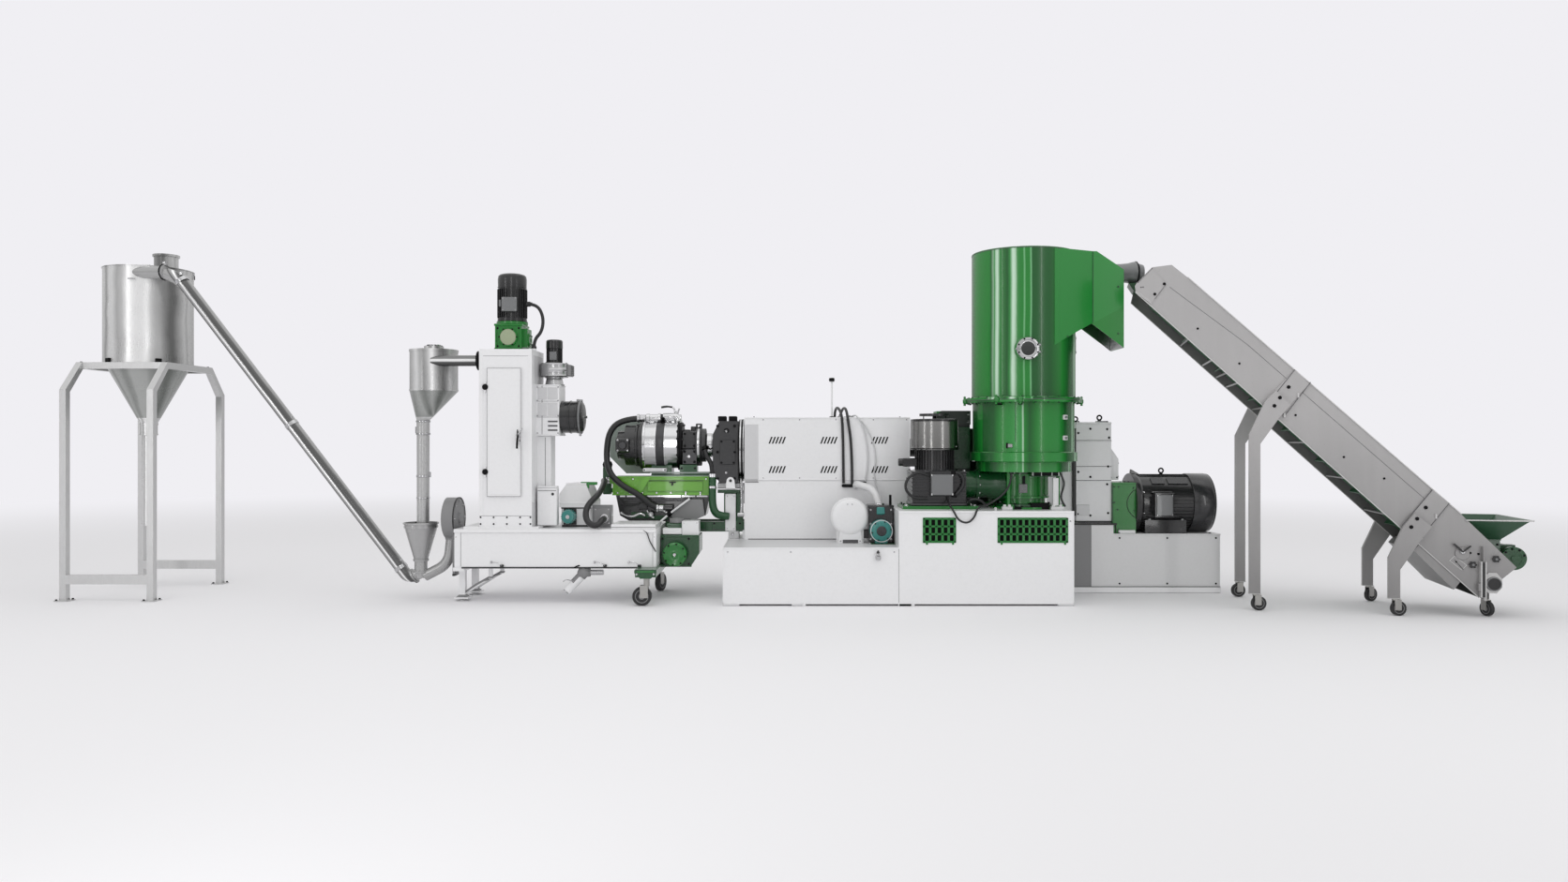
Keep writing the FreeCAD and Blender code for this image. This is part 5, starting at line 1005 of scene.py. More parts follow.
# Carriage, slide and guide frame
# The head rolls back for cleaning: a lime welded carriage on a black slide, whose chrome
# rails run on a green frame that is bolted to the machine base.
LIME = paint("lime_enamel", (0.135, 0.42, 0.021), 0.22, 0.3, 0.05)
dress("head_carriage", LIME)
dress("head_saddle", DARK_GREEN)
dress("slide_frame", BLACK)
dress("guide_frame", DARK_GREEN)
CARRIAGE = ((-1669, -733), (920, 1310), (940, 1119))
(lx0, lx1), (ly0, _), (lz0, lz1) = CARRIAGE
fold = [(lz0, -1440), (lz0, -1404), (lz1 - 30, -1310), (lz1, -1296), (lz1, -1344),
        (lz1 - 34, -1392)]
piece("carriage_trim", [
    (slab((lx0 - 4, lx1 + 4), (ly0 - 5, ly0 + 2), (lz0 - 2, lz0 + 12), 2), LIME),
    (slab((lx0 - 4, lx1 + 4), (ly0 - 5, ly0 + 2), (lz1 - 12, lz1 + 3), 2), LIME),
    (prism(fold, "Y", ly0 - 12, ly0 + 2), LIME),
    (slab((-1330, -790), (ly0 + 8, ly0 + 14), (lz0 + 38, lz1 - 46), 2), LIME),
    (slab((-1336, -784), (ly0 - 3, ly0 + 1), (lz1 - 40, lz1 - 37), 1), SEAM),
    (slab((-1118, -1052), (ly0 - 6, ly0 + 10), (lz1 - 60, lz1 - 48), 3), BLACK_TRIM),
    (slab((-1096, -1080), (ly0 - 8, ly0 + 10), (lz1 - 86, lz1 - 58), 3), BLACK_TRIM),
    (at(slab((-8, 8), (ly0 - 14, ly0 + 2), (lz0 - 4, lz0 + 36), 3),
        [(x, 0, 0) for x in (-955, -815)]), BRIGHT),
    (slab((-1300, lx1), (ly0 - 2, 1250), (lz1, lz1 + 9), 2), GUARD),
    (hexes([(x, ly0 - 5, lz0 + 22) for x in (-1620, -1500, -1380, -1240, -1100)], "Y", 13, 6, -1),
     BRIGHT),
    (hexes([(x, ly0 - 5, lz1 - 22) for x in (-1630, -1470, -760)], "Y", 13, 6, -1), BRIGHT),
    (slab((-1785, -1704), (1046, 1110), (940, 1210), 5), DARK_GREEN),
    (slab((-1710, -1660), (1050, 1106), (960, 1000), 3), DARK_GREEN),
    (turned([(1206, 20), (1210, 44), (1236, 50), (1262, 40), (1272, 16)], "Z", (-1744, 1078),
            28), DARK),
    (turned([(1270, 8), (1272, 18), (1286, 18), (1288, 8)], "Z", (-1744, 1078), 20), CHROME)],
      "lime_paint")
saddle_edge = slab((-1300, -714), (962, 972), (1150, 1164), 3)
piece("saddle_trim", [
    (saddle_edge, GUARD),
    (slab((-1020, -850), (962, 970), (1164, 1236), 3), DARK_GREEN),
    (hexes([(x, 962, 1200) for x in (-1000, -870)], "Y", 16, 8, -1), DARK),
    (slab((-1296, -1104), (978, 1001), (1140, 1190), 3), DARK_GREEN)], "dark_green_paint")
rods = [((-1180, 860, 808), (-1111, 846, 760)), ((-1111, 846, 760), (-1236, 800, 648)),
        ((-1111, 846, 760), (-912, 850, 908))]
ball = [(760 + 27 * math.sin(a), 27 * math.cos(a) + 0.4)
        for a in np.linspace(-math.pi / 2, math.pi / 2, 13)]
piece("link_rods", [(pipe(rod, [11, 11], 12, False), WHITE) for rod in rods] + [
    (turned(ball, "Z", (-1111, 846), 24), DARK),
    (slab((-1150, -1085), (842, 860), (776, 800), 3), DARK)], "dark_green_paint")
# Under the carriage: chrome rails, a black bellows box, a grey sheet cone and fittings.
cone = [(-1102, 745), (-905, 900), (-790, 900), (-770, 742), (-840, 712), (-1060, 706)]
piece("slide_trim", [
    (slab((-1600, -745), (930, 944), (918, 938), 3), CHROME),
    (slab((-1560, -800), (934, 944), (880, 900), 3), GUN_METAL),
    (prism([(z, x) for x, z in cone], "Y", 872, 941), CAST_GREY),
    (slab((-1490, -1300), (926, 944), (716, 772), 4), DARK_GREEN),
    (slab((-1300, -1130), (930, 944), (700, 740), 4), DARK_GREEN),
    (slab((-1420, -1330), (915, 941), (800, 868), 6), CAST_IRON),
    (pipe([(-1590, 925, 770), (-1480, 905, 735), (-1400, 905, 762), (-1350, 905, 742)], 13, 10),
     CHROME),
    (pipe([(-1330, 905, 790), (-1300, 890, 745), (-1262, 890, 722)], 11, 10), CHROME),
    (turned([(868, 10), (866, 22), (878, 30), (905, 30)], "Y", (760, -1290), 20), BRIGHT),
    (pipe([(-1600, 930, 900), (-1560, 912, 850), (-1480, 905, 842), (-1400, 918, 860)], 9, 10),
     HOSE_BLACK),
    (hexes([(x, 930, 928) for x in (-1540, -1400, -1000, -860)], "Y", 12, 6, -1), DARK)],
      "dark_green_paint")
# The guide frame: a white front panel on its post, a shelf and an eyed bracket under the
# changer, and feet on the base's top.
lobe = [(1080 + 38 * math.sin(a), -517 + 38 * math.cos(a)) for a in np.linspace(0, math.pi, 13)]
plate = [(1000, -470)] + [(z, x) for z, x in lobe] + [(1060, -560), (1000, -560)]
piece("guide_trim", [
    (slab((-572, -470), (918, 931), (590, 952), 3), WHITE),
    (slab((-462, -398), (926, 986), (600, 985), 4), DARK_GREEN),
    (slab((-646, -428), (912, 931), (1010, 1056), 3), WHITE),
    (slab((-646, -431), (916, 931), (960, 1004), 3), DARK_GREEN),
    (prism(plate, "Y", 838, 850), WHITE),
    (turned([(834, 4), (834, 14), (840, 14), (840, 4)], "Y", (1083, -517), 24), BLACK_TRIM),
    (slab((-655, -420), (838, 925), (996, 1008), 3), WHITE),
    (slab((-1086, -392), (926, 931), (600, 606), 1), SEAM),
    (slab((-760, -700), (922, 931), (586, 680), 2), DARK_GREEN),
    (hexes([(x, 926, 664) for x in (-1060, -900, -680, -430)], "Y", 14, 7, -1), DARK),
    (hexes([(x, 918, z) for x in (-554, -488) for z in (612, 930)], "Y", 12, 6, -1), BRIGHT),
    (slab((-540, -440), (900, 960), (517, 590), 4), PANEL_GREY),
    (slab((-404, -384), (880, 960), (517, 600), 3), WHITE),
    (turned([(890, 5), (888, 12), (896, 16), (902, 16)], "Y", (565, -500), 20), BRIGHT)],
      "pale_paint")


# Machine base
# Two welded sheet-steel housings of different height, enamelled white. Folded edges run
# along their tops, green punched grilles cover the vents, and a small tap drains the low one.
dress("machine_base", WHITE)
dress("motor_base", PALE)
BASE = (-542, 1021, 2575)
LOW_TOP, HIGH_TOP = 517, 842


def grille(left, right, low, high, columns):
    """A punched plate: edge strips, bars between the holes, and behind them a black sheet of
    painted shade.
    """
    rows = 3
    step = (right - left) / columns
    rise = (high - low) / rows
    thick = (-5, 4)
    bars = [slab((left + i * step - 11, left + i * step + 11), thick, (low, high), 2)
            for i in range(columns + 1)]
    bars += [slab((left - 11, right + 11), thick, (low + i * rise - 9, low + i * rise + 9), 2)
             for i in range(rows + 1)]
    back = slab((left + 2, right - 2), (44, 58), (low + 2, high - 2), 1)
    tabs = [slab((x - 9, x + 9), (-4, 2), (low - 26, low - 6), 2)
            for x in (left + 26, right - 16)]
    return [(bar, GRILLE) for bar in bars + tabs] + [(back, PAINTED_OPENING_SHADE)]


GRILLE = paint("grille_green", (0.014, 0.20, 0.034), 0.3, 0.2, 0.06)
# A near-black matte paint that stands for the shade inside openings.
PAINTED_OPENING_SHADE = paint("painted_opening_shade", (0.003, 0.003, 0.003), 0.9, 0.0, 0.0)
piece("base_grilles", grille(1244, 1518, 570, 776, 5) + grille(1908, 2514, 570, 776, 11) + [
    (hexes([(x, -5, z) for x in (1244, 1518, 1908, 2514) for z in (570, 776)], "Y", 9, 4, -1),
     DARK)], "white_paint")
piece("base_edges", [
    (slab((BASE[0] - 3, BASE[1]), (-5, 3), (LOW_TOP - 10, LOW_TOP + 2), 2), WHITE),
    (slab((BASE[1] - 2, BASE[2] + 3), (-5, 3), (HIGH_TOP - 18, HIGH_TOP + 2), 2), WHITE),
    (slab((BASE[0] - 3, BASE[0] + 8), (-4, 4), (20, LOW_TOP - 10), 2), WHITE),
    (slab((BASE[2] - 8, BASE[2] + 3), (-4, 4), (20, HIGH_TOP - 18), 2), WHITE),
    (slab((BASE[1] - 1.5, BASE[1] + 1.5), (-1.2, 2), (18, LOW_TOP - 10), 0.5), SEAM),
    (slab((BASE[0] - 3, BASE[2] + 3), (-4, 4), (16, 30), 2), WHITE),
    (slab((BASE[0] - 3, BASE[0] + 145), (-9, 40), (0.5, 18), 2), PANEL_GREY),
    (slab((68, 165), (-9, 40), (0.5, 18), 3), PANEL_GREY),
    (slab((1026, 1130), (-9, 40), (0.5, 18), 3), DARK),
    (slab((2436, 2578), (-9, 40), (0.5, 18), 2), PANEL_GREY),
    (slab((BASE[0] + 4, BASE[1] - 4), (4, 790), (LOW_TOP - 1, LOW_TOP + 1.5), 1), PANEL_GREY),
    (slab((800, 1018), (300, 660), (LOW_TOP, LOW_TOP + 8), 2), DARK_GREEN),
    (slab((1085, 1800), (294, 768), (HIGH_TOP - 2, HIGH_TOP + 4), 2), GREEN),
    (hexes([(2545, 0, 755), (-500, 0, 480), (980, 0, 480), (60, 0, 480)], "Y", 11, 5, -1),
     BRIGHT)], "white_paint")
tap = [(410, 6), (412, 20), (424, 25), (446, 24), (452, 14), (458, 12), (470, 12)]
piece("drain_tap", [
    (turned(tap, "Z", (834, -30), 24), BRIGHT),
    (turned([(470, 10), (474, 16), (492, 8), (497, 3)], "Z", (834, -30), 20), BLACK_TRIM),
    (turned([(-32, 5), (-32, 10), (2, 10), (4, 15), (6, 15)], "Y", (462, 834), 16), BRIGHT)],
      "white_paint")
# The bed under the gearbox and motor: stepped, with a darker side panel and a pale foot rail.
piece("bed_panels", [
    (slab((2582, 2962), (824, 832), (52, 660), 3), CAST_GREY),
    (slab((2576, 3212), (818, 832), (656, 674), 3), BLACK_TRIM),
    (slab((3198, 4213), (822, 832), (556, 573), 3), PALE),
    (slab((2576, 4212), (816, 832), (2, 56), 3), WHITE),
    (slab((2576, 4212), (820, 832), (56, 62), 1), SEAM),
    (slab((2962, 2966), (826, 831), (60, 655), 1), SEAM),
    (slab((3198, 3206), (824, 832), (572, 672), 2), DARK),
    (hexes([(x, 830, z) for x in (3240, 3700, 4170) for z in (90, 530)], "Y", 14, 7, -1), DARK),
    (slab((3240, 3400), (848, 900), (571, 604), 4), WHITE)], "white_paint")

# Machine cover
# The insulated cover over the barrel: enamelled sheet with rows of slanted louvres, a grey
# end panel of painted shade where the cover's end is recessed, screws along its edges and a
# vent rod with a bulb on its roof.
dress("machine_cover", WHITE)
COVER_FRONT = 800


def louvres(left, low, count, pitch=32, tall=66, lean=26, wide=15):
    """Slanted slots side by side, each a black prism of painted shade."""
    made = []
    for i in range(count):
        x = left + i * pitch
        slot = [(low, x), (low, x + wide), (low + tall, x + wide + lean), (low + tall, x + lean)]
        made.append((prism(slot, "Y", COVER_FRONT - 1, COVER_FRONT + 2), PAINTED_OPENING_SHADE))
    return made


rows = [(left, low, 5) for low in (1441, 1159) for left in (-150, 348, 838)]
piece("cover_louvres", [part for row in rows for part in louvres(*row)], "white_paint")
edge_screws = [(x, COVER_FRONT, z) for x in (-200, 150, 500, 860, 1180) for z in (1672, 1110)]
piece("cover_trim", [
    # The grey panel paints the shade in the recessed end of the cover.
    (slab((-381, -250), (795, 802), (1082, 1626), 3), PANEL_GREY),
    (slab((-377, -246), (793, 801), (1069, 1075), 1), SEAM),
    (slab((-381, 1212), (795, 803), (1682, 1696), 2), WHITE),
    (slab((-381, 1212), (795, 803), (1089, 1096), 1.5), WHITE),
    (slab((-345, 560), (796, 801), (519, 526), 1), SEAM),
    (slab((1204, 1213), (796, 804), (850, 1690), 2), WHITE),
    (slab((-382, -373), (796, 804), (520, 1690), 2), WHITE),
    (hexes(edge_screws, "Y", 9, 4, -1), BRIGHT),
    (hexes([(x, y, 1693) for x in (-290, 520, 1120) for y in (840, 1390)], "Z", 14, 10), DARK),
    (turned([(1692, 16), (1692, 26), (1700, 28), (1710, 22), (1712, 12)], "Z", (474, 1115), 24),
     DARK),
    (turned([(2052, 9), (2056, 24), (2074, 30), (2092, 24), (2097, 6)], "Z", (474, 1115), 24),
     DARK),
    (turned([(1692, 10), (1692, 18), (1726, 18), (1728, 10)], "Z", (560, 1115), 20), BRIGHT),
    (turned([(1692, 10), (1692, 18), (1722, 18), (1724, 10)], "Z", (640, 1115), 20), BRIGHT),
    (slab((590, 700), (1100, 1130), (1695, 1708), 3), DARK)], "white_paint")
# Two rigid oil lines come over the cover's edge and meet a plug above the chiller, and two
# thin clear water lines run behind them.
line_one = [(502, 1110, 1700), (506, 1085, 1760), (520, 1000, 1792), (540, 880, 1765),
            (556, 788, 1690), (566, 784, 1500), (570, 783, 1250), (572, 782, 1060)]
line_two = [(560, 1110, 1724), (572, 1060, 1768), (590, 960, 1788), (604, 850, 1755),
            (616, 786, 1660), (640, 782, 1480), (652, 781, 1250), (654, 780, 1040)]
clear = [(665, 1100, 1712), (700, 800, 1706), (760, 787, 1600), (800, 786, 1420),
         (806, 786, 1250), (780, 786, 1080), (760, 770, 1040)]
beyond = [(700, 820, 1704), (790, 790, 1600), (862, 788, 1430), (880, 788, 1280),
          (868, 788, 1140), (905, 770, 960)]
piece("cover_lines", [
    (pipe(line_one, 13, 12), HOSE_BLACK), (pipe(line_two, 13, 12), HOSE_BLACK),
    (pipe(clear, 7, 10), PANEL_GREY), (pipe(beyond, 6, 10), PANEL_GREY),
    (slab((556, 668), (766, 800), (1022, 1052), 6), DARK),
    (at(slab((-16, 16), (774, 801), (1180, 1192), 2), [(568, 0, 0), (652, 0, 0)]), BRIGHT),
    (slab((684, 790), (760, 801), (1066, 1078), 3), BLACK_TRIM)], "white_paint")

# Cooling unit
# A round white chiller drum on a pressed foot, and a black cast pump with a teal motor. A
# bent white duct joins the pump to the cover.
dress("cooling_unit", PALE)
CHILLER, PUMP = (760, 613), (640, 895)
dish = [(414, 4), (413, 60), (416, 130), (420, 156), (428, 166), (438, 170), (444, 176),
        (470, 177), (474, 173), (552, 173), (556, 176), (564, 172), (566, 100)]
legs = [(LOW_TOP + 1, 505), (LOW_TOP + 1, 548), (LOW_TOP + 34, 556), (LOW_TOP + 34, 676),
        (LOW_TOP + 1, 684), (LOW_TOP + 1, 728), (632, 712), (672, 690), (672, 540), (632, 520)]
piece("chiller_drum", [
    (turned(dish, "Y", CHILLER, 72), WHITE),
    (turned([(424, 150), (424, 153), (427, 153), (427, 150)], "Y", CHILLER, 72, True), SEAM),
    (prism(legs, "Y", 424, 440), WHITE),
    (prism(legs, "Y", 540, 556), WHITE),
    (slab((545, 688), (421, 425), (LOW_TOP + 3, LOW_TOP + 33), 2), SEAM),
    (hexes([(x, 424, LOW_TOP + 20) for x in (526, 706)], "Y", 12, 6, -1), BRIGHT),
    (hexes([(x, 414, 880) for x in (590, 632)], "Y", 8, 4, -1), BRIGHT)], "pale_paint")
scroll = [(300, 6), (298, 34), (300, 44), (298, 48), (301, 78), (308, 94), (322, 104),
          (396, 106), (402, 96)]
piece("chiller_pump", [
    (slab((784, 1010), (394, 646), (518, 868), 12), BLACK),
    (slab((776, 1018), (400, 640), (846, 872), 6), BLACK),
    (turned(scroll, "Y", PUMP, 56), TEAL),
    (turned([(296, 4), (294, 40), (298, 46), (300, 46)], "Y", PUMP, 40), GUN_METAL),
    (ring_bolts("Y", PUMP, 303, 88, 6, 11, 5, -1, 20), DARK),
    (slab((838, 952), (318, 400), (520, 620), 10), TEAL),
    (slab((856, 930), (372, 398), (786, 856), 8), TEAL),
    (hexes([(x, 394, z) for x in (802, 990) for z in (560, 700, 830)], "Y", 13, 7, -1), BRIGHT),
    (slab((990, 1012), (560, 600), (860, 960), 3), DARK),
    (turned([(866, 30), (870, 44), (884, 44), (888, 34)], "Z", (895, 520), 24), CHROME),
    (slab((700, 790), (470, 540), (560, 640), 5), CAST_IRON)], "pale_paint")

# Compactor
# A tall green drum of rolled plate over a lower pot, clamped at a flange. The hood that takes
# the feed is folded sheet with a steel lining at its mouth, and the sight glass is screwed in.
DRUM = (2242, 530)
GLASS = paint("sight_glass", (0.03, 0.032, 0.032), 0.10, 0.7)


def rolled_paint(name, centre, reflection_stops, plate):
    """Gloss green on rolled plate: upright bands of painted reflection round its axis. The folded
    plate right of the given X, above a slanting edge, gets one lighter green as painted light."""
    finish = Finish(name)
    east, level, turn = round_axis(finish, centre)
    cloud = finish.noise(1.7, 3.0)
    # The bands are painted reflections and painted shade round the drum.
    bands = finish.node("ShaderNodeValToRGB", {"stops": reflection_stops},
                        {"Fac": turn + 0.006 * (cloud - 0.5)})
    right, low, slant = plate
    step = east - (right - centre[0]) / 1000
    # Painted light: the hood's folded plate is lit one even, lighter green.
    painted_plate_light = (step > 0) * (level - slant * step > low / 1000)
    tone = finish.mix(painted_plate_light, bands, (0.018, 0.235, 0.038))
    return finish.surface({"Base Color": tone, "Roughness": 0.24 + 0.15 * (cloud - 0.5),
                           "Coat Weight": 0.25}, finish.noise(160.0, 2.0), 0.06, 0.0005)


# LEAF is the enamel's own green. The darker green is painted shade; the pale and lighter greens in
# the stops are painted highlights.
LEAF, PAINTED_SHADE_GREEN, PAINTED_HIGHLIGHT_GREEN = (0.012, 0.205, 0.026), (0.006, 0.095, 0.016), (0.52, 0.72, 0.55)
DRUM_GREEN = rolled_paint("drum_enamel", DRUM, [
    (0.0, PAINTED_SHADE_GREEN), (0.04, LEAF), (0.105, LEAF), (0.1165, PAINTED_SHADE_GREEN), (0.119, PAINTED_HIGHLIGHT_GREEN), (0.123, LEAF),
    (0.1265, (0.03, 0.26, 0.05)), (0.1305, PAINTED_HIGHLIGHT_GREEN), (0.1385, PAINTED_HIGHLIGHT_GREEN), (0.142, LEAF),
    (0.168, PAINTED_SHADE_GREEN), (0.178, (0.03, 0.26, 0.05)), (0.183, PAINTED_HIGHLIGHT_GREEN), (0.190, PAINTED_HIGHLIGHT_GREEN), (0.1965, LEAF),
    (0.2165, LEAF), (0.2192, (0.2, 0.5, 0.24)), (0.222, LEAF), (0.2355, LEAF),
    (0.2385, (0.2, 0.5, 0.24)), (0.242, PAINTED_SHADE_GREEN), (0.300, PAINTED_SHADE_GREEN), (0.345, LEAF), (0.375, PAINTED_SHADE_GREEN),
    (0.405, PAINTED_SHADE_GREEN), (0.418, (0.3, 0.5, 0.33)), (0.435, LEAF), (0.6, LEAF), (0.75, PAINTED_SHADE_GREEN),
    (0.85, LEAF), (1.0, PAINTED_SHADE_GREEN)], (2428, 2330, 0.541))
for node in ("drum_upper", "feed_hood"):
    dress(node, DRUM_GREEN)
dress("drum_lower", rolled_paint("pot_enamel", DRUM, [
    (0.0, PAINTED_SHADE_GREEN), (0.03, PAINTED_SHADE_GREEN), (0.07, LEAF), (0.075, PAINTED_SHADE_GREEN), (0.12, PAINTED_SHADE_GREEN), (0.14, LEAF),
    (0.19, (0.03, 0.26, 0.05)), (0.212, (0.03, 0.26, 0.05)), (0.2155, PAINTED_HIGHLIGHT_GREEN), (0.2185, LEAF),
    (0.235, PAINTED_SHADE_GREEN), (0.26, LEAF), (0.33, (0.02, 0.23, 0.04)), (0.345, LEAF), (0.36, PAINTED_SHADE_GREEN),
    (0.40, PAINTED_SHADE_GREEN), (0.41, (0.3, 0.5, 0.33)), (0.42, LEAF), (0.6, LEAF), (0.75, PAINTED_SHADE_GREEN),
    (0.85, LEAF), (1.0, PAINTED_SHADE_GREEN)], (9000, 2330, 0.541)))
for node in ("drum_lid", "drum_drive"):
    dress(node, GREEN)


lug = turned([(1811, 4), (1813, 16), (1822, 25), (1850, 26), (1862, 17), (1864, 4)], "Z",
             (DRUM[0] + 540, DRUM[1]), 20)
swing_bolt = turned([(1796, 4), (1796, 11), (1880, 11), (1884, 6), (1884, 4)], "Z",
                    (DRUM[0] + 548, DRUM[1]), 12)
CLAMPS = (0, 75, 128, 180, 232, 255)
piece("drum_clamps", [
    (turned([(1839, 530), (1839, 537.5), (1843, 537.5), (1843, 530)], "Z", DRUM, 96, True), SEAM),
    (ring_bolts("Z", DRUM, 1863, 508, 28, 20, 10), DARK_GREEN),
    (ring_bolts("Z", DRUM, 1819, 508, 28, 20, 10, -1), DARK_GREEN),
    (spun(lug, "Z", DRUM, CLAMPS), GREEN),
    (spun(swing_bolt, "Z", DRUM, CLAMPS), GREEN),
    (spun(slab((2704, 2784), (512, 548), (1792, 1806), 3), "Z", DRUM, (232, 255)), DARK),
    (turned([(1863, 476), (1871, 476), (1863, 484)], "Z", DRUM, 96, True), GREEN)],
      "green_paint")
piece("drum_seams", [
    (slab((2425, 2429), (87.5, 98), (2340, 3203), 1), GREEN),
    (slab((2824, 2829), (284, 292), (2552, 3203), 1), DARK_GREEN),
    (turned([(3202, 474), (3202, 477), (3207, 477), (3207, 474)], "Z", DRUM, 96, True), SEAM),
    (spun(slab((2704, 2708.5), (527, 533), (1459, 1818), 1), "Z", DRUM, (-110.7, 40)),
     DARK_GREEN),
    (spun(slab((2715, 2719), (526, 534), (1872, 3200), 1), "Z", DRUM, (110,)), DARK_GREEN),
    (spun(slab((2731, 2737), (524, 536), (1284, 1359), 2), "Z", DRUM, (-82, 35, 150)), GREEN),
    (turned([(1361, 465), (1370, 465), (1361, 476)], "Z", DRUM, 96, True), GREEN),
    (turned([(1282, 436), (1274, 436), (1282, 448)], "Z", DRUM, 96, True), GREEN),
    (spun(slab((2706, 2723), (503, 557), (1661, 1704), 3), "Z", DRUM, (-50.6,)), PALE),
    (spun(slab((2706, 2723), (503, 557), (1474, 1515), 3), "Z", DRUM, (-50.6,)), PALE),
    (spun(slab((2720, 2727), (512, 548), (1672, 1693), 2), "Z", DRUM, (-50.6,)), MOTOR_GREY),
    (spun(slab((2720, 2727), (512, 548), (1484, 1505), 2), "Z", DRUM, (-50.6,)), MOTOR_GREY),
    (spun(slab((2706, 2722), (508, 552), (1408, 1442), 3), "Z", DRUM, (-116.5,)), BRIGHT),
    (spun(slab((2716, 2728), (496, 512), (1400, 1450), 3), "Z", DRUM, (-116.5,)), DARK),
    (slab((2712, 2732), (506, 554), (2277, 2453), 4), DARK_GREEN),
    (hexes([(2732, 530, z) for z in (2300, 2430)], "X", 16, 8), DARK)], "green_paint")
SIGHT = (2292, 2175)
piece("sight_glass_ring", [
    (turned([(24, 75), (14, 78), (10, 88), (12, 98), (20, 103), (34, 103), (36, 99), (36, 75)],
            "Y", SIGHT, 64, True), BRIGHT),
    (turned([(20, 62), (18, 70), (20, 76), (34, 76), (34, 62)], "Y", SIGHT, 64, True), CHROME),
    (turned([(30, 4), (29, 40), (31, 66), (36, 66), (36, 4)], "Y", SIGHT, 48), GLASS),
    (at(slab((-14, 14), (12, 34), (-10, 10), 4), [(2274, 0, 2325), (2274, 0, 2262),
                                                  (2075, 0, 2286)]), BRIGHT),
    (ring_bolts("Y", SIGHT, 12, 91, 8, 13, 6, -1, 22), DARK),
    (turned([(60, 99), (70, 112), (110, 112), (110, 99)], "Y", SIGHT, 64, True), GREEN)],
      "green_paint")
LIP, THROAT = 2320, 2544
lining = [(LIP + 4, 3100), (THROAT + 6, 2826), (THROAT + 120, 2826), (THROAT + 120, 3100)]
piece("hood_lining", [
    (prism(lining, "Y", 676, 680), BRIGHT),
    (slab((3102, 3106), (297, 679), (LIP + 4, THROAT + 120), 1), BRIGHT),
    (hexes([(x, y, z) for x, y, z in ((2560, 158, 2412), (3060, 290, 2452), (3060, 290, 2880))],
           "Y", 14, 7, -1), DARK_GREEN)], "green_paint")

# Compactor's bearing and feet
# The pot stands on a cast bearing housing between two bolted flanges, four pillars and two
# white foot brackets. Black packers fill the gap under the pot.
packers = [(2261, 2331), (2335, 2427), (2432, 2487)]
posts = [(1979, 2071), (2422, 2537)]
piece("bearing_trim", [
    (turned([(1148, 201), (1148, 242), (1162, 242), (1162, 201)], "Z", DRUM, 72, True), GREEN),
    (turned([(940, 201), (940, 236), (958, 236), (962, 201)], "Z", DRUM, 72, True), GREEN),
    (turned([(862, 201), (862, 262), (884, 258), (892, 201)], "Z", DRUM, 72, True), DARK_GREEN),
    (spun(slab((2440, 2472), (525, 535), (962, 1148), 3), "Z", DRUM, (-140, -60, -20, 60, 140)),
     GREEN),
    (ring_bolts("Z", DRUM, 884, 240, 12, 20, 12), DARK),
    (ring_bolts("Z", DRUM, 862, 284, 12, 20, 12, 1, 15), DARK),
    (slab((2159, 2234), (316, 330), (991, 1071), 2), MOTOR_GREY),
    (slab((2190, 2214), (314, 330), (1071, 1150), 2), DARK)], "green_paint")
piece("pot_packers", [(slab(x, (190, 236), (1154, 1186), 3), DARK) for x in packers] + [
    (slab((x - 3, x + 3), (186, 238), (1150, 1186), 1), PALE) for x in (2258, 2333, 2429, 2490)]
    + [(slab((2250, 2500), (186, 330), (1143, 1151), 2), DARK_GREEN),
       (prism([(2442, 200), (2476, 200), (2492, 206), (2492, 230), (2442, 230)], "Z", 880, 1130),
        PALE),
       (pipe([(2506, 210, 1184), (2540, 200, 1080), (2512, 196, 960), (2548, 190, 872)], 9),
        CABLE_BLACK)]
    + [(slab(x, (184, 236), (842, 872), 4), PALE) for x in posts]
    + [(turned([(872, 4), (872, 15), (884, 15), (890, 10), (890, 4)], "Z", (x, 210), 16), PALE)
       for ends in posts for x in (ends[0] + 24, ends[1] - 24)]
    + [(slab((2060, 2250), (240, 330), (842, 866), 3), DARK),
       (slab((2255, 2420), (250, 330), (842, 900), 3), DARK),
       (turned([(842, 4), (842, 12), (862, 12), (866, 4)], "Z", (1920, 200), 12), PALE)],
      "dark_green_paint")
HOUSING = (530, 1061)
piece("cross_housing", [
    (turned([(1676, 118), (1678, 124), (1786, 124), (1786, 138), (1812, 138), (1812, 124),
             (1900, 124), (1960, 150), (2046, 168), (2046, 118)], "X", HOUSING, 56, True),
     DARK_GREEN),
    (ring_bolts("X", HOUSING, 1812, 130, 10, 16, 9), BRIGHT),
    (spun(slab((1904, 2050), (648, 662), (1057, 1065), 2), "X", HOUSING,
          np.arange(-160, 0, 40)), DARK_GREEN)], "dark_green_paint")

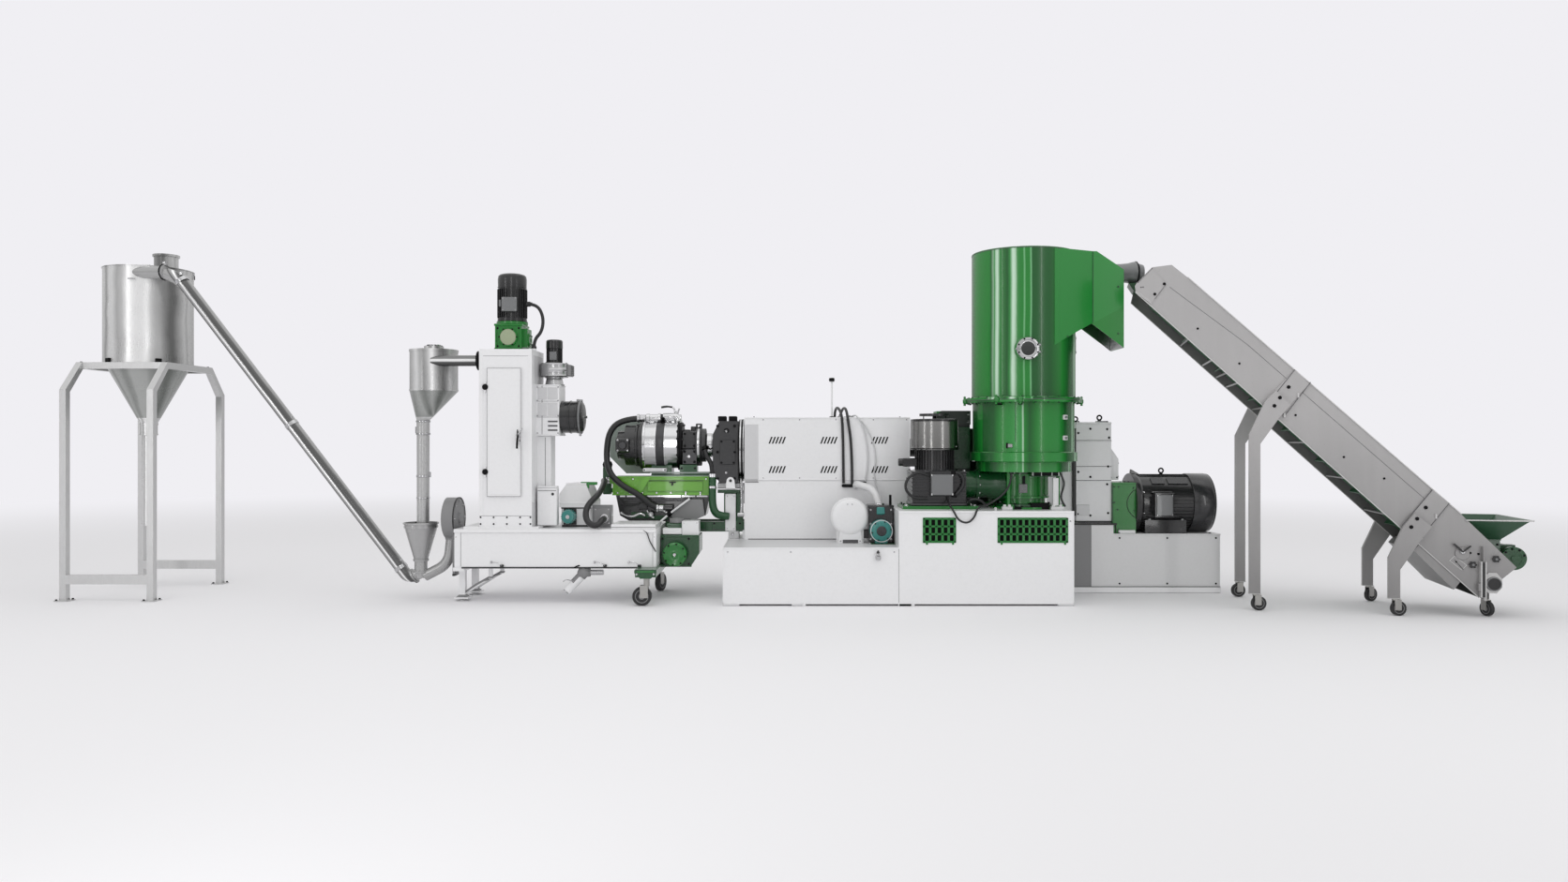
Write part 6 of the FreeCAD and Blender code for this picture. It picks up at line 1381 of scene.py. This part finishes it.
# Compactor motor
# An upright black flange motor: a polished steel fan cover under a rain cap, a dark grey bell
# with cast ribs, a grey terminal box and its conduits.
MIX = (1410, 530)
COVER_STEEL = satin_metal("fan_cover_steel", (0.34, 0.335, 0.33), 0.2, (6, 6, 1), 40.0)
BELL = paint("bell_enamel", (0.045, 0.045, 0.048), 0.18, 0.5, 0.1)
dress("compactor_motor", BLACK)
fan_cover = [(1384, 172), (1384, 221), (1390, 225), (1398, 224), (1640, 224), (1660, 219),
             (1671, 204), (1673, 190), (1671, 60), (1671, 14)]
rain_cap = [(1699, 4), (1699, 136), (1703, 141), (1712, 139), (1722, 90), (1726, 4)]
piece("fan_cover", [
    (turned(fan_cover, "Z", MIX, 72), COVER_STEEL),
    (turned([(1392, 223), (1392, 227), (1400, 227), (1400, 223)], "Z", MIX, 72, True), DARK),
    (turned(rain_cap, "Z", MIX, 56), BELL),
    (turned([(1670, 14), (1670, 18), (1700, 18), (1700, 14)], "Z", MIX, 20, True), DARK),
    (spun(slab((1525, 1533), (526, 534), (1671, 1701), 2), "Z", MIX, (20, 140, 260)), DARK),
    (spun(hexes([(1635, 530, 1415)], "X", 12, 5), "Z", MIX, (-125, -35, 55, 145)), BRIGHT)],
      "black_motor")
piece("motor_bell", [
    (ribs("Z", MIX, (1196, 1382), 169, 15, np.arange(0, 360, 10)), BLACK),
    (turned([(1186, 168), (1186, 202), (1198, 202), (1204, 168)], "Z", MIX, 56, True), BELL),
    (slab((1172, 1682), (322, 738), (1170, 1190), 8), BELL),
    (slab((1168, 1686), (318, 742), (869, 900), 8), BELL),
    (at(slab((1176, 1678), (323, 331), (-5, 5), 3), [(0, 0, z) for z in range(930, 1160, 38)]),
     BELL),
    (at(slab((1173, 1181), (336, 724), (-5, 5), 3), [(0, 0, z) for z in range(930, 1160, 38)]),
     BELL),
    (at(turned([(900, 4), (900, 15), (912, 15), (916, 4)], "Z", (0, 0), 12),
        [(x, y, 0) for x in (1196, 1658) for y in (346, 714)]), BRIGHT),
    (hexes([(x, y, 1190) for x in (1196, 1658) for y in (346, 714)], "Z", 22, 12), BRIGHT),
    (hexes([(x, y, 869) for x in (1120, 1750) for y in (330, 530, 730)], "Z", 26, 16), BRIGHT),
    (slab((1339, 1555), (284, 296), (960, 1194), 5), BLACK),
    (slab((1349, 1545), (276, 286), (972, 1160), 4), MOTOR_GREY),
    (at(slab((-5, 5), (272, 280), (-9, 9), 2), [(1352, 0, 1154), (1542, 0, 1154),
                                               (1352, 0, 978), (1542, 0, 978)]), PALE),
    (slab((1110, 1250), (478, 584), (1228, 1306), 6), BLACK),
    (turned([(1070, 4), (1070, 30), (1078, 36), (1110, 36), (1112, 20)], "X", (530, 1268), 24),
     BLACK)], "black_motor")
piece("motor_conduits", [
    (pipe([(1548, 292, 1180), (1608, 284, 1168), (1642, 280, 1110), (1628, 280, 1040),
           (1570, 290, 968)], 15), CABLE_BLACK),
    (pipe([(1330, 320, 1150), (1220, 300, 1176), (1130, 296, 1110), (1120, 296, 1020),
           (1190, 300, 950), (1320, 316, 940)], 13), CABLE_BLACK),
    (turned([(1160, 10), (1160, 24), (1192, 24), (1192, 10)], "Z", (1552, 292), 16, True), DARK),
    (turned([(950, 10), (950, 24), (980, 24), (980, 10)], "Z", (1560, 294), 16, True), DARK),
    (pipe([(1690, 330, 880), (1700, 250, 930), (1780, 240, 930), (1860, 260, 870)], 11),
     CABLE_BLACK)], "hose_rubber")
# The belt guard behind the motor is a black-green sheet box with a bevelled hood.
BELT_GUARD = paint("belt_guard_enamel", (0.010, 0.022, 0.014), 0.3, 0.3, 0.1)
hood_edge = [(1624, 1462), (1624, 1790), (1757, 1790), (1757, 1512), (1717, 1462)]
piece("belt_guard", [
    (prism(hood_edge, "Y", 762, 1008), BELT_GUARD),
    (slab((1461, 1784), (765, 1005), (846, 1626), 3), BELT_GUARD),
    (slab((1560, 1784), (758, 768), (1200, 1600), 4), DARK_GREEN),
    (slab((1476, 1784), (760, 770), (1606, 1616), 3), BLACK),
    (slab((1776, 2120), (996, 1003), (842, 1270), 2), BELT_GUARD),
    (slab((1776, 1850), (985, 1003), (1270, 1590), 3), BELT_GUARD),
    (hexes([(x, 762, z) for x in (1500, 1770) for z in (1650, 1720)], "Y", 13, 6, -1), BRIGHT)],
      "black_motor")

# Main gearbox
# A pale grey welded gear case in four bolted tiers, with a wedge-shaped shoulder at its
# right, a black joint strip at its left and lifting eyes on top.
GEAR_GREY = paint("gear_case_enamel", (0.80, 0.80, 0.81), 0.32, 0.1, 0.05)
dress("gearbox", GEAR_GREY)


def lifting_eye(x, y, z):
    """An eye bolt: a ring on a collar, standing on a machine's top."""
    radius, thick = 22, 8
    turn = np.radians(np.arange(0, 360, 45))
    ring = [(y + thick * math.sin(a), radius + thick * math.cos(a)) for a in turn]
    foot = [(z - 2, 4), (z - 2, 17), (z + 8, 17), (z + 10, 10), (z + 16, 10), (z + 16, 4)]
    return [(turned(ring, "Y", (z + 12 + radius, x), 24, True), DARK),
            (turned(foot, "Z", (x, y), 20), DARK)]


CASE_BOLTS = [(2861, 1544), (2978, 1586), (3141, 1582), (3160, 1499), (3150, 1219), (2861, 1166),
              (2978, 1118), (3141, 1046), (3150, 766), (2978, 743), (2856, 758)]
piece("gear_case_trim", [
    (at(slab((2838, 3183), (897, 1333), (-2.5, 2.5), 1), [(0, 0, z) for z in (1472, 1219, 1083)]),
     SEAM),
    (slab((2838, 3183), (894, 1336), (672, 690), 3), BLACK_TRIM),
    # This grey panel is painted shade low on the case's left.
    (slab((2842, 2967), (893, 901), (743, 848), 3), PANEL_GREY),
    (slab((2838, 3183), (892, 1338), (1628, 1646), 4), GEAR_GREY),
    (slab((2836, 3185), (890, 1340), (1462, 1470), 2), GEAR_GREY),
    (slab((2812, 2842), (905, 965), (740, 1590), 4), BLACK_TRIM),
    (slab((2715, 2812), (938, 952), (765, 1180), 3), PALE),
    (hexes([(x, 900, z) for x, z in CASE_BOLTS], "Y", 17, 9, -1), DARK),
    (hexes([(x, y, 1650) for x in (2870, 3150) for y in (930, 1300)], "Z", 20, 12), DARK),
    (slab((3080, 3176), (1010, 1090), (1648, 1664), 3), MOTOR_GREY),
    (hexes([(3276, 1000 + 230 * k, z) for k in (0, 1) for z in (1120, 1250)], "X", 15, 8), DARK),
    (hexes([(x, 980, 1110) for x in (3200, 3262)], "Y", 13, 6, -1), DARK)]
    + lifting_eye(2890, 1115, 1650) + lifting_eye(3128, 1115, 1664), "grey_paint")

# Coupling guard and main motor
# Green sheet steel closes the coupling. The motor is a black ribbed casting on two feet with
# a smooth sheet cowl over its fan, and a grey terminal box at its side.
COWL = paint("cowl_enamel", (0.026, 0.026, 0.029), 0.22, 0.4, 0.06)
MAIN = (1115, 858)
dress("coupling_guard", GREEN)
dress("main_motor", BLACK)
arc = np.radians(np.linspace(206, 334, 24))
piece("guard_trim", [
    (pipe([(3480 + 152 * math.sin(a), 880, 858 + 152 * math.cos(a)) for a in arc], 3.5, 8,
          False), BLACK_TRIM),
    (hexes([(x, 880, z) for x, z in ((3204, 1022), (3248, 1022), (3204, 870), (3236, 800),
                                     (3204, 640), (3248, 610), (3392, 1010), (3398, 790))],
           "Y", 14, 7, -1), DARK_GREEN),
    (slab((3181, 3415), (876, 884), (1046, 1064), 3), GREEN),
    (slab((3181, 3192), (874, 884), (575, 1050), 3), DARK_GREEN),
    (hexes([(x, 1000, 1064) for x in (3300, 3340, 3380)], "Z", 14, 8), DARK)], "green_paint")
cowl = [(3968, 268), (3968, 286), (3974, 289), (4150, 289), (4168, 285), (4180, 274),
        (4183, 258), (4183, 4)]
pad = slab((0, 1), (1115 + 266, 1115 + 279), (858 - 46, 858 + 46), 3)
piece("main_motor_trim", [
    (ribs("X", MAIN, (3486, 3966), 269, 13, [a for a in np.arange(0, 360, 7.5)
                                            if not 105 < a < 150], 5), BLACK),
    (turned(cowl, "X", MAIN, 80), COWL),
    (turned([(3416, 200), (3416, 287), (3422, 290), (3462, 290), (3468, 286), (3484, 276),
             (3484, 200)], "X", MAIN, 80, True), BLACK),
    (ring_bolts("X", MAIN, 3484, 262, 8, 20, 12, 1, 20), BRIGHT),
    (prism([(1118, 3430), (1186, 3438), (1150, 3500), (1118, 3545)], "Y", 1092, 1138), BLACK),
    (slab((3562, 3746), (765, 778), (732, 968), 4), BLACK),
    (slab((3578, 3730), (757, 767), (752, 948), 4), MOTOR_GREY),
    (at(slab((-5, 5), (754, 762), (-8, 8), 2), [(3582, 0, 942), (3726, 0, 942), (3582, 0, 756),
                                               (3726, 0, 756)]), BRIGHT),
    (slab((3554, 3754), (840, 900), (960, 980), 4), BLACK),
    (hexes([(x, 860, 700) for x in (3540, 3860)], "Z", 26, 16), BRIGHT),
    (hexes([(x, y, 571) for x in (3240, 4120) for y in (850, 1380)], "Z", 20, 10), DARK)]
    + [(spun((pad[0] * [x1 - x0, 1, 1] + [x0, 0, 0], pad[1]), "X", MAIN, (127,)), COWL)
       for x0, x1 in ((3584, 3706), (3742, 3934))]
    + lifting_eye(3739, 1115, 1140), "black_motor")
# Sloping conveyor
# Two folded side plates of grey sheet steel carry a cleated belt between them. The legs are
# folded channels that hang from bolted collar bands, and everything stands turned 15 degrees
# to the line. Its pieces are drawn in the conveyor's own frame and turned as one.
LEAN, CONVEYOR_AT = math.radians(15), (4095, -211)


def sheet_paint(name, colour, rough=0.36, low=1.0):
    """Zinc-grey enamel on sheet: cloudy, wiped in streaks, scuffed, darker towards the floor by
    painted shade.
    """
    finish = Finish(name)
    cloud = finish.noise(1.1, 3.0)
    streak = finish.noise(14.0, 3.0, (1, 1, 0.15))
    scuff = finish.noise(60.0, 2.0) > 0.69
    place = finish.node("ShaderNodeTexCoord", out="Object")
    level = finish.node("ShaderNodeSeparateXYZ", {}, {"Vector": place}, out="Z")
    # Painted shade: the colour falls to low times itself towards the floor.
    level = finish.node("ShaderNodeMapRange", {}, {"Value": level + 0.5 * (cloud - 0.5),
                                                   "From Min": 0.2, "From Max": 1.7}, out=0)
    shade = tuple(c * low for c in colour)
    tone = finish.mix(level, shade, colour)
    tone = finish.mix(0.30 * finish.math("MULTIPLY_ADD", cloud, 2.4, True), tone,
                      tuple(c * 0.72 for c in colour))
    tone = finish.mix(0.12 * streak, tone, tuple(min(1, c * 1.4) for c in colour))
    tone = finish.mix(0.10 * scuff, tone, (0.16, 0.16, 0.155))
    # What lies between the side plates gets painted shade, near black, as in their shadow.
    across = finish.node("ShaderNodeVectorMath", {"operation": "DOT_PRODUCT"},
                         {0: place, 1: (math.sin(LEAN), math.cos(LEAN), 0)}, out="Value")
    start = mm([*CONVEYOR_AT, 0])
    across = across - float(start[0] * math.sin(LEAN) + start[1] * math.cos(LEAN))
    painted_inner_shade = (across > 0.03) * (across < 0.778)
    tone = finish.mix(0.72 * painted_inner_shade, tone, (0.05, 0.052, 0.048))
    return finish.surface({"Base Color": tone, "Roughness": rough + 0.2 * (cloud - 0.5)
                           + 0.06 * streak, "Metallic": 0.25}, streak, 0.05, 0.0004)


CONVEYOR = sheet_paint("conveyor_enamel", (0.48, 0.47, 0.47), 0.36, 0.38)
CONVEYOR_EDGE = sheet_paint("conveyor_edge", (0.68, 0.675, 0.67), 0.3, 0.7)
BELT = rubber("belt_rubber", (0.010, 0.075, 0.028), 0.4)
dress("conveyor_frame", CONVEYOR)
dress("conveyor_belt", BELT)


def beside(u, v):
    """The line's X and Y of a place along (u) and across (v) the conveyor."""
    return (CONVEYOR_AT[0] + u * math.cos(LEAN) + v * math.sin(LEAN),
            CONVEYOR_AT[1] - u * math.sin(LEAN) + v * math.cos(LEAN))


def turned_out(shape):
    """A shape from the conveyor's own frame, turned and set down beside the drum."""
    points, faces = shape
    u, v, z = np.asarray(points, float).T
    return np.stack([*beside(u, v), z], -1), faces


def bar(one, two, wide, v):
    """A strip on the side plate: it runs between two (u, z) places and spans v."""
    one, two = np.array(one, float), np.array(two, float)
    way = (two - one) / np.linalg.norm(two - one)
    across = np.array([-way[1], way[0]]) * wide / 2
    ring = [one - across, two - across, two + across, one + across]
    return prism([(z, u) for u, z in ring], "Y", v[0], v[1])


def leaning(name, parts, slot, **more):
    piece(name, [(turned_out(shape), material) for shape, material in parts], slot, **more)


TOP = [(-551, 2912), (1585, 861)]
FOOT = [(-992, 2796), (1716, 169)]
SEAM_LINE = [(-704, 2832), (-64, 2308), (1330, 968)]
HEAD_PLATE = [(-852, 3010), (-977, 2883), (-996, 2851), (-989, 2802), (-856, 2692), (-733, 2858)]
SPOTS = [(-469, 2457), (-128, 2143), (322, 1690), (700, 1330), (1010, 1150), (1653, 538),
         (1713, 531), (1548, 462)]
near, far = (-9, 1), (779, 789)
leaning("conveyor_trim", [
    (bar(*TOP, 7, near), CONVEYOR_EDGE), (bar(*TOP, 7, far), CONVEYOR_EDGE),
    (bar(*FOOT, 7, near), CONVEYOR_EDGE), (bar(*FOOT, 7, far), CONVEYOR_EDGE),
    (bar(*SEAM_LINE[:2], 3, (-1.5, 1)), SEAM), (bar(*SEAM_LINE[1:], 3, (-1.5, 1)), SEAM),
    (prism([(z, u) for u, z in HEAD_PLATE], "Y", -8, 1), CONVEYOR),
    (bar((-850, 3004), (-972, 2880), 9, (-10, -7)), BLACK_TRIM),
    (bar((-856, 2998), (-966, 2886), 3, (-11, -9)), CONVEYOR_EDGE),
    (bar((-856, 2690), (-990, 2800), 6, (-14, 0)), CONVEYOR_EDGE),
    (bar((-860, 2706), (-976, 2802), 4, (-11, -7)), CONVEYOR_EDGE),
    (bar((-733, 2858), (-828, 2730), 3, (-9.5, -7)), SEAM),
    (hexes([(-748, -8, 2860), (-828, -8, 2772)], "Y", 20, 9, -1), DARK),
    (hexes([(-944, -8, 2837), (-926, -8, 2838)], "Y", 8, 3, -1), DARK),
    (hexes([(u, 0, z) for u, z in SPOTS], "Y", 15, 7, -1), DARK),
    (hexes([(u, 780, z) for u, z in SPOTS], "Y", 15, 7), DARK)], "conveyor_steel")
# Each leg hangs from a collar plate by three round bolts, with two small locating blocks.
LOWER_BOLTS, BLOCKS = [(1320, 910), (1244, 818), (1200, 748)], [(1396, 838), (1287, 668)]
UP = (-1055, 1022)
bands = []
for du, dz in ((0, 0), UP):
    for v, sign in ((-12, -1), (792, 1)):
        deep = (v, v + 42 * sign, v + 42 * sign)
        bands.append((hexes([(u + du, w, z + dz) for (u, z), w in zip(LOWER_BOLTS, deep)], "Y",
                            24, 10, sign), DARK))
        for one, two in (((1370, 1059), (1145, 757)), ((1495, 951), (1279, 649))):
            bands.append((bar((one[0] + du, one[1] + dz), (two[0] + du, two[1] + dz), 5,
                              sorted((v, v + 2 * sign))), SEAM))
    for u, z in BLOCKS:
        bands.append((slab((u + du - 7, u + du + 7), (-22, -10), (z + dz - 20, z + dz + 20), 2),
                      CONVEYOR_EDGE))
for u0, u1 in ((-56, 34), (1030, 1118)):
    for v0, v1 in ((-54, -12), (792, 834)):
        bands.append((slab((u0 - 4, u1 + 4), (v0 - 4, v1 + 4), (142, 149), 2), CONVEYOR_EDGE))
leaning("leg_collars", bands, "conveyor_steel")

# Belt tension and the discharge
# The tail roller turns in an eight-sided bearing cap beside a slotted post. A T-handle and
# two round knobs set the belt's tension. At the head a bell-mouthed spout meets the hood.
eight = np.radians(np.arange(22.5, 382.5, 45))
cap = [(295 + 92 * math.sin(a), 1812 + 74 * math.cos(a)) for a in eight]
star = np.radians(np.arange(0, 360, 6))
lobes = 26 + 4 * np.cos(6 * star)
parts = [
    (prism(cap, "Y", -16, 1), CONVEYOR_EDGE),
    (turned([(-30, 49), (-30, 54), (-26, 58), (-16, 60), (-16, 49)], "Y", (288, 1820), 40, True),
     MOTOR_GREY),
    (turned([(-22, 4), (-22, 50), (-17, 50), (-17, 4)], "Y", (288, 1820), 32), BLACK_TRIM),
    (bar((-352, 2188), (-341, 2177), 10, (8, 772)), CONVEYOR_EDGE),
    (bar((-140, 1983), (-129, 1972), 10, (8, 772)), CONVEYOR_EDGE),
    (slab((1716, 1727), (-50, 0), (176, 474), 2), CONVEYOR_EDGE),
    (slab((1748, 1758), (-50, 0), (150, 474), 2), CONVEYOR_EDGE),
    (slab((1727, 1748), (-48, -2), (180, 466), 1), BLACK_TRIM),
    (prism([(512, 1536), (470, 1496), (392, 1590), (436, 1628)], "Y", -4, 1), CONVEYOR_EDGE),
    (prism([(506, 1536), (470, 1503), (398, 1590), (436, 1621)], "Y", -5, 1), CONVEYOR),
    (bar((1536, 478), (1600, 398), 7, (-5, 1)), SEAM),
    (turned([(-26, 4), (-26, 15), (-20, 20), (0, 22), (0, 4)], "Y", (548, 1592), 24), BRIGHT),
    (bar((1592, 548), (1524, 612), 15, (-32, -20)), BLACK_TRIM),
    (bar((1592, 548), (1650, 598), 11, (-32, -20)), BLACK_TRIM),
    (turned([(-12, 4), (-12, 52), (-4, 56), (0, 56), (0, 4)], "Y", (534, 1592), 32), CONVEYOR)]
for u, z in ((1668, 442), (1838, 493)):
    ring = [(z + lobe * math.sin(a), u + lobe * math.cos(a)) for a, lobe in zip(star, lobes)]
    parts.append((prism(ring, "Y", -24, -6), BLACK_TRIM))
    parts.append((turned([(-28, 4), (-28, 10), (0, 10), (0, 4)], "Y", (z, u), 16), MOTOR_GREY))
parts.append((prism([(2940, -1030), (2940, -905), (2868, -905), (2866, -984)], "Y", 430, 712),
              DARK_GREEN))
leaning("belt_tension", parts, "conveyor_steel")
SPOUT = [(2926, 78), (2926, 84), (3160, 86), (3226, 92), (3266, 102), (3296, 109), (3302, 107),
         (3298, 99), (3260, 90), (3210, 80), (3130, 78)]
piece("feed_spout", [
    (turned(SPOUT, "X", (560, 3046), 48, True), MOTOR_GREY),
    (turned([(3296, 100), (3298, 111), (3307, 111), (3307, 100)], "X", (560, 3046), 48, True),
     DARK),
    (turned([(3318, 4), (3316, 84), (3322, 92), (3368, 78), (3374, 4)], "X", (560, 3046), 40),
     MOTOR_GREY)], "conveyor_steel")

# Feed hopper
# An open funnel of dark green sheet with a folded rim, and its green drive motor under the
# low side.
HOPPER_GREEN = paint("hopper_enamel", (0.016, 0.085, 0.035), 0.32, 0.2, 0.12)
dress("feed_hopper", HOPPER_GREEN)
dress("hopper_motor", DARK_GREEN)
leaning("hopper_trim", [
    (slab((1615, 2114), (-15, -9), (805, 817), 2), CONVEYOR_EDGE),
    (slab((1615, 1621), (-15, 795), (805, 817), 2), PALE),
    (slab((2108, 2114), (-15, 795), (805, 817), 2), PALE),
    (slab((1615, 2114), (789, 795), (805, 817), 2), PALE),
    (slab((1806, 1927), (144, 636), (634, 644), 2), HOPPER_GREEN),
    (hexes([(u, 144, 600) for u in (1830, 1900)], "Y", 14, 7, -1), DARK)], "dark_green_paint")
HOPPER_MOTOR = (486, 2022)
ring_a = [(146, 60), (146, 92), (152, 97), (160, 97), (160, 60)]
leaning("hopper_motor_trim", [
    (turned(ring_a, "Y", HOPPER_MOTOR, 48, True), DARK_GREEN),
    (turned([(300, 94), (300, 99), (312, 99), (312, 94)], "Y", HOPPER_MOTOR, 48, True), GREEN),
    (turned([(438, 94), (438, 99), (452, 99), (452, 70)], "Y", HOPPER_MOTOR, 48, True),
     DARK_GREEN),
    (turned([(142, 4), (142, 22), (150, 24), (150, 4)], "Y", HOPPER_MOTOR, 24), DARK_GREEN),
    (hexes([(2022 + 80 * math.cos(a), 146, 486 + 80 * math.sin(a))
            for a in np.radians(np.arange(20, 180, 40))], "Y", 14, 7, -1), DARK)],
        "green_paint")

# Casters
# Swivel casters: zinc-plated pressed forks under a ball race, black rubber tyres on grey
# moulded hubs, and a capped axle bolt.
FORK = satin_metal("zinc_fork", (0.52, 0.51, 0.49), 0.34, (2, 2, 1), 60.0)
TYRE = rubber("caster_tyre", (0.016, 0.016, 0.017), 0.5)
HUB = paint("caster_hub", (0.28, 0.28, 0.285), 0.4)
SMALL, BIG = (62, 32, 26), (85, 42, 41)


def dress_caster(name, x, y, kind, heading):
    """The finish and the trim of one caster: a hub ring and cap ride the wheel."""
    radius, wide, trail = kind
    turn = math.radians(heading)
    dress(name + "_fork", FORK)
    dress(name + "_wheel", TYRE)
    half = wide / 2
    disc = [(-half - 1.5, 4), (-half - 1.5, radius * 0.30), (-half + 1, radius * 0.34),
            (-half + 1, radius * 0.62), (-half - 1, radius * 0.66), (-half - 1, radius * 0.70),
            (-half + 3, radius * 0.72), (-half + 3, 4)]
    other = [(-a, r) for a, r in disc[::-1]]
    shapes = [turned(disc, "Y", (0, 0), 40), turned(other, "Y", (0, 0), 40)]
    placed = []
    for points, faces in shapes:
        a, b, c = np.asarray(points, float).T
        spot = np.stack([x + (trail + a) * math.cos(turn) - b * math.sin(turn),
                         y + (trail + a) * math.sin(turn) + b * math.cos(turn),
                         radius + c], -1)
        placed.append(((spot, faces), HUB))
    piece(name + "_hub", placed, "caster_steel", body=name + "_wheel")


for name, u, v, heading in (("upper_near", -2, -33, 0), ("upper_far", -2, 813, 180),
                            ("lower_near", 1084, -33, 0), ("lower_far", 1084, 813, 20),
                            ("tail", 1814, 174, -80)):
    dress_caster(name, *beside(u, v), SMALL, heading)
dress_caster("trolley_near", -1223, 20, BIG, 180)
dress_caster("trolley_far", -1223, 960, BIG, 70)


# Floor, backdrop and lights
# A pale studio: a floor that fades into the backdrop, two tall strip lamps whose streaks
# show on round metal, and a wide soft lamp overhead.
def pale(colour):
    """The colour that a lens sees of floor and backdrop, from its screen value."""
    return tuple((c / 255 / 12.92) if c / 255 <= 0.04045 else ((c / 255 + 0.055) / 1.055) ** 2.4
                 for c in colour)


BACKDROP = pale((240, 239, 243))
world = bpy.data.worlds.new("studio")
world.use_nodes = True
bpy.context.scene.world = world
air = Finish.__new__(Finish)
air.tree = world.node_tree
air.tree.nodes.clear()
ray = air.node("ShaderNodeLightPath", out="Is Camera Ray")
glossy = air.node("ShaderNodeLightPath", out="Is Glossy Ray")
glass = air.node("ShaderNodeLightPath", out="Is Transmission Ray")
direction = air.node("ShaderNodeTexCoord", out="Generated")
height = air.node("ShaderNodeSeparateXYZ", {}, {"Vector": direction}, out="Z")
mirror = air.node("ShaderNodeValToRGB", {"stops": [
    (0.0, 0.5), (0.47, 0.62), (0.5, 0.3), (0.53, 0.5), (0.62, 0.9), (1.0, 1.1)]},
    {"Fac": height * 0.5 + 0.5})
soft = air.node("ShaderNodeBackground", {}, {"Color": (1, 1, 1, 1), "Strength": 0.80})
shine = air.node("ShaderNodeBackground", {}, {"Color": mirror, "Strength": 0.85})
seen = air.node("ShaderNodeBackground", {}, {"Color": (*BACKDROP, 1), "Strength": 1.0})
light_or_shine = air.node("ShaderNodeMixShader", {}, {0: glossy, 1: soft, 2: shine})
both = air.node("ShaderNodeMixShader", {}, {0: air.math("ADD", ray, glass, True),
                                            1: light_or_shine, 2: seen})
air.node("ShaderNodeOutputWorld", {}, {"Surface": both})

ground = Finish("studio_floor")
place = ground.node("ShaderNodeTexCoord", out="Object")
far = ground.node("ShaderNodeVectorMath", {"operation": "LENGTH"}, {0: place}, out="Value")
fade = ground.node("ShaderNodeMapRange", {"interpolation_type": "SMOOTHSTEP"},
                   {"Value": far, "From Min": 9.0, "From Max": 24.0, "To Min": 0.0,
                    "To Max": 1.0})
lit = ground.node("ShaderNodeBsdfDiffuse", {}, {"Color": (0.875, 0.868, 0.885, 1)})
flat = ground.node("ShaderNodeEmission", {}, {"Color": (*BACKDROP, 1), "Strength": 1.0})
ground.node("ShaderNodeOutputMaterial", {}, {"Surface": ground.node(
    "ShaderNodeMixShader", {}, {0: fade, 1: lit, 2: flat})})
rim = np.radians(np.arange(0, 360, 5))
plane = bpy.data.meshes.new("floor")
plane.from_pydata([(60 * math.cos(a), 60 * math.sin(a), -0.0005) for a in rim], [],
                  [list(range(len(rim)))])
plane.materials.append(ground.material)
floor = bpy.data.objects.new("floor", plane)
bpy.context.scene.collection.objects.link(floor)


def lamp(name, place, aim, wide, tall, watts):
    """A soft rectangular lamp that faces a point."""
    light = bpy.data.lights.new(name, "AREA")
    light.shape, light.size, light.size_y = "RECTANGLE", wide, tall
    light.energy = watts
    made = bpy.data.objects.new(name, light)
    made.location = mm(place)
    way = mm(aim) - mm(place)
    up = math.atan2(way[2], math.hypot(way[0], way[1]))
    made.rotation_euler = (math.radians(90) + up, 0, math.atan2(way[1], way[0])
                           - math.radians(90))
    bpy.context.scene.collection.objects.link(made)


lamp("strip_left", (-1900, -7600, 2600), (0, 400, 1500), 0.3, 6.5, 42)
lamp("strip_right", (6200, -7200, 2600), (2000, 400, 1500), 0.3, 6.5, 42)
lamp("strip_far_left", (-9000, -6500, 2600), (-3000, 400, 1500), 0.4, 6.0, 50)
lamp("overhead", (0, -1500, 8200), (0, 0, 0), 14.0, 7.0, 120)

scene = bpy.context.scene
scene.view_settings.view_transform = "Standard"
